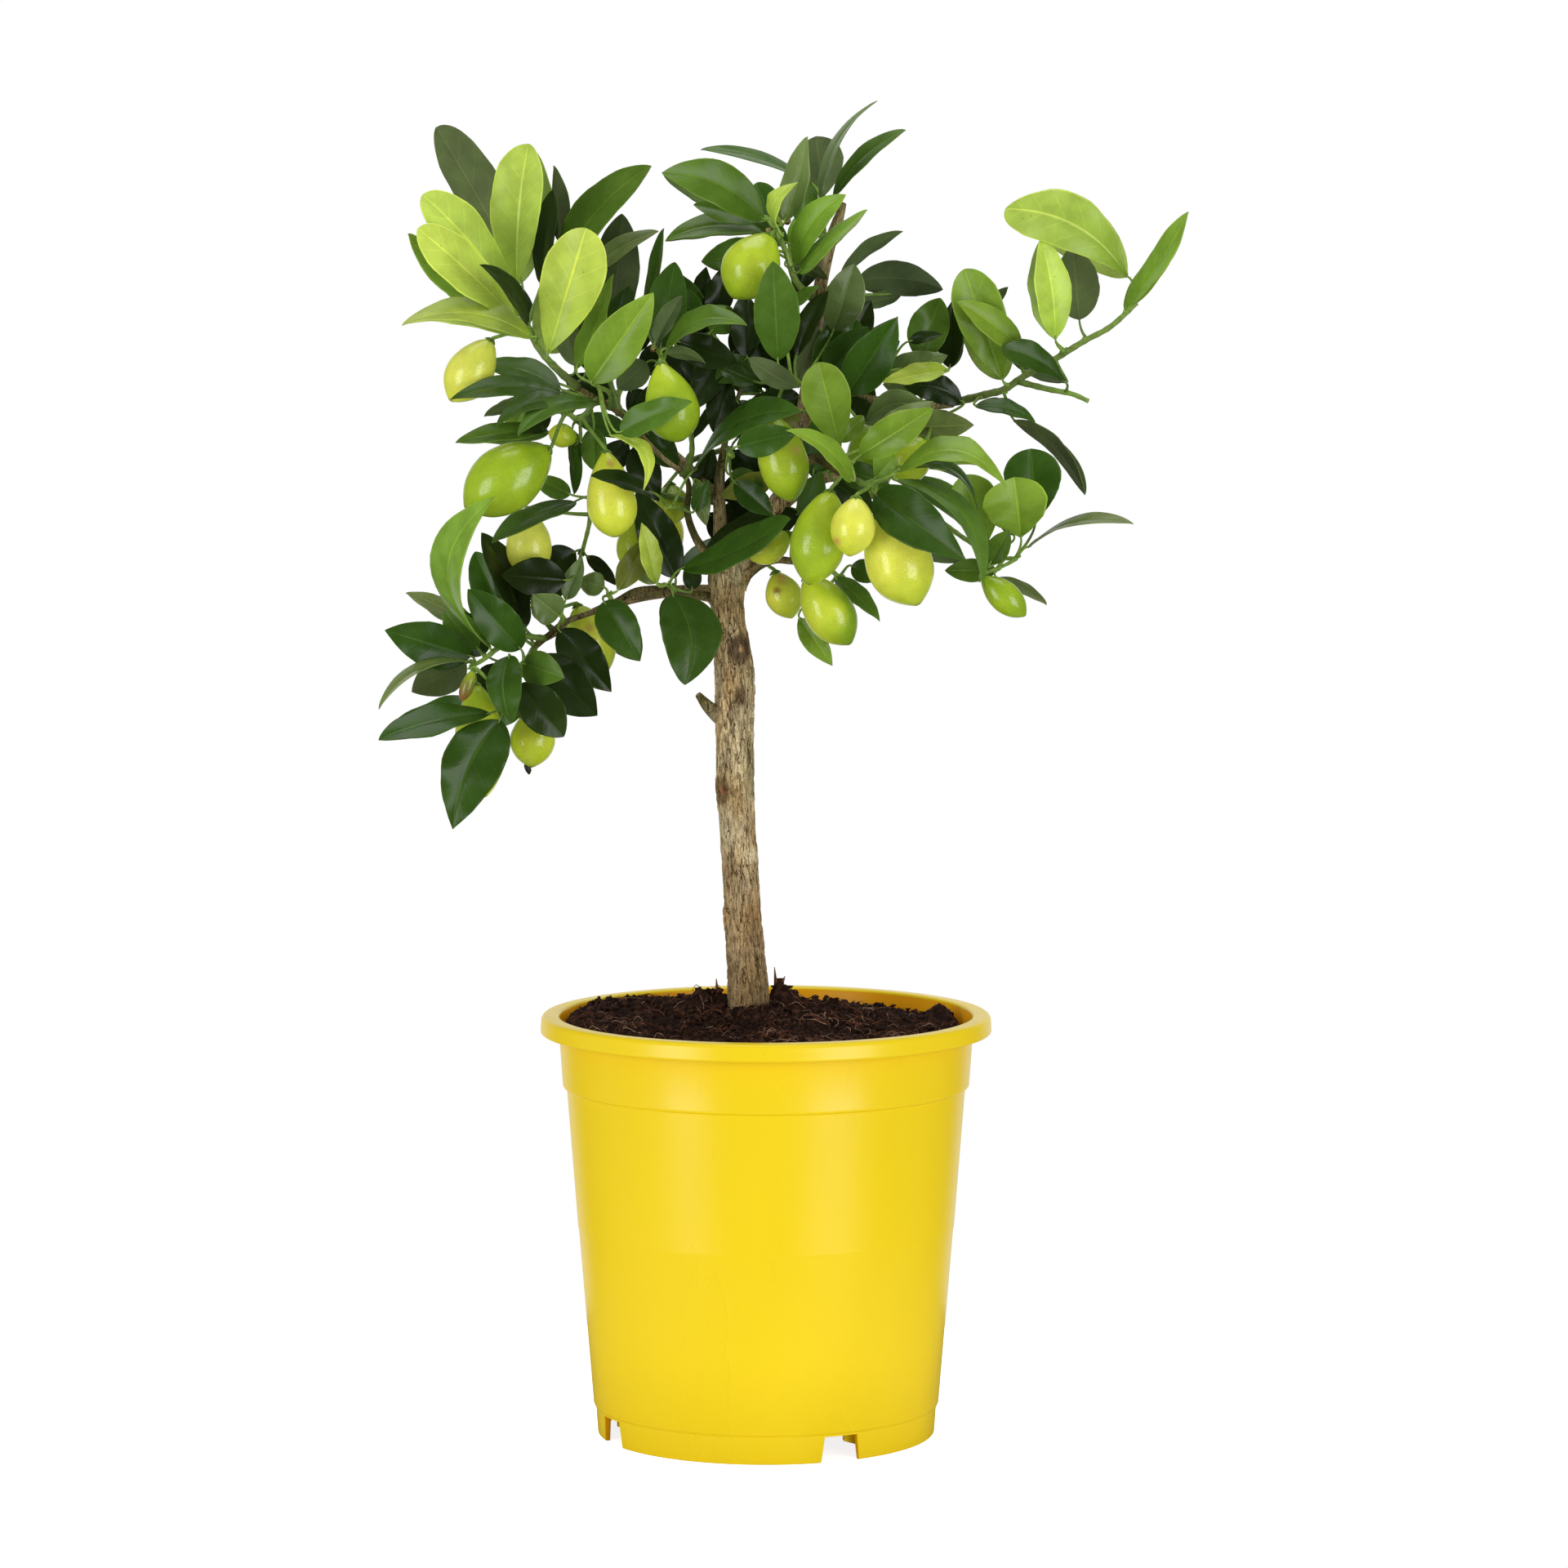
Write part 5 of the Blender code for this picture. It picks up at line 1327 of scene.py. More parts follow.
@dataclass(frozen=True)
class BarkFinish(Finish):
    """Dry bark: painted tan with dark grooves, with fibres that run up the trunk."""

    name: str = "bark"
    roughness: float = 0.88
    gloss: float = 0.25
    groove_tint: Row = (0.20, 0.15, 0.085)
    patch_stretch: Row = (1.0, 1.0, 0.3)
    fibre_stretch: Row = (1.0, 1.0, 0.15)
    wide_share: float = 0.95
    narrow_share: float = 0.72

    def build(self) -> Material:
        """Build the finish.

        Returns:
            The material.
        """
        material, draft, shader = self.start(self.name)
        where, patch = draft.place(), draft.place(self.patch_stretch)
        upright, colour = draft.place(self.fibre_stretch), draft.paint()
        grain = self.effect(draft, Effect.MOTTLE, Color=colour, Vector=where, Scale=1500.0, Spread=0.22)
        colour = grain.outputs["Color"]
        patches = self.effect(draft, Effect.MOTTLE, Color=colour, Vector=patch, Scale=150.0, Spread=0.20)
        colour = patches.outputs["Color"]
        wide = self.effect(draft, Effect.FISSURES, Vector=upright, Scale=300.0, Width=0.019).outputs[0]
        narrow = self.effect(draft, Effect.FISSURES, Vector=upright, Scale=820.0, Width=0.038).outputs[0]
        groove = draft.tinted(colour, self.groove_tint)
        colour = draft.mix(draft.times(narrow, self.narrow_share), colour, groove)
        colour = draft.mix(draft.times(wide, self.wide_share), colour, groove)
        cracks = draft.plus(wide, draft.times(narrow, 0.5))
        rough = self.effect(draft, Effect.RELIEF, Vector=upright, Scale=1800.0, Coarse_Share=1.0).outputs[0]
        height = draft.minus(draft.times(rough, 0.6), cracks)
        draft.fill(
            shader, Base_Color=colour, Normal=draft.bump(height, strength=0.9, depth=0.5),
            Roughness=self.roughness, Specular_IOR_Level=self.gloss,
        )
        return material


@dataclass(frozen=True)
class RindFinish(Finish):
    """Limequat rind: painted green to yellow, glossy, with oil pores, each painted paler as a small glint."""

    name: str = "limequat_rind"
    roughness: float = 0.24
    coat: float = 0.45
    coat_roughness: float = 0.16
    pores_per_metre: float = 820.0
    pore_softness: float = 0.6
    pore_glint_tint: Row = (1.22, 1.16, 1.3)
    pore_glint_share: float = 0.34

    def build(self) -> Material:
        """Build the finish.

        Returns:
            The material.
        """
        material, draft, shader = self.start(self.name)
        where = draft.place()
        skin = self.effect(draft, Effect.MOTTLE, Color=draft.paint(), Vector=where, Scale=150.0, Spread=0.07)
        colour = skin.outputs["Color"]
        inputs = {"Vector": where, "Scale": self.pores_per_metre, "Smoothness": self.pore_softness}
        pores = draft.add("TexVoronoi", inputs, feature="SMOOTH_F1")
        dimple = draft.step(pores.outputs["Distance"], 0.12, 0.42)
        # The pores are painted paler and whiter: painted glints
        share = draft.times(draft.minus(1.0, dimple), self.pore_glint_share)
        colour = draft.mix(share, colour, draft.tinted(colour, self.pore_glint_tint))
        relief = self.effect(draft, Effect.RELIEF, Vector=where, Scale=500.0, Coarse_Share=1.0).outputs[0]
        height = draft.plus(dimple, draft.times(relief, 0.35))
        draft.fill(
            shader, Base_Color=colour, Normal=draft.bump(height, strength=0.55, depth=0.16),
            Roughness=self.roughness, Coat_Weight=self.coat, Coat_Roughness=self.coat_roughness,
        )
        return material


@dataclass(frozen=True)
class PotFinish(Finish):
    """Satin yellow moulded plastic with faint flow marks and rubbed spots."""

    name: str
    colour: Paint
    worn: Paint
    gloss: float
    glow_through: float
    roughness: float = 0.29
    wear: float = 0.05
    rub_share: float = 0.6
    flow_stretch: Row = (1.0, 1.0, 0.35)
    wave_stretch: Row = (1.0, 1.0, 0.25)
    glow_colour: Row = (1.0, 0.55, 0.1)
    glow_depth: float = 6.0

    def build(self) -> Material:
        """Build the finish.

        Returns:
            The material.
        """
        material, draft, shader = self.start(self.name)
        where, stretched = draft.place(), draft.place(self.flow_stretch)
        yellow, worn = self.colour.linear(), self.worn.linear()
        flow = self.effect(draft, Effect.MOTTLE, Color=yellow, Vector=stretched, Scale=26.0, Spread=0.012)
        rubs = self.effect(draft, Effect.SPECKS, Vector=where, Scale=130.0, Size=0.07).outputs[0]
        colour = draft.mix(draft.times(rubs, self.rub_share), flow.outputs["Color"], worn)
        relief = self.effect(draft, Effect.RELIEF, Vector=where, Scale=420.0, Coarse_Share=2.0).outputs[0]
        waves = draft.cloud(draft.place(self.wave_stretch), 30.0, 1.0)
        height = draft.plus(draft.times(relief, 0.06), waves)
        uneven = draft.times(draft.minus(flow.outputs["Mask"], 0.5), self.wear)
        draft.fill(
            shader, Base_Color=colour, Roughness=draft.plus(uneven, self.roughness),
            Normal=draft.bump(height, strength=0.10, depth=0.8), Specular_IOR_Level=self.gloss,
            Subsurface_Weight=self.glow_through, Subsurface_Radius=self.glow_colour,
            Subsurface_Scale=self.glow_depth * MM,
        )
        return material


@dataclass(frozen=True)
class SoilFinish(Finish):
    """Damp potting soil: painted dark brown, crumbly and matt."""

    name: str = "potting_soil"
    roughness: float = 0.92
    gloss: float = 0.25
    thread_tint: Row = (3.0, 2.6, 2.5)
    thread_share: float = 0.6

    def build(self) -> Material:
        """Build the finish.

        Returns:
            The material.
        """
        material, draft, shader = self.start(self.name)
        where = draft.place()
        skin = self.effect(draft, Effect.MOTTLE, Color=draft.paint(), Vector=where, Scale=420.0, Spread=0.5)
        colour = skin.outputs["Color"]
        threads = self.effect(draft, Effect.FISSURES, Vector=where, Scale=330.0, Width=0.010).outputs[0]
        pale = draft.tinted(colour, self.thread_tint)
        colour = draft.mix(draft.times(threads, self.thread_share), colour, pale)
        relief = self.effect(draft, Effect.RELIEF, Vector=where, Scale=1100.0, Coarse_Share=1.6).outputs[0]
        draft.fill(
            shader, Base_Color=colour, Normal=draft.bump(relief, strength=1.0, depth=0.9),
            Roughness=self.roughness, Specular_IOR_Level=self.gloss,
        )
        return material


@dataclass(frozen=True)
class FloorFinish(Finish):
    """A white studio floor that keeps soft shadows and otherwise shows as white."""

    name: str = "studio_floor"
    glow: float = 0.85
    tone: Row = (0.92, 0.92, 0.92, 1.0)
    mirrored_tone: Row = (0.15, 0.15, 0.15, 1.0)

    def build(self) -> Material:
        """Build the finish.

        Returns:
            The material.
        """
        material, draft, shader = self.start(self.name)
        rays = draft.add("LightPath").outputs
        draft.fill(
            shader, Base_Color=draft.mix(rays["Is Glossy Ray"], self.tone, self.mirrored_tone),
            Roughness=1.0, Specular_IOR_Level=0.0, Emission_Color=(1.0, 1.0, 1.0, 1.0),
            Emission_Strength=draft.times(rays["Is Camera Ray"], self.glow),
        )
        return material


class Palette:
    """Every material of the plant, built once."""

    def __init__(self) -> None:
        """Build the materials."""
        self.leaf_top = LeafFinish(
            "leaf_top", rib=(2.1, 1.8, 1.9), rib_share=0.5, vein_share=0.16, edge_highlight_share=0.5,
            roughness=0.29, vein_height=-0.5,
        ).build()
        self.leaf_underside = LeafFinish(
            "leaf_underside", rib=(1.7, 1.5, 1.7), rib_share=0.55, vein_share=0.30, edge_highlight_share=0.25,
            roughness=0.60, vein_height=0.9,
        ).build()
        self.twig = TwigFinish().build()
        self.bark = BarkFinish().build()
        self.rind = RindFinish().build()
        self.pot = PotFinish("pot_yellow", POT_YELLOW, POT_WORN, gloss=0.5, glow_through=0.0).build()
        # The inside: the same plastic, painted deeper orange as painted bounce light
        self.pot_inside_bounce_lit = PotFinish(
            "pot_yellow_inside_bounce_lit", POT_INSIDE_BOUNCE_LIT, POT_STAINED, gloss=0.15, glow_through=0.35
        ).build()
        self.soil = SoilFinish().build()


# --------------------------------------------------------------------------------------------------
# Pot


@dataclass
class GrowersPot:
    """The round yellow pot: rolled rim, collar, tapered body with a faint step, foot and drained floor."""

    rim_top: float = 178.6
    rim_radius: float = 95.0
    rim_height: float = 7.4
    mouth_radius: float = 87.2
    collar_top_radius: float = 87.4
    collar_bottom_radius: float = 85.9
    collar_bottom: float = 148.3
    body_top_radius: float = 84.2
    body_bottom_radius: float = 73.3
    step_height: float = 88.0
    step_depth: float = 0.35
    foot_top: float = 12.2
    foot_top_radius: float = 72.3
    foot_radius: float = 71.5
    wall: float = 1.8
    floor_top: float = 13.4
    notch_width: float = 18.0
    notch_height: float = 11.0
    notch_angles: tuple[float, ...] = (-64.2, 25.8, 115.8, 205.8)
    lip_radius: float = 64.0
    lip_width: float = 6.0
    lip_height: float = 7.5
    drain_radius: float = 5.0
    drain_ring: float = 48.0
    drain_count: int = 6
    inside_round: float = 3.0
    mouth_round: float = 1.5
    rim_round: float = 2.2
    rim_edge_round: float = 0.7
    under_rim_round: float = 1.2
    collar_round: float = 1.0
    foot_round: float = 0.6
    lip_round: float = 0.4
    notch_slope: float = 1.6
    lip_slope: float = 2.0
    steps: int = 144
    smooth_below: float = 42.0

    def outer_radius(self, height: float) -> float:
        """The body's outer radius at a height between the foot and the collar."""
        share = (height - self.foot_top) / (self.collar_bottom - self.foot_top)
        return self.body_bottom_radius + (self.body_top_radius - self.body_bottom_radius) * share

    @staticmethod
    def corner(centre: Row, radius: float, start: float, end: float, count: int = 5) -> list[Row]:
        """Points (radius, height) along an arc between two angles, in degrees from outwards through up."""
        angles = [math.radians(start + (end - start) * index / (count - 1)) for index in range(count)]
        return [(centre[0] + radius * math.cos(a), centre[1] + radius * math.sin(a)) for a in angles]

    def profile(self) -> list[Row]:
        """The wall's profile: up the inside, over the rim, down the outside and under.

        Returns:
            The points as (radius, height).
        """
        rim_bottom = self.rim_top - self.rim_height
        step = self.outer_radius(self.step_height)
        inner_foot = self.outer_radius(self.foot_top) - self.wall
        points = [(0.0, self.floor_top)]
        r = self.inside_round
        points += self.corner((inner_foot - r, self.floor_top + r), r, -90.0, 0.0)
        points += [
            (self.outer_radius(self.collar_bottom) - self.wall, self.collar_bottom - 2.0),
            (self.collar_bottom_radius - self.wall, self.collar_bottom + 1.0),
            (self.collar_top_radius - self.wall, rim_bottom - 1.0),
            (self.mouth_radius - 0.9, rim_bottom + 2.2),
        ]
        r = self.mouth_round
        points += self.corner((self.mouth_radius + r, self.rim_top - r), r, 180.0, 90.0)
        r = self.rim_round
        points += self.corner((self.rim_radius - r, self.rim_top - r), r, 90.0, 0.0, 7)
        points += [(self.rim_radius + 0.25, rim_bottom + 1.2)]
        r = self.rim_edge_round
        points += self.corner((self.rim_radius - 0.45, rim_bottom + r), r, 0.0, -90.0, 4)
        points += [(self.collar_top_radius + 1.4, rim_bottom + 0.1)]
        r = self.under_rim_round
        points += self.corner((self.collar_top_radius + r, rim_bottom - 1.1), r, 90.0, 180.0, 4)
        points += [(self.collar_bottom_radius + 0.1, self.collar_bottom + 1.4)]
        centre = (self.collar_bottom_radius - 0.9, self.collar_bottom + 0.9)
        points += self.corner(centre, self.collar_round, 0.0, -70.0, 4)
        points += [
            (self.body_top_radius + 0.15, self.collar_bottom - 0.5),
            (self.body_top_radius, self.collar_bottom - 1.6),
            (step + self.step_depth, self.step_height + 1.2),
            (step + self.step_depth - 0.1, self.step_height + 0.2),
            (step - 0.05, self.step_height - 1.0),
            (self.body_bottom_radius, self.foot_top + 1.0),
            (self.body_bottom_radius - 0.3, self.foot_top + 0.2),
            (self.foot_top_radius, self.foot_top - 0.4),
        ]
        r = self.foot_round
        points += self.corner((self.foot_radius - r, r), r, 0.0, -90.0, 4)
        points += [
            (self.foot_radius - 2.2, 0.0),
            (self.foot_radius - 2.2, self.floor_top - self.wall),
            (0.0, self.floor_top - self.wall),
        ]
        return points

    def notch_cutter(self, angle: float) -> Object:
        """A wedge, wider at the bottom, that takes one notch out of the foot.

        Args:
            angle: Where round the foot it sits, in degrees.

        Returns:
            The wedge as an object.
        """
        shape = bmesh.new()
        bmesh.ops.create_cube(shape, size=1.0)
        for corner in shape.verts:
            half_width = self.notch_width / 2.0 - (0.0 if corner.co.z < 0.0 else self.notch_slope)
            radius = self.foot_radius + (6.0 if corner.co.x > 0.0 else -8.0)
            height = -2.0 if corner.co.z < 0.0 else self.notch_height
            corner.co = Vector((radius, math.copysign(half_width, corner.co.y), height)) * MM
        return self.tool(shape, math.radians(angle), Vector())

    def drain_cutter(self, number: int) -> Object:
        """A round pin that opens one drain hole in the floor.

        Args:
            number: The hole's number, counted round the pot.

        Returns:
            The pin as an object.
        """
        shape = bmesh.new()
        radius = self.drain_radius * MM
        bmesh.ops.create_cone(
            shape, cap_ends=True, segments=32, radius1=radius, radius2=radius, depth=12.0 * MM
        )
        angle = FULL_TURN * number / self.drain_count
        x, y = math.cos(angle) * self.drain_ring, math.sin(angle) * self.drain_ring
        return self.tool(shape, 0.0, Vector((x, y, self.floor_top - 1.0)))

    @staticmethod
    def tool(shape: bmesh.types.BMesh, turn: float, place: Vector) -> Object:
        """A cutter made from a shape, turned about the upright and set at a place from the pot's axis.

        Args:
            shape: The shape, which is used up.
            turn: How far it is turned, in radians.
            place: Where it goes.

        Returns:
            The cutter.
        """
        cutter = new_object("cutter", mesh_from(shape, "cutter"))
        cutter.rotation_euler.z = turn
        cutter.location = (place - PLANT_MIDDLE) * MM
        return cutter

    def lips(self) -> Object:
        """The short lips that hang from the pot's floor inside each notch, one on either side of it.

        Returns:
            All of the lips as one object.
        """
        shape = bmesh.new()
        for angle in self.notch_angles:
            for side in (-1.0, 1.0):
                plate = bmesh.ops.create_cube(shape, size=1.0)["verts"]
                for corner in plate:
                    slope = self.lip_slope if corner.co.y * side < 0.0 else 0.0
                    bottom = self.floor_top - 1.0 - self.lip_height + slope
                    along = side * (self.notch_width / 2.0 - 1.2) + corner.co.y * self.lip_width
                    height = bottom if corner.co.z < 0.0 else self.floor_top - 1.0
                    corner.co = Vector((self.lip_radius + corner.co.x * 1.6, along, height)) * MM
                turn = Matrix.Rotation(math.radians(angle), 3, "Z")
                bmesh.ops.rotate(shape, verts=plate, matrix=turn)
        bmesh.ops.bevel(shape, geom=shape.edges[:], offset=self.lip_round * MM, segments=2, affect="EDGES")
        return self.tool(shape, 0.0, Vector())

    def build(self, palette: Palette) -> Object:
        """Turn the wall, cut the notches and drain holes, add the lips, and dress it.

        Args:
            palette: The materials.

        Returns:
            The pot.
        """
        mesh = bpy.data.meshes.new("moulded_pot")
        places = [(radius * MM, 0.0, height * MM) for radius, height in self.profile()]
        mesh.from_pydata(places, [(index, index + 1) for index in range(len(places) - 1)], [])
        pot = new_object("moulded_pot", mesh)
        pot.location = -PLANT_MIDDLE * MM
        turn = pot.modifiers.new("turn", "SCREW")
        turn.steps = turn.render_steps = self.steps
        turn.use_merge_vertices = True
        turn.merge_threshold = 0.00001
        turn.use_normal_calculate = True
        cutters = [self.notch_cutter(angle) for angle in self.notch_angles]
        cutters += [self.drain_cutter(number) for number in range(self.drain_count)]
        for cutter in cutters:
            cut = pot.modifiers.new("cut", "BOOLEAN")
            cut.object = cutter
            cut.solver = "EXACT"
        join = pot.modifiers.new("lips", "BOOLEAN")
        join.operation = "UNION"
        join.object = self.lips()
        cutters.append(join.object)
        bpy.context.view_layer.update()
        bake_modifiers(pot)
        for cutter in cutters:
            bpy.data.objects.remove(cutter, do_unlink=True)
        pot.data.materials.clear()
        pot.data.materials.append(palette.pot)
        pot.data.materials.append(palette.pot_inside_bounce_lit)
        # Faces that look inwards below the rim take the inside finish with its painted bounce light
        for face in pot.data.polygons:
            middle = face.center / MM
            outwards = face.normal.x * middle.x + face.normal.y * middle.y > 0.0
            face.material_index = 0 if outwards or middle.z > self.rim_top - 0.8 else 1
        pot.data.shade_smooth()
        pot.data.set_sharp_from_angle(angle=math.radians(self.smooth_below))
        return attach(pot, "pot_yellow", "pot")


# --------------------------------------------------------------------------------------------------
# Root ball and soil


# Clods that stand up from the soil, from the pot's axis: (x, y, height, radius)
CLODS: tuple[Row, ...] = (
    (-28.0, 8.0, 9.0, 6.5), (-20.4, 7.0, 5.0, 2.2), (-16.0, 5.0, 4.5, 4.0), (4.6, 3.0, 8.0, 3.6),
    (9.5, 4.0, 6.0, 6.0), (15.0, 7.0, 2.5, 6.0), (31.0, 22.0, 4.5, 8.0), (74.0, 22.0, 6.0, 7.0),
    (-46.0, 30.0, 4.0, 24.0), (-66.0, 22.0, 2.5, 12.0), (14.0, -40.0, 1.8, 14.0), (-52.0, -30.0, 1.8, 16.0),
    (52.0, -20.0, 1.6, 13.0),
)
# Where coconut fibre lies in tufts, from the pot's axis
TUFTS: tuple[Row, ...] = ((18.0, -62.0), (60.0, -46.0), (-58.0, -40.0), (-4.0, -52.0), (34.0, -20.0))

# Splinters that stand by the trunk, from the pot's axis: (x, y, top height, lean)
SPLINTERS: tuple[Row, ...] = ((4.2, 2.5, 198.0, -0.6), (6.6, 3.5, 194.0, 1.4), (-20.6, 7.0, 192.5, -0.5))
FIBRE_PAINTS = (FIBRE_RED, FIBRE_RED, FIBRE_RED, FIBRE_DARK, FIBRE_DARK, FIBRE_TAN)


@dataclass
class RootBall:
    """The soil in the pot: a rough mound, loose crumbs, splinters and coconut fibres."""

    rim_radius: float = 84.6
    body_top_radius: float = 81.7
    body_bottom_radius: float = 70.6
    collar_bottom: float = 148.3
    bottom: float = 13.8
    edge_top: float = 173.6
    mound_top: float = 182.5
    trunk_place: tuple[float, float] = (-7.3, 0.0)
    rings: int = 108
    spokes: int = 400
    splinter: float = 0.9
    crumb_sizes: Row = (0.3, 0.4, 0.5, 0.6, 0.8, 1.2)
    fibre_lengths: Row = (3.0, 5.0, 7.0, 9.0, 14.0)
    crumbs: int = 3000
    fibres: int = 800
    seed: int = 11

    def height(self, x: float, y: float) -> float:
        """The smooth height of the soil's top.

        Args:
            x: How far right of the pot's axis the place is.
            y: How far behind it.

        Returns:
            The height.
        """
        out = math.hypot(x, y) / self.rim_radius
        swing = (x * 0.75 + y * 0.35) / self.rim_radius
        mound = math.exp(-((math.hypot(x + 2.0, y) / 34.0) ** 2))
        top = self.edge_top + 1.6 * out * out - 3.0 * swing * out + (self.mound_top - self.edge_top) * mound
        for clod_x, clod_y, rise, radius in CLODS:
            top += rise * math.exp(-((math.hypot(x - clod_x, y - clod_y) / radius) ** 2))
        return top - 3.0 * max(0.0, (out - 0.95) / 0.05) ** 2

    def surface(self, places: np.ndarray) -> np.ndarray:
        """The rough height of the soil at some places.

        Args:
            places: One line of x, y from the pot's axis for each place.

        Returns:
            One height for each place.
        """
        flat = np.column_stack([places, np.zeros(len(places))])
        smooth = np.array([self.height(x, y) for x, y in places])
        clods = ripple(flat, (0.09, 0.09, 0.0), 3.7) * 1.5
        lumps = np.abs(ripple(flat, (0.26, 0.26, 0.0), 9.1)) * 2.8
        grains = ripple(flat, (0.62, 0.62, 0.0), 5.3) * 1.3
        dust = ripple(flat, (1.3, 1.3, 0.0), 8.8) * 0.8
        return smooth + clods + lumps + grains + dust - 0.6

    def build_body(self, palette: Palette) -> Object:
        """The root ball as one closed lump with a rough top.

        Args:
            palette: The materials.

        Returns:
            The root ball.
        """
        draft = MeshDraft()
        angles = ring_angles(self.spokes)
        radii = np.linspace(0.6, self.rim_radius, self.rings)[:, None]
        places = np.stack([radii * np.cos(angles), radii * np.sin(angles)], axis=-1).reshape(-1, 2)
        top = np.column_stack([places, self.surface(places)])
        side = [
            (self.rim_radius - 0.5, self.collar_bottom + 1.0),
            (self.body_top_radius, self.collar_bottom - 3.0),
            (self.body_bottom_radius, self.bottom + 4.0),
            (self.body_bottom_radius - 3.5, self.bottom),
        ]
        wall = np.array([(r * math.cos(a), r * math.sin(a), z) for r, z in side for a in angles])
        share = np.clip(0.3 + 1.3 * ripple(top, (0.34, 0.34, 0.34), 2.0), 0.0, 1.0)[:, None]
        paint = blend(SOIL_DARK.array(), SOIL_WARM.array(), share)
        paint = np.concatenate([paint, np.broadcast_to(SOIL_DARK.array(), (len(wall), 4))])
        count = self.rings + len(side)
        faces = [tuple(face) for face in grid_faces(count, self.spokes, True)]
        faces.append(tuple(range(self.spokes)))
        faces.append(tuple(reversed(range((count - 1) * self.spokes, count * self.spokes))))
        draft.add(np.concatenate([top, wall]), faces, 0, paint)
        soil = draft.make("root_ball", [palette.soil])
        return attach(soil, "potting_soil", "potting_soil")

    def spot(self, rng: random.Random) -> tuple[float, float]:
        """A random place on the soil, a little oftener near the trunk.

        Args:
            rng: The source of its place.

        Returns:
            Its x and y from the pot's axis.
        """
        while True:
            out = self.rim_radius * 0.965 * math.sqrt(rng.random()) * (1.0 if rng.random() < 0.75 else 0.5)
            angle = rng.uniform(0.0, FULL_TURN)
            x, y = out * math.cos(angle), out * math.sin(angle)
            if math.hypot(x - self.trunk_place[0], y - self.trunk_place[1]) > 9.5:
                return x, y

    def build_crumbs(self, palette: Palette) -> Object:
        """Loose angular crumbs of soil lying on the mound.

        Args:
            palette: The materials.

        Returns:
            The crumbs.
        """
        rng = random.Random(self.seed)
        shape = bmesh.new()
        bmesh.ops.create_icosphere(shape, subdivisions=1, radius=1.0)
        ball = np.array([vert.co[:] for vert in shape.verts])
        faces = [tuple(vert.index for vert in face.verts) for face in shape.faces]
        shape.free()
        draft = MeshDraft()
        places = np.array([self.spot(rng) for _ in range(self.crumbs)])
        for (x, y), z in zip(places, self.surface(places)):
            size = rng.choice(self.crumb_sizes) * rng.uniform(0.8, 1.2)
            jitter = np.array([rng.uniform(0.5, 1.5) for _ in ball])[:, None]
            stretch = np.array([rng.uniform(0.6, 1.5), rng.uniform(0.6, 1.5), rng.uniform(0.6, 1.2)])
            paint = blend(SOIL_DARK.array(), SOIL_WARM.array(), rng.random() ** 1.5)
            draft.add(ball * jitter * stretch * size + np.array([x, y, z + size * 0.4]), faces, 0, paint)
        return attach(draft.make("soil_crumbs", [palette.soil]), "potting_soil")

    def fibre_places(self, rng: random.Random, count: int) -> np.ndarray:
        """The places one fibre passes over: a gently turning line that starts in a tuft or anywhere.

        Args:
            rng: The source of its irregularities.
            count: How many places to give.

        Returns:
            One line of x, y for each place.
        """
        x, y = self.spot(rng)
        if rng.random() < 0.35:
            tuft_x, tuft_y = rng.choice(TUFTS)
            x, y = tuft_x + rng.gauss(0.0, 7.0), tuft_y + rng.gauss(0.0, 5.0)
        heading = rng.uniform(0.0, FULL_TURN)
        stride = rng.choice(self.fibre_lengths) * rng.uniform(0.7, 1.2) / (count - 1)
        bend = rng.uniform(-1.7, 1.7) / (count - 1)
        places = []
        for _ in range(count):
            out = max(1.0, math.hypot(x, y) / (self.rim_radius - 1.5))
            places.append((x / out, y / out))
            heading += bend + rng.uniform(-0.25, 0.25)
            x += math.cos(heading) * stride
            y += math.sin(heading) * stride
        return np.array(places)

    def build_fibres(self, palette: Palette) -> Object:
        """Coconut fibres and thin roots that curl over the soil, and the splinters by the trunk.

        Args:
            palette: The materials.

        Returns:
            The fibres and splinters.
        """
        rng = random.Random(self.seed + 1)
        draft = MeshDraft()
        for _ in range(self.fibres):
            places = self.fibre_places(rng, 6)
            lift = rng.uniform(0.2, 2.2)
            ground = self.surface(places)
            level = 0.5 * ground + 0.5 * ground.mean() + 0.5
            rise = lift * np.sin(np.linspace(0.0, math.pi, len(places)))
            thickness = rng.uniform(0.08, 0.22)
            path = [(Vector((x, y, z)), thickness) for (x, y), z in zip(places, level + rise)]
            Tube(path, 3).draw(draft, 0, rng.choice(FIBRE_PAINTS).array())
        for x, y, top, lean in SPLINTERS:
            foot = self.height(x, y) - 2.0
            shares = (0.0, 0.35, 0.7, 1.0)
            places = [Vector((x + lean * share, y, foot + (top - foot) * share)) for share in shares]
            path = [(place, self.splinter * (1.0 - 0.8 * share)) for place, share in zip(places, shares)]
            Tube(path, 5).draw(draft, 0, FIBRE_RED.array())
        return attach(draft.make("soil_fibres", [palette.soil]), "potting_soil")

    def build(self, palette: Palette) -> None:
        """Build all of the soil.

        Args:
            palette: The materials.
        """
        self.build_body(palette)
        self.build_crumbs(palette)
        self.build_fibres(palette)


# --------------------------------------------------------------------------------------------------
# Wood


@dataclass(frozen=True)
class BarkMark:
    """A knot or scar on the trunk's front: its place, its half sizes, how far it stands out, its colour."""

    x: float
    z: float
    half_width: float
    half_height: float
    swell: float
    colour: Paint


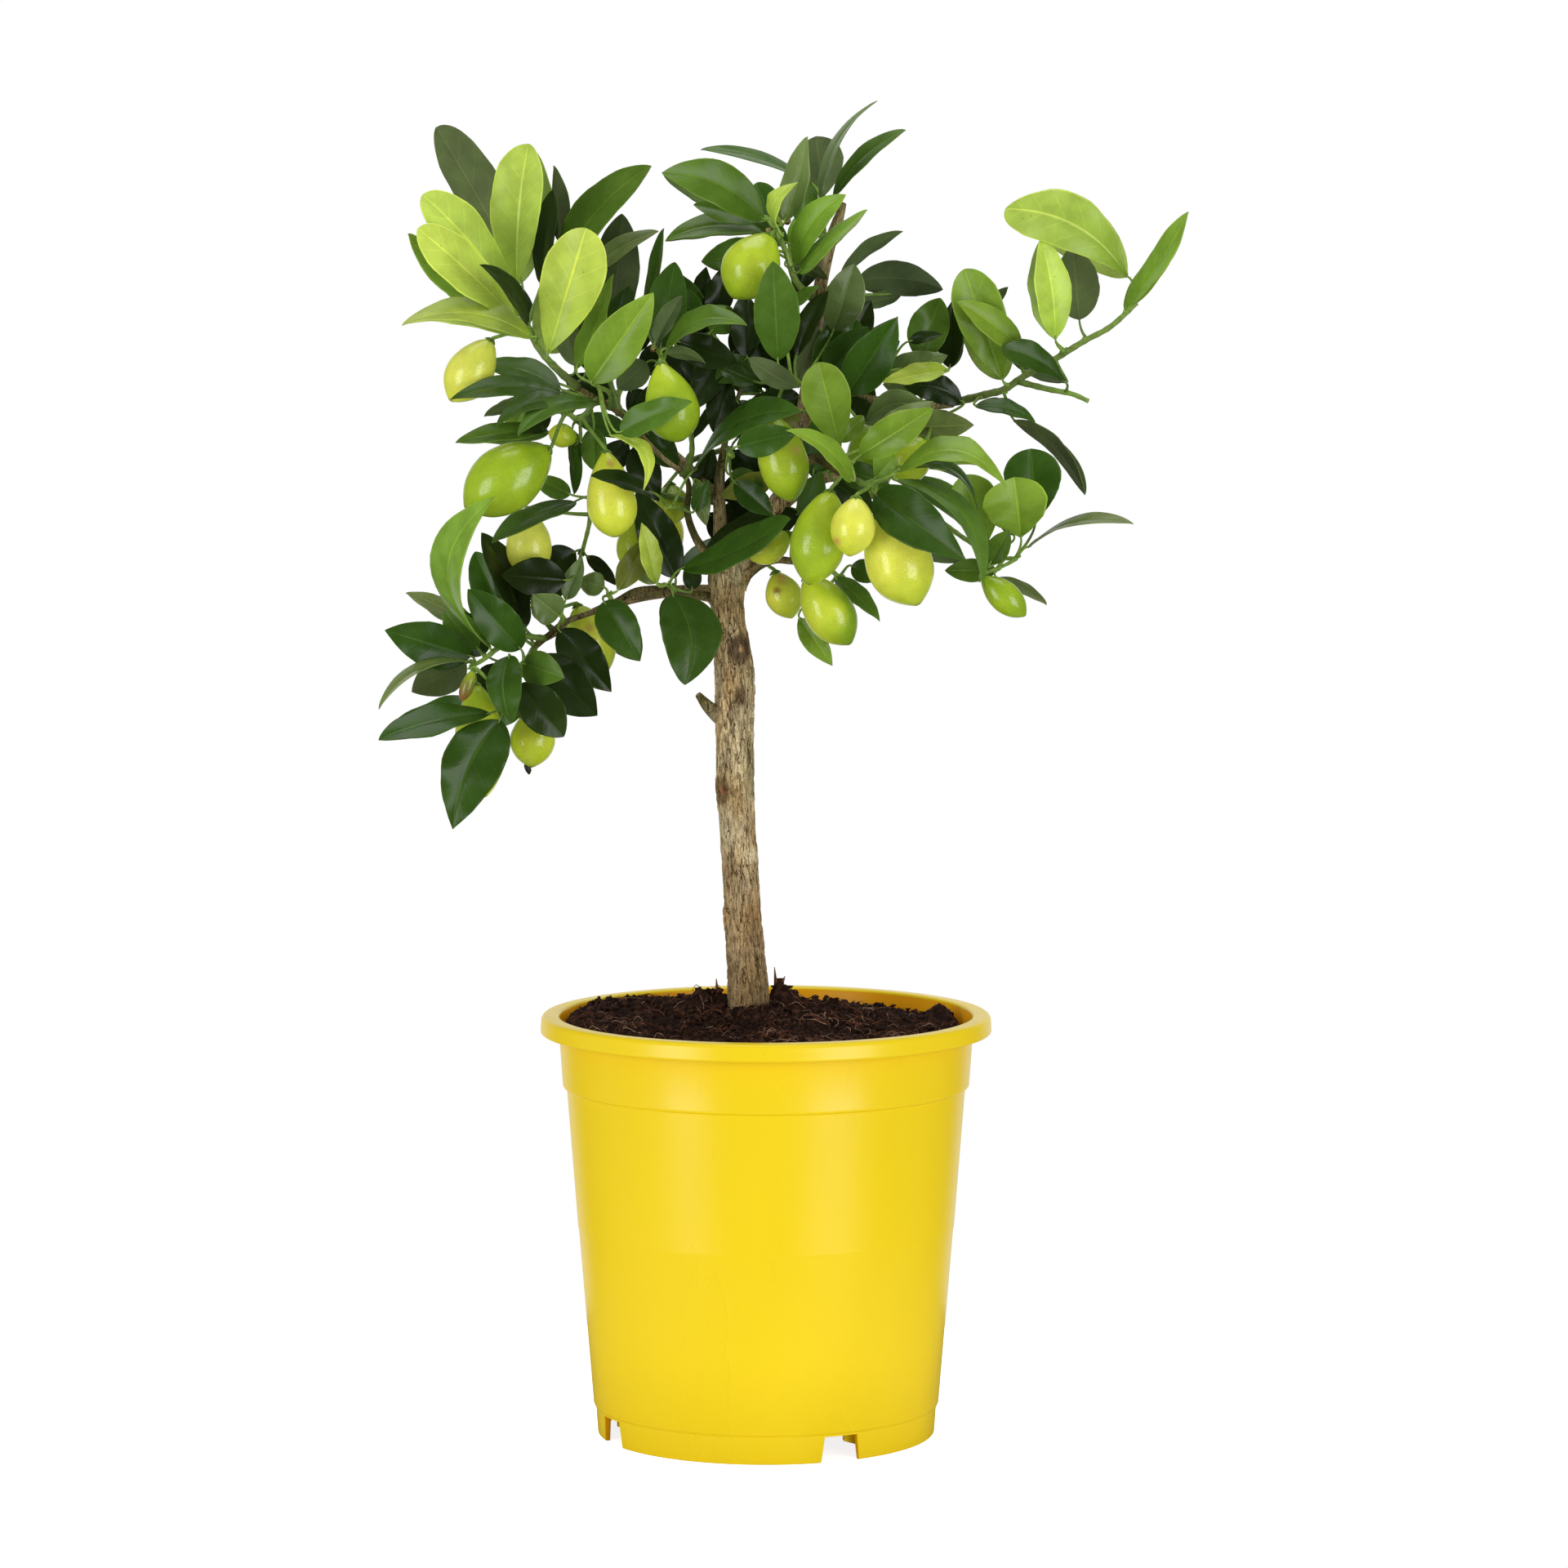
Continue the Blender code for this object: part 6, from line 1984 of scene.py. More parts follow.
BARK_MARKS: tuple[BarkMark, ...] = (
    BarkMark(-11.3, 333.0, 5.2, 6.8, -0.4, SCAR_BROWN),
    BarkMark(-10.3, 333.0, 1.2, 1.5, 0.3, BARK_TAN),
    BarkMark(-18.5, 273.0, 3.4, 6.5, 0.9, BARK_GROOVE),
    BarkMark(-17.5, 273.5, 1.4, 1.8, 0.4, BARK_RED),
    BarkMark(-10.8, 313.0, 2.6, 4.2, -0.2, BARK_GROOVE),
    BarkMark(-17.5, 219.0, 2.4, 4.0, 0.9, BARK_TAN),
    BarkMark(-6.0, 246.0, 3.0, 4.0, 0.6, BARK_PALE),
)


# Pruned twigs on the front of the limbs: (x, z, depth)
PRUNED_TWIGS: tuple[Row, ...] = (
    (-47.0, 459.0, -42.0), (1.0, 508.0, -22.0), (9.0, 512.0, -18.0), (25.0, 513.0, 6.0),
)


@dataclass
class WoodyFrame:
    """The trunk and its limbs: grooved bark on the thick wood, striped green bark on the thin."""

    trunk_sides: int = 104
    limb_sides: int = 24
    trunk_step: float = 1.0
    limb_step: float = 1.3
    groove_depth: float = 0.075
    groove_shade: float = 0.62
    lump: float = 0.06
    green_from: float = 4.6
    green_reach: float = 2.6
    flare: float = 0.35
    flare_reach: float = 5.0
    browning_top: float = 262.0
    browning_reach: float = 40.0
    browning_share: float = 0.5
    pruned_radius: float = 1.5
    pruned_way: Row = (0.1, -0.8, 0.5)

    def bark(self, path: Curve, sides: int, seed: float) -> tuple[np.ndarray, np.ndarray]:
        """The rough surface of one length of wood.

        Args:
            path: Its smooth path.
            sides: How many points go round it.
            seed: Shifts its pattern.

        Returns:
            Its rings of points, and the paint of each point.
        """
        plain = Tube(path, sides).rings()
        radii = np.array([radius for _, radius in path])
        centres = np.array([point for point, _ in path])[:, None]
        lengths = np.concatenate([[0.0], np.cumsum(np.linalg.norm(np.diff(centres[:, 0], axis=0), axis=1))])
        round_way = (plain - centres) / radii[:, None, None]
        sample = round_way * np.minimum(radii, 9.0)[:, None, None] * 1.15
        sample = sample + np.array([0.0, 0.0, 0.35]) * lengths[:, None, None]
        grooves = 1.0 - np.abs(ripple(sample, (0.42, 0.42, 0.42), seed)) * 2.6
        fine = 1.0 - np.abs(ripple(sample, (1.05, 1.05, 0.9), seed + 31.0)) * 2.2
        lumps = ripple(plain, (0.05, 0.05, 0.045), seed + 7.0)
        cut = (np.clip(grooves, 0.0, 1.0) ** 2 + 0.5 * np.clip(fine, 0.0, 1.0) ** 2).reshape(len(path), sides)
        thick = np.clip((radii - 2.0) / 6.0, 0.12, 1.0)[:, None]
        swell = 0.99 - self.groove_depth * cut * thick + self.lump * lumps.reshape(len(path), sides)
        points = centres + (plain - centres) * swell[:, :, None]
        mellow = np.clip(0.5 + ripple(plain, (0.09, 0.09, 0.05), seed + 17.0), 0.0, 1.0)[:, None]
        paint = blend(BARK_TAN.array(), BARK_PALE.array(), mellow)
        shade = np.clip(cut, 0.0, 1.0).reshape(-1, 1) * self.groove_shade
        young = np.repeat(np.clip((self.green_from - radii) / self.green_reach, 0.0, 1.0), sides)[:, None]
        green = young * np.clip(ripple(sample, (0.3, 0.3, 0.12), seed + 3.0) + 0.75, 0.0, 1.0)[:, None]
        moss = np.clip(ripple(plain, (0.06, 0.06, 0.03), seed + 13.0), 0.0, 1.0)[:, None]
        paint = blend(paint, BARK_MOSS.array(), moss)
        paint = blend(paint, TWIG_BROWN.array() * 0.8 + TWIG_GREEN.array() * 0.2, green)
        paint = blend(paint, BARK_GROOVE.array(), shade)
        # The wood is painted darker and browner towards the trunk's foot
        height = plain[:, :, 2].reshape(-1, 1)
        browning = np.clip((self.browning_top - height) / self.browning_reach, 0.0, 1.0) * self.browning_share
        return points, blend(paint, BARK_LOWER_BROWN.array(), browning)

    def mark_trunk(self, points: np.ndarray, paint: np.ndarray, centres: np.ndarray) -> None:
        """Press the knots and scars into the trunk's front and paint them.

        Args:
            points: The trunk's rings of points, changed in place.
            paint: The paint of each point, changed in place.
            centres: The middle of each ring.
        """
        sides = points.shape[1]
        for index in range(points.shape[0]):
            for side in range(sides):
                point = points[index, side]
                if point[1] > centres[index][1]:
                    continue
                x, z = front_place(Vector(point))
                for mark in BARK_MARKS:
                    out = math.hypot((x - mark.x) / mark.half_width, (z - mark.z) / mark.half_height)
                    if out >= 1.5:
                        continue
                    share = min(0.85, max(0.0, (1.15 - out) / 0.45))
                    rim = math.exp(-(((out - 1.15) / 0.18) ** 2)) * 0.5
                    away = (point - centres[index]) / np.linalg.norm(point - centres[index])
                    points[index, side] += away * (mark.swell * share + abs(mark.swell) * rim)
                    row = index * sides + side
                    paint[row] = blend(paint[row], mark.colour.array(), share)

    def cut_end(self, draft: MeshDraft, place: Vector, way: Vector, radius: float) -> None:
        """Add a pruned end: a pale disc of wood with darker rings, at the end of a twig.

        Args:
            draft: The mesh.
            place: Where the twig ends.
            way: The way it points.
            radius: Its radius.
        """
        path = [(place - way * 1.0, radius * 0.9), (place, radius * 1.02), (place + way * 0.5, radius * 0.96)]
        Tube(path, 16).draw(draft, 0, CUT_RING.array())
        path = [(place + way * 0.3, radius * 0.72), (place + way * 0.62, radius * 0.62)]
        Tube(path, 16).draw(draft, 0, CUT_WOOD.array())
        path = [(place + way * 0.5, radius * 0.26), (place + way * 0.72, radius * 0.2)]
        Tube(path, 10).draw(draft, 0, CUT_RING.array())

    def build(self, palette: Palette) -> Object:
        """Build the trunk, the limbs and the pruned ends as one piece.

        Args:
            palette: The materials.

        Returns:
            The wood.
        """
        draft = MeshDraft()
        path = smooth_path(limb_path(TRUNK), self.trunk_step)
        rings, paint = self.bark(path, self.trunk_sides, 1.0)
        self.mark_trunk(rings, paint, np.array([point for point, _ in path]))
        draft.add_bar(rings, 0, paint)
        for number, rows in enumerate(LIMBS.values(), 2):
            path = smooth_path(limb_path(rows), self.limb_step)
            flared = [
                (point, radius * (1.0 + self.flare * math.exp(-index * self.limb_step / self.flare_reach)))
                for index, (point, radius) in enumerate(path)
            ]
            rings, paint = self.bark(flared, self.limb_sides, number * 5.3)
            draft.add_bar(rings, 0, paint)
            last = path[-1][0]
            self.cut_end(draft, last, (last - path[-2][0]).normalized(), path[-1][1] * 0.9)
        for place in PRUNED_TWIGS:
            self.cut_end(draft, front_view(*place), Vector(self.pruned_way).normalized(), self.pruned_radius)
        wood = draft.make("wood", [palette.bark])
        return attach(wood, "bark", "trunk_and_limbs")


# --------------------------------------------------------------------------------------------------
# Leafy shoots


@dataclass
class LeafBlade:
    """One leaf blade from its petiole to its tip, thin, folded along its midrib and curled."""

    base: Vector
    tip: Vector
    showing: float
    arch: float
    tone: Tone
    side: Side
    rng: random.Random
    blunt: bool = False
    rows: int = 25
    plumpness: float = 0.40
    widest: float = 27.0
    thickness: float = 0.36
    neck_width: float = 1.5
    midrib_depth: float = 0.32
    midrib_width: float = 0.7
    quilt: float = 0.10
    edge_ripple: float = 0.012
    fine_ripple: float = 0.008
    columns: tuple[float, ...] = (-1.0, -0.92, -0.66, -0.36, -0.1, 0.0, 0.1, 0.36, 0.66, 0.92, 1.0)

    def __post_init__(self) -> None:
        """Draw the leaf's own irregularities."""
        rng = self.rng
        self.length = (self.tip - self.base).length
        calm = min(1.0, self.showing / min(self.widest, max(self.showing, self.plumpness * self.length)))
        self.fold = rng.uniform(0.14, 0.38) * (0.3 + 0.7 * calm)
        self.bow = rng.uniform(0.01, 0.09) * self.length * calm
        self.lopside = rng.uniform(-0.07, 0.07)
        self.twist = math.radians(rng.uniform(-14.0, 14.0))
        self.wave = rng.uniform(0.01, 0.045) * calm**2
        self.waves = rng.uniform(1.6, 3.2)
        self.phase = rng.uniform(0.0, FULL_TURN)
        self.tint = rng.uniform(0.80, 1.20)
        self.warmth = rng.uniform(-0.05, 0.08)
        self.rise = 0.95 if self.blunt else rng.uniform(0.54, 0.76)
        self.fall = 0.52 if self.blunt else rng.uniform(0.74, 0.98)

    def directions(self) -> tuple[Vector, Vector, float]:
        """How the blade lies in space, from how wide it shows from the front.

        Returns:
            The direction across it, the way its upper side faces, and its half width.
        """
        along = (self.tip - self.base).normalized()
        width = min(self.widest, max(self.showing, self.plumpness * self.length))
        turn = math.acos(min(1.0, self.showing / width))
        to_eye = (EYE - self.base).normalized()
        face = (to_eye - along * to_eye.dot(along)).normalized()
        across = along.cross(face)
        if across.z < 0.0:
            across = -across
        shows_underside = self.tone is Tone.GREY
        lean = 1.0 if shows_underside else -1.0
        turned = across * math.cos(turn) + face * math.sin(turn) * lean
        upper = turned.cross(along).normalized()
        if (upper.dot(face) > 0.0) is shows_underside:
            upper = -upper
        if self.side is Side.FAR and turn < 0.6:
            upper = -upper
        return upper.cross(along).normalized(), upper, width / 2.0

    def outline(self, share: np.ndarray) -> np.ndarray:
        """The half width at shares along the blade, as a share of the widest.

        Args:
            share: The shares, from the petiole to the tip.

        Returns:
            One half width for each.
        """
        peak = self.rise / (self.rise + self.fall)
        top = peak**self.rise * (1.0 - peak) ** self.fall
        return share**self.rise * (1.0 - share) ** self.fall / top

    def surface(self) -> tuple[np.ndarray, np.ndarray]:
        """The upper side of the blade.

        Returns:
            Its points, row by row, and the way each row faces.
        """
        across, upper, half_width = self.directions()
        share = (1.0 - np.cos(np.linspace(0.0, math.pi, self.rows))) / 2.0
        chord = self.tip - self.base
        lift = Vector((-chord.z, 0.0, chord.x)).normalized()
        if lift.z < 0.0:
            lift = -lift
        hump = (4.0 * share * (1.0 - share))[:, None]
        middle = np.array(self.base) + np.array(chord) * share[:, None]
        middle = middle + np.array(lift) * self.arch * hump + np.array(upper) * self.bow * hump
        angle = self.twist * (share - 0.5) * 2.0
        sideways = np.cos(angle)[:, None] * np.array(across) + np.sin(angle)[:, None] * np.array(upper)
        facing = np.cos(angle)[:, None] * np.array(upper) - np.sin(angle)[:, None] * np.array(across)
        u = np.array(self.columns)
        width = np.maximum(self.outline(share) * half_width, self.neck_width / 2.0 * (1.0 - share) + 0.12)
        wobble = 1.0 + self.edge_ripple * np.sin(share * 21.0 + self.phase)
        wobble = wobble + self.fine_ripple * np.sin(share * 47.0 + 2.0 * self.phase)
        reach = (width * wobble)[:, None] * u * (1.0 + self.lopside * np.sign(u))
        fold = self.fold * (np.abs(reach) - 0.45 * reach**2 / half_width)
        groove = -self.midrib_depth * np.exp(-((reach / self.midrib_width) ** 2))
        turn = FULL_TURN * self.waves * share[:, None] + self.phase + u * 0.8
        wavy = self.wave * self.length * np.sin(turn)
        wavy = wavy * np.abs(u) ** 2.2 * np.sin(math.pi * share)[:, None]
        rise = VEIN_COUNT * share[:, None] - VEIN_SLANT * np.abs(u)
        quilt = self.quilt * np.sin(FULL_TURN * rise)
        quilt = quilt * np.abs(u) * (1.0 - np.abs(u))
        height = (fold + groove + wavy + quilt)[:, :, None]
        return middle[:, None] + sideways[:, None] * reach[:, :, None] + facing[:, None] * height, facing

    def colours(self) -> tuple[np.ndarray, np.ndarray]:
        """The paint of the blade.

        Returns:
            The colours of the upper side and of the underside, point by point.
        """
        paints = LEAF_PAINTS[self.tone]
        share = np.linspace(0.0, 1.0, self.rows)[:, None, None]
        tint = np.array([self.tint * (1.0 + self.warmth), self.tint, self.tint * (1.0 - self.warmth), 1.0])
        mixed = blend(paints.petiole_end.array(), paints.tip_end.array(), np.clip(share * 1.25, 0.0, 1.0))
        shape = (self.rows, len(self.columns), 4)
        top = np.broadcast_to(mixed * tint, shape)
        under = np.broadcast_to(paints.under.array() * tint, shape)
        return top.reshape(-1, 4), under.reshape(-1, 4)

    def draw(self, draft: MeshDraft, top_slot: int, under_slot: int) -> None:
        """Add the blade to a mesh as a closed thin sheet.

        Args:
            draft: The mesh.
            top_slot: The number of the upper side's material.
            under_slot: The number of the underside's material.
        """
        top, facing = self.surface()
        under = top - facing[:, None] * self.thickness
        count = len(self.columns)
        total = self.rows * count
        share = np.linspace(0.0, 1.0, self.rows)[:, None]
        lot = self.rng.random()
        marks = np.stack(np.broadcast_arrays(share, np.array(self.columns), lot), axis=-1).reshape(-1, 3)
        top_paint, under_paint = self.colours()
        grid = grid_faces(self.rows, count, False)
        first = draft.add(top, [tuple(reversed(face)) for face in grid], top_slot, top_paint, marks)
        draft.add(under, [tuple(face) for face in grid], under_slot, under_paint, marks)
        left = [row * count for row in range(self.rows)]
        right = [row * count + count - 1 for row in range(self.rows)]
        edge = left + list(range(total - count + 1, total)) + right[-2::-1] + list(range(count - 2, 0, -1))
        for here, ahead in zip(edge, edge[1:] + edge[:1]):
            draft.faces.append((first + here, first + ahead, first + total + ahead, first + total + here))
            draft.slots.append(under_slot)


@dataclass
class LeafyShoot:
    """A green stem with its leaves, their petioles and the buds at their feet."""

    name: str
    rows: dict[str, tuple]
    side: Side
    nodes: tuple[str, ...]
    stem_radius: float = 1.15
    petiole_radius: float = 0.56
    bud_radius: float = 0.72
    knot: float = 0.16

    def turned_back(self, start_depth: float, spread: float) -> dict[str, tuple]:
        """The same shoot on the far side, turned front to back.

        Args:
            start_depth: The depth its stem starts at.
            spread: How deep it grows against the near one.

        Returns:
            Its stem and leaves.
        """
        near_depth = self.rows["stem"][0][2]

        def back(depth: float) -> float:
            """The depth on the far side of a near depth."""
            return start_depth - (depth - near_depth) * spread

        stem = tuple((x, z, back(depth)) for x, z, depth in self.rows["stem"])
        leaves = tuple(
            (*leaf[:2], back(leaf[2]), *leaf[3:5], back(leaf[5]), *leaf[6:]) for leaf in self.rows["leaves"]
        )
        return {"stem": stem, "leaves": leaves}

    def stem_paths(self, wood: Runs) -> list[Curve]:
        """The stem, rooted in the nearest wood, and the spur if it has one.

        Args:
            wood: The straight runs of the woody frame.

        Returns:
            One path for each.
        """
        stem = [front_view(*place) for place in self.rows["stem"]]
        stem.insert(0, nearest_on(wood, stem[0])[0])
        if (stem[1] - stem[0]).length < 2.5:
            del stem[1]
        last = len(stem) - 1
        radius = STEM_RADII.get(self.name.removeprefix("leafy_"), self.stem_radius)
        paths = [[(point, radius * (1.15 - 0.45 * index / last)) for index, point in enumerate(stem)]]
        spur = [front_view(*place) for place in self.rows.get("spur", ())]
        if spur:
            count = len(spur)
            paths.append([(point, radius * (0.9 - 0.4 * index / count)) for index, point in enumerate(spur)])
        return paths

    def draw_stem(self, draft: MeshDraft, path: Curve) -> None:
        """Add a stem with knots along it, brown at its foot and green at its tip.

        Args:
            draft: The mesh.
            path: The stem's path.
        """
        smooth = smooth_path(path, 1.6)
        knots = [
            (point, radius * (1.0 + self.knot * math.sin(index * 0.9) ** 8))
            for index, (point, radius) in enumerate(smooth)
        ]
        brown = min(0.85, 0.3 + (path[0][1] - 1.3) * 0.6)
        share = np.linspace(0.0, 1.3 - brown, len(smooth))[:, None]
        foot = blend(TWIG_GREEN.array(), TWIG_BROWN.array(), brown)
        paint = blend(foot, TWIG_YOUNG.array(), share)
        Tube(knots, 12).draw(draft, 2, paint)

    def draw_leaf(
        self, draft: MeshDraft, row: Row, foot: Vector, grain: Vector, rng: random.Random, blunt: bool
    ) -> None:
        """Add a leaf: bud, petiole and blade.

        Args:
            draft: The mesh.
            row: The leaf's row in the table.
            foot: Where it leaves the stem.
            grain: The stem's direction there.
            rng: The source of its irregularities.
            blunt: Whether its end is rounded.
        """
        x, z, depth, tip_x, tip_z, tip_depth, showing, arch, tone = row
        base = front_view(x, z, depth)
        tip = front_view(tip_x, tip_z, tip_depth)
        blade = LeafBlade(base, tip, showing, arch, Tone(tone), self.side, rng, blunt)
        blade.draw(draft, 0, 1)
        span = (base - foot).length
        along = (tip - base).normalized()
        way = (base - foot).normalized()
        if grain.dot(way) < 0.0:
            grain = -grain
        leave = foot + (way * 0.75 + grain * 0.25) * span * 0.35
        arrive = base - along * min(span * 0.35, 5.0)
        path: Curve = []
        for index in range(10):
            t = index / 9.0
            place = foot * (1 - t) ** 3 + leave * 3 * t * (1 - t) ** 2
            place = place + arrive * 3 * t**2 * (1 - t) + base * t**3
            path.append((place, self.petiole_radius * (1.35 - 0.6 * t)))
        path.append((base + along * 1.5, self.petiole_radius * 0.6))
        share = np.linspace(0.0, 1.0, len(path))[:, None]
        paint = blend(TWIG_YOUNG.array(), PETIOLE_GREEN.array(), share)
        if Tone(tone) in (Tone.DEEP, Tone.DARK, Tone.GREY):
            paint = paint * SHADED
        Tube(path, 8).draw(draft, 2, paint)
        bud = foot + way * (self.stem_radius * 0.9)
        path = [
            (bud + (grain * 0.7 + way * 0.3) * (index * 0.7), self.bud_radius * swell)
            for index, swell in enumerate((0.2, 0.75, 1.0, 0.8, 0.25))
        ]
        Tube(path, 7).draw(draft, 2, TWIG_YOUNG.array() * BUD_SHADE)

    def build(self, palette: Palette, wood: Runs) -> Object:
        """Build the shoot.

        Args:
            palette: The materials.
            wood: The straight runs of the woody frame.

        Returns:
            The shoot.
        """
        rng = random.Random(self.name)
        draft = MeshDraft()
        paths = self.stem_paths(wood)
        runs = runs_of(paths)
        blunt = BLUNT_LEAVES.get(self.name.removeprefix("leafy_"), ())
        for number, row in enumerate(self.rows["leaves"]):
            foot, _, grain = nearest_on(runs, front_view(*row[:3]), 0.06 + 0.013 * number)
            self.draw_leaf(draft, row, foot, grain, rng, number in blunt)
        for path in paths:
            self.draw_stem(draft, path)
        thing = draft.make(self.name, [palette.leaf_top, palette.leaf_underside, palette.twig])
        return attach(thing, "leaf_green", *self.nodes)


# --------------------------------------------------------------------------------------------------
# Fruit


@dataclass
class Limequat:
    """One fruit: an oval with a neck at the stalk and a small nipple, its calyx and its stalk."""

    number: int
    row: Row
    paint: FruitPaint
    rings: int = 42
    sides: int = 40
    profile: tuple[Row, ...] = (
        (0.0, 0.10), (0.02, 0.24), (0.07, 0.40), (0.15, 0.60), (0.26, 0.81), (0.38, 0.94), (0.50, 1.0),
        (0.61, 0.98), (0.72, 0.89), (0.82, 0.73), (0.90, 0.51), (0.95, 0.32), (0.98, 0.18), (1.0, 0.06),
    )
    necked_profile: tuple[Row, ...] = (
        (0.0, 0.14), (0.05, 0.28), (0.10, 0.40), (0.15, 0.51), (0.22, 0.65), (0.30, 0.78), (0.40, 0.89),
        (0.50, 0.96), (0.60, 1.0), (0.70, 0.98), (0.80, 0.88), (0.88, 0.70), (0.94, 0.48), (0.98, 0.26),
        (1.0, 0.08),
    )
    uneven: float = 0.05
    dents: float = 0.014
    ribs: float = 0.035
    rib_count: int = 8
    calyx_lobes: int = 5
    blemish_share: float = 0.85
    tip_share: float = 0.7

    def radius_shares(self) -> tuple[np.ndarray, np.ndarray]:
        """How the fruit swells from the stalk to the tip.

        Returns:
            Shares along the fruit, and the radius at each as a share of the widest.
        """
        share = (1.0 - np.cos(np.linspace(0.0, math.pi, self.rings))) / 2.0
        outline = self.necked_profile if self.number in NECKED_FRUIT else self.profile
        along = [point[0] for point in outline]
        across = [point[1] for point in outline]
        rough = np.interp(share, along, across)
        smooth = np.convolve(np.pad(rough, 2, mode="edge"), (0.1, 0.2, 0.4, 0.2, 0.1), mode="valid")
        smooth[0], smooth[-1] = across[0], across[-1]
        return share, smooth

    def body_points(self, top: Vector, tip: Vector, width: float) -> np.ndarray:
        """The rind's rings of points, a little uneven.

        Args:
            top: The stalk end.
            tip: The other end.
            width: The widest part.

        Returns:
            An array of rings, sides and x, y, z.
        """
        share, swell = self.radius_shares()
        path = [(top.lerp(tip, float(s)), max(0.02, width / 2.0 * float(r))) for s, r in zip(share, swell)]
        rings = Tube(path, self.sides).rings()
        centres = np.array([point for point, _ in path])[:, None]
        uneven = ripple(rings, (0.06, 0.06, 0.06), self.number * 4.1).reshape(rings.shape[:2])
        dents = ripple(rings, (0.22, 0.22, 0.22), self.number * 7.7).reshape(rings.shape[:2])
        neck = np.exp(-(((share - 0.06) / 0.07) ** 2))[:, None]
        ribs = np.cos(ring_angles(self.sides) * self.rib_count) * neck
        factor = 1.0 + self.uneven * uneven + self.dents * dents + self.ribs * ribs
        return centres + (rings - centres) * factor[:, :, None]

    def body_paint(self, rings: np.ndarray) -> np.ndarray:
        """The rind's colour: from stalk to tip, the right flank (partly painted shade and light) and
        blemishes.

        Args:
            rings: The rind's rings of points.

        Returns:
            One colour for each point.
        """
        share = self.radius_shares()[0][:, None, None]
        first = np.clip(share / 0.45, 0.0, 1.0)
        second = np.clip((share - 0.5) / 0.45, 0.0, 1.0)
        paint = blend(self.paint.stalk_end.array(), self.paint.middle.array(), first)
        paint = blend(paint, self.paint.tip_end.array(), second)
        paint = np.broadcast_to(paint, (*rings.shape[:2], 4)).copy()
        middle_x = rings[:, :, 0].mean()
        spread = np.abs(rings[:, :, 0] - middle_x).max()
        clouds = ripple(rings, (0.09, 0.09, 0.09), self.number * 2.3).reshape(rings.shape[:2])
        # The flank that faces right is painted another colour, partly the fruit's own and partly painted
        # shade and light
        flank = np.clip((rings[:, :, 0] - middle_x) / spread + 0.2 + clouds * 0.8, 0.0, 1.0)
        paint = blend(paint, self.paint.flank.array(), (flank * self.paint.flank_share)[:, :, None])
        tip_mark = np.clip((share - 0.972) / 0.02, 0.0, 1.0) * self.tip_share
        paint = blend(paint, TIP_BROWN.array(), tip_mark)
        self.add_blemishes(rings, paint)
        return paint.reshape(-1, 4)

    def add_blemishes(self, rings: np.ndarray, paint: np.ndarray) -> None:
        """Paint this fruit's marks on the side that faces the front.

        Args:
            rings: The rind's rings of points.
            paint: The colour of each point, changed in place.
        """
        middle_y = rings[:, :, 1].mean()
        for number, x, z, radius, colour in BLEMISHES:
            if number != self.number:
                continue
            for ring, side in np.ndindex(rings.shape[:2]):
                point = rings[ring, side]
                if point[1] > middle_y:
                    continue
                shown_x, shown_z = front_place(Vector(point))
                out = math.hypot(shown_x - x, shown_z - z) / radius
                share = min(1.0, max(0.0, 1.5 - out)) * self.blemish_share
                paint[ring, side] = blend(paint[ring, side], colour.array(), share)

    def draw_calyx(self, draft: MeshDraft, top: Vector, out: Vector) -> None:
        """Add the five-lobed calyx that grips the stalk end.

        Args:
            draft: The mesh.
            top: The stalk end.
            out: The way out of the fruit.
        """
        side = out.orthogonal().normalized()
        other = out.cross(side)
        for lobe in range(self.calyx_lobes):
            angle = FULL_TURN * lobe / self.calyx_lobes
            away = side * math.cos(angle) + other * math.sin(angle)
            path = [
                (top + out * 0.9, 0.55),
                (top + out * 0.55 + away * 1.1, 0.62),
                (top + out * 0.05 + away * 2.1, 0.42),
                (top - out * 0.35 + away * 2.8, 0.12),
            ]
            Tube(path, 7).draw(draft, 1, CALYX_GREEN.array())

    def draw_dried_style(self, draft: MeshDraft, tip: Vector, out: Vector) -> None:
        """Add the dried remains of the flower that cling to the tip.

        Args:
            draft: The mesh.
            tip: The tip of the fruit.
            out: The way from the tip to the stalk.
        """
        aside = Vector((-1.0, -0.4, 0.0))
        path = [
            (tip + out * 2.8 + aside * 1.9, 0.6), (tip + out * 0.8 + aside * 1.6, 1.3),
            (tip - out * 1.2 + aside * 0.8, 1.3), (tip - out * 2.8 + aside * 0.5, 0.4),
        ]
        Tube(smooth_path(path, 0.5), 9).draw(draft, 1, DRIED_BROWN.array())

    def build(self, palette: Palette, hangers: Runs) -> Object:
        """Build the fruit.

        Args:
            palette: The materials.
            hangers: The straight runs that a stalk may grow from.

        Returns:
            The fruit.
        """
        x, z, tip_x, tip_z, depth, width = self.row
        top = front_view(x, z, depth)
        tip = front_view(tip_x, tip_z, depth)
        draft = MeshDraft()
        rings = self.body_points(top, tip, width)
        draft.add_bar(rings, 0, self.body_paint(rings))
        out = (top - tip).normalized()
        self.draw_calyx(draft, top, out)
        if self.number == WITHERED_FRUIT:
            self.draw_dried_style(draft, tip, out)
        foot = nearest_on(hangers, top)[0]
        stalk = [(top - out * 0.6, 0.95), (top + out * 1.4, 0.8), (foot.lerp(top, 0.35), 0.75), (foot, 0.95)]
        if (foot - top).length < 4.0:
            stalk = [(top - out * 0.6, 0.95), (top + out * 1.4, 0.9), (foot, 0.9)]
        Tube(smooth_path(stalk, 1.0), 9).draw(draft, 1, CALYX_GREEN.array() * 0.5 + TWIG_YOUNG.array() * 0.5)
        thing = draft.make(f"fruit_{self.number:02d}", [palette.rind, palette.twig])
        return attach(thing, "limequat_rind", f"limequat_{self.number:02d}")


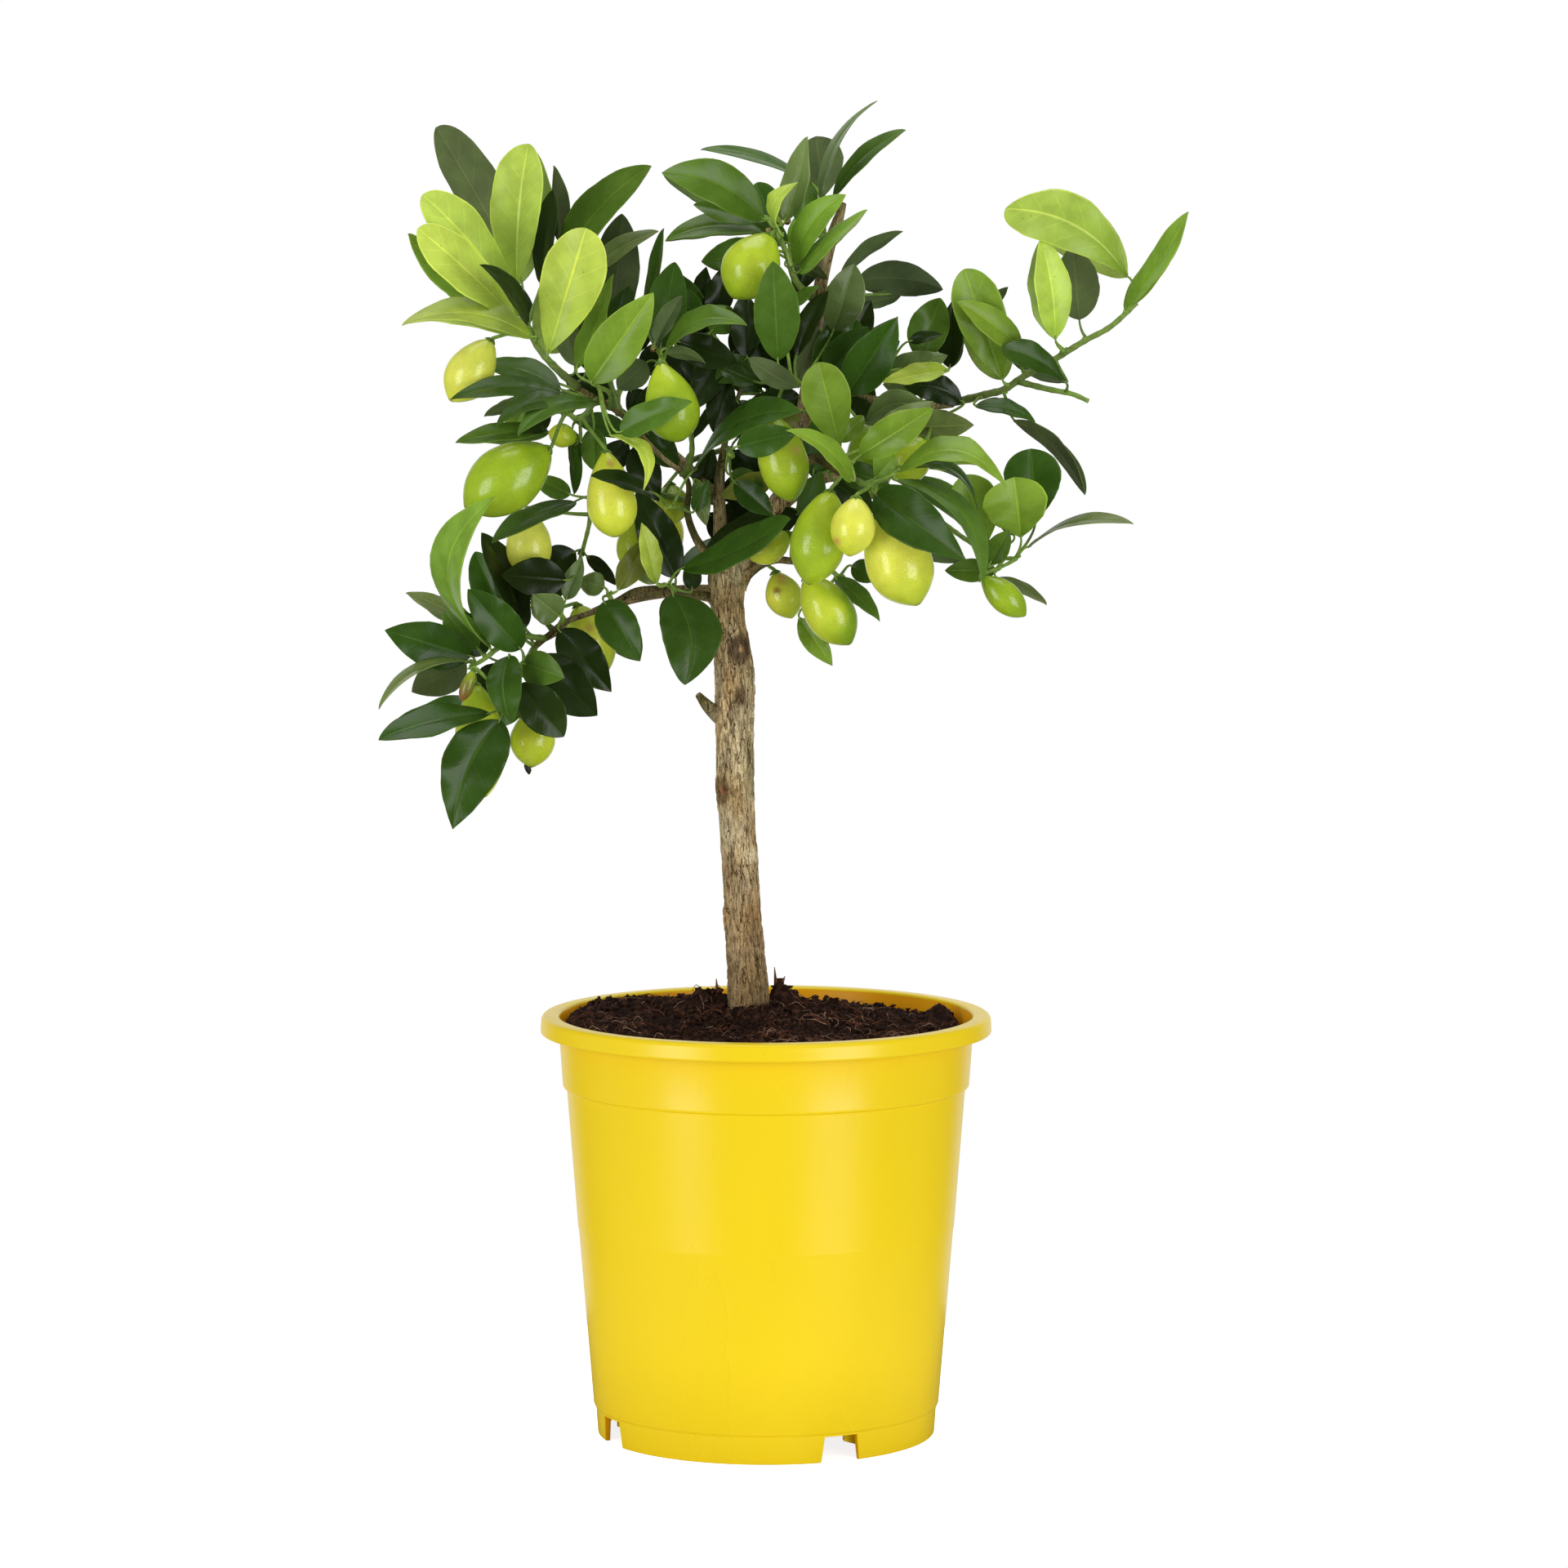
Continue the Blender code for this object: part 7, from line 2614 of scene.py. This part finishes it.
# --------------------------------------------------------------------------------------------------
# Studio


@dataclass(frozen=True)
class SoftBox:
    """A soft lamp that faces the plant: its place, its size, its power in watts, and if gloss shows it."""

    name: str
    place: Row
    aim: Row
    width: float
    height: float
    power: float
    mirrored: bool = True


@dataclass
class Studio:
    """A pale floor, plain soft lamps, a white background and the camera."""

    lens: float = 132.15
    sensor: float = 36.0
    pitch: float = math.radians(5.43)
    ambient: float = 0.44
    mirrored: float = 0.05
    backdrop: float = 0.75
    backdrop_from: float = 0.7
    backdrop_full: float = 0.95
    floor_radius: float = 0.24
    floor_sides: int = 96
    soft_boxes: tuple[SoftBox, ...] = (
        SoftBox("soft_box_left", (-1.27, -1.27, 0.25), (0.0, 0.0, 0.25), 0.73, 1.3, 11.0),
        SoftBox("soft_box_right", (1.13, -1.40, 0.25), (0.0, 0.0, 0.25), 0.90, 1.3, 13.4),
        SoftBox("soft_box_far_left", (-1.75, 0.25, 0.15), (0.0, 0.0, 0.12), 1.2, 1.2, 3.8, False),
        SoftBox("soft_box_far_right", (1.75, 0.25, 0.15), (0.0, 0.0, 0.12), 1.2, 1.2, 0.9, False),
        SoftBox("soft_box_top", (0.0, 0.2, 1.9), (0.0, 0.0, 0.3), 1.4, 1.4, 12.0),
        SoftBox("soft_box_back", (0.2, 1.6, 1.2), (0.0, 0.0, 0.35), 1.4, 1.0, 8.0, False),
    )

    def build_camera(self) -> Object:
        """The camera, level with the crown and looking slightly down.

        Returns:
            The camera.
        """
        data = bpy.data.cameras.new("camera")
        data.lens = self.lens
        data.sensor_width = self.sensor
        camera = new_object("camera", data)
        camera.location = (EYE - PLANT_MIDDLE) * MM
        camera.rotation_euler = (math.pi / 2.0 - self.pitch, 0.0, 0.0)
        bpy.context.scene.camera = camera
        return camera

    def build_lamps(self) -> None:
        """The soft boxes."""
        for box in self.soft_boxes:
            data = bpy.data.lights.new(box.name, "AREA")
            data.shape = "RECTANGLE"
            data.size = box.width
            data.size_y = box.height
            data.energy = box.power
            lamp = new_object(box.name, data)
            lamp.location = box.place
            lamp.visible_camera = False
            lamp.visible_glossy = box.mirrored
            lamp.rotation_euler = (Vector(box.aim) - Vector(box.place)).to_track_quat("-Z", "Y").to_euler()

    def build_world(self) -> None:
        """Soft light from all round, behind a white background."""
        world = bpy.data.worlds.new("studio_world")
        world.use_nodes = True
        bpy.context.scene.world = world
        draft = NodeDraft(world.node_tree)
        rays = draft.add("LightPath").outputs
        background = world.node_tree.nodes["Background"]
        draft.fill(background, Color=(1.0, 1.0, 1.0, 1.0))
        seen = draft.times(rays["Is Camera Ray"], 1.0 - self.ambient)
        towards = draft.add("SeparateXYZ", {0: draft.add("TexCoord").outputs["Generated"]}).outputs[1]
        backdrop = draft.times(draft.step(towards, self.backdrop_from, self.backdrop_full), self.backdrop)
        level = draft.plus(backdrop, self.mirrored - self.ambient)
        mirrored = draft.times(rays["Is Glossy Ray"], level)
        draft.fill(background, Strength=draft.plus(draft.plus(seen, mirrored), self.ambient))

    def build_floor(self) -> None:
        """The round white table under the pot."""
        shape = bmesh.new()
        bmesh.ops.create_circle(shape, cap_ends=True, segments=self.floor_sides, radius=self.floor_radius)
        mesh = mesh_from(shape, "studio_floor")
        mesh.materials.append(FloorFinish().build())
        floor = new_object("studio_floor", mesh)

    def build(self) -> None:
        """Build the whole studio."""
        bpy.context.scene.view_settings.view_transform = "Standard"
        self.build_camera()
        self.build_lamps()
        self.build_world()
        self.build_floor()


# --------------------------------------------------------------------------------------------------
# The plant


def shoots_of_the_crown() -> list[LeafyShoot]:
    """Every leafy shoot, near and far.

    Returns:
        The shoots, in the order they are built.
    """
    shoots = [LeafyShoot("leafy_" + name, rows, Side.NEAR, (name,)) for name, rows in SHOOTS.items()]
    shoots += [LeafyShoot(name, rows, Side.NEAR, ()) for name, rows in INNER_SHOOTS.items()]
    for table, replaced in ((FAR_SHOOTS, True), (BACK_SHOOTS, False)):
        for name, (near_name, start_depth, spread) in table.items():
            near = LeafyShoot(near_name, SHOOTS[near_name], Side.NEAR, ())
            rows = near.turned_back(start_depth, spread)
            shoots.append(LeafyShoot("leafy_" + name, rows, Side.FAR, (name,) if replaced else ()))
    return shoots


def main() -> None:
    """Dress the whole plant and set up the studio."""
    logging.basicConfig(level=logging.INFO, format="%(message)s")
    palette = Palette()
    GrowersPot().build(palette)
    RootBall().build(palette)
    WoodyFrame().build(palette)
    wood = runs_of([limb_path(rows) for rows in (*LIMBS.values(), TRUNK)])
    shoots = shoots_of_the_crown()
    for shoot in shoots:
        shoot.build(palette, wood)
    hangers = wood + runs_of([path for shoot in shoots for path in shoot.stem_paths(wood)])
    for number, (row, paint) in enumerate(zip(FRUITS, FRUIT_PAINTS), 1):
        Limequat(number, row, paint).build(palette, hangers)
    Studio().build()


if __name__ == "__main__":
    main()
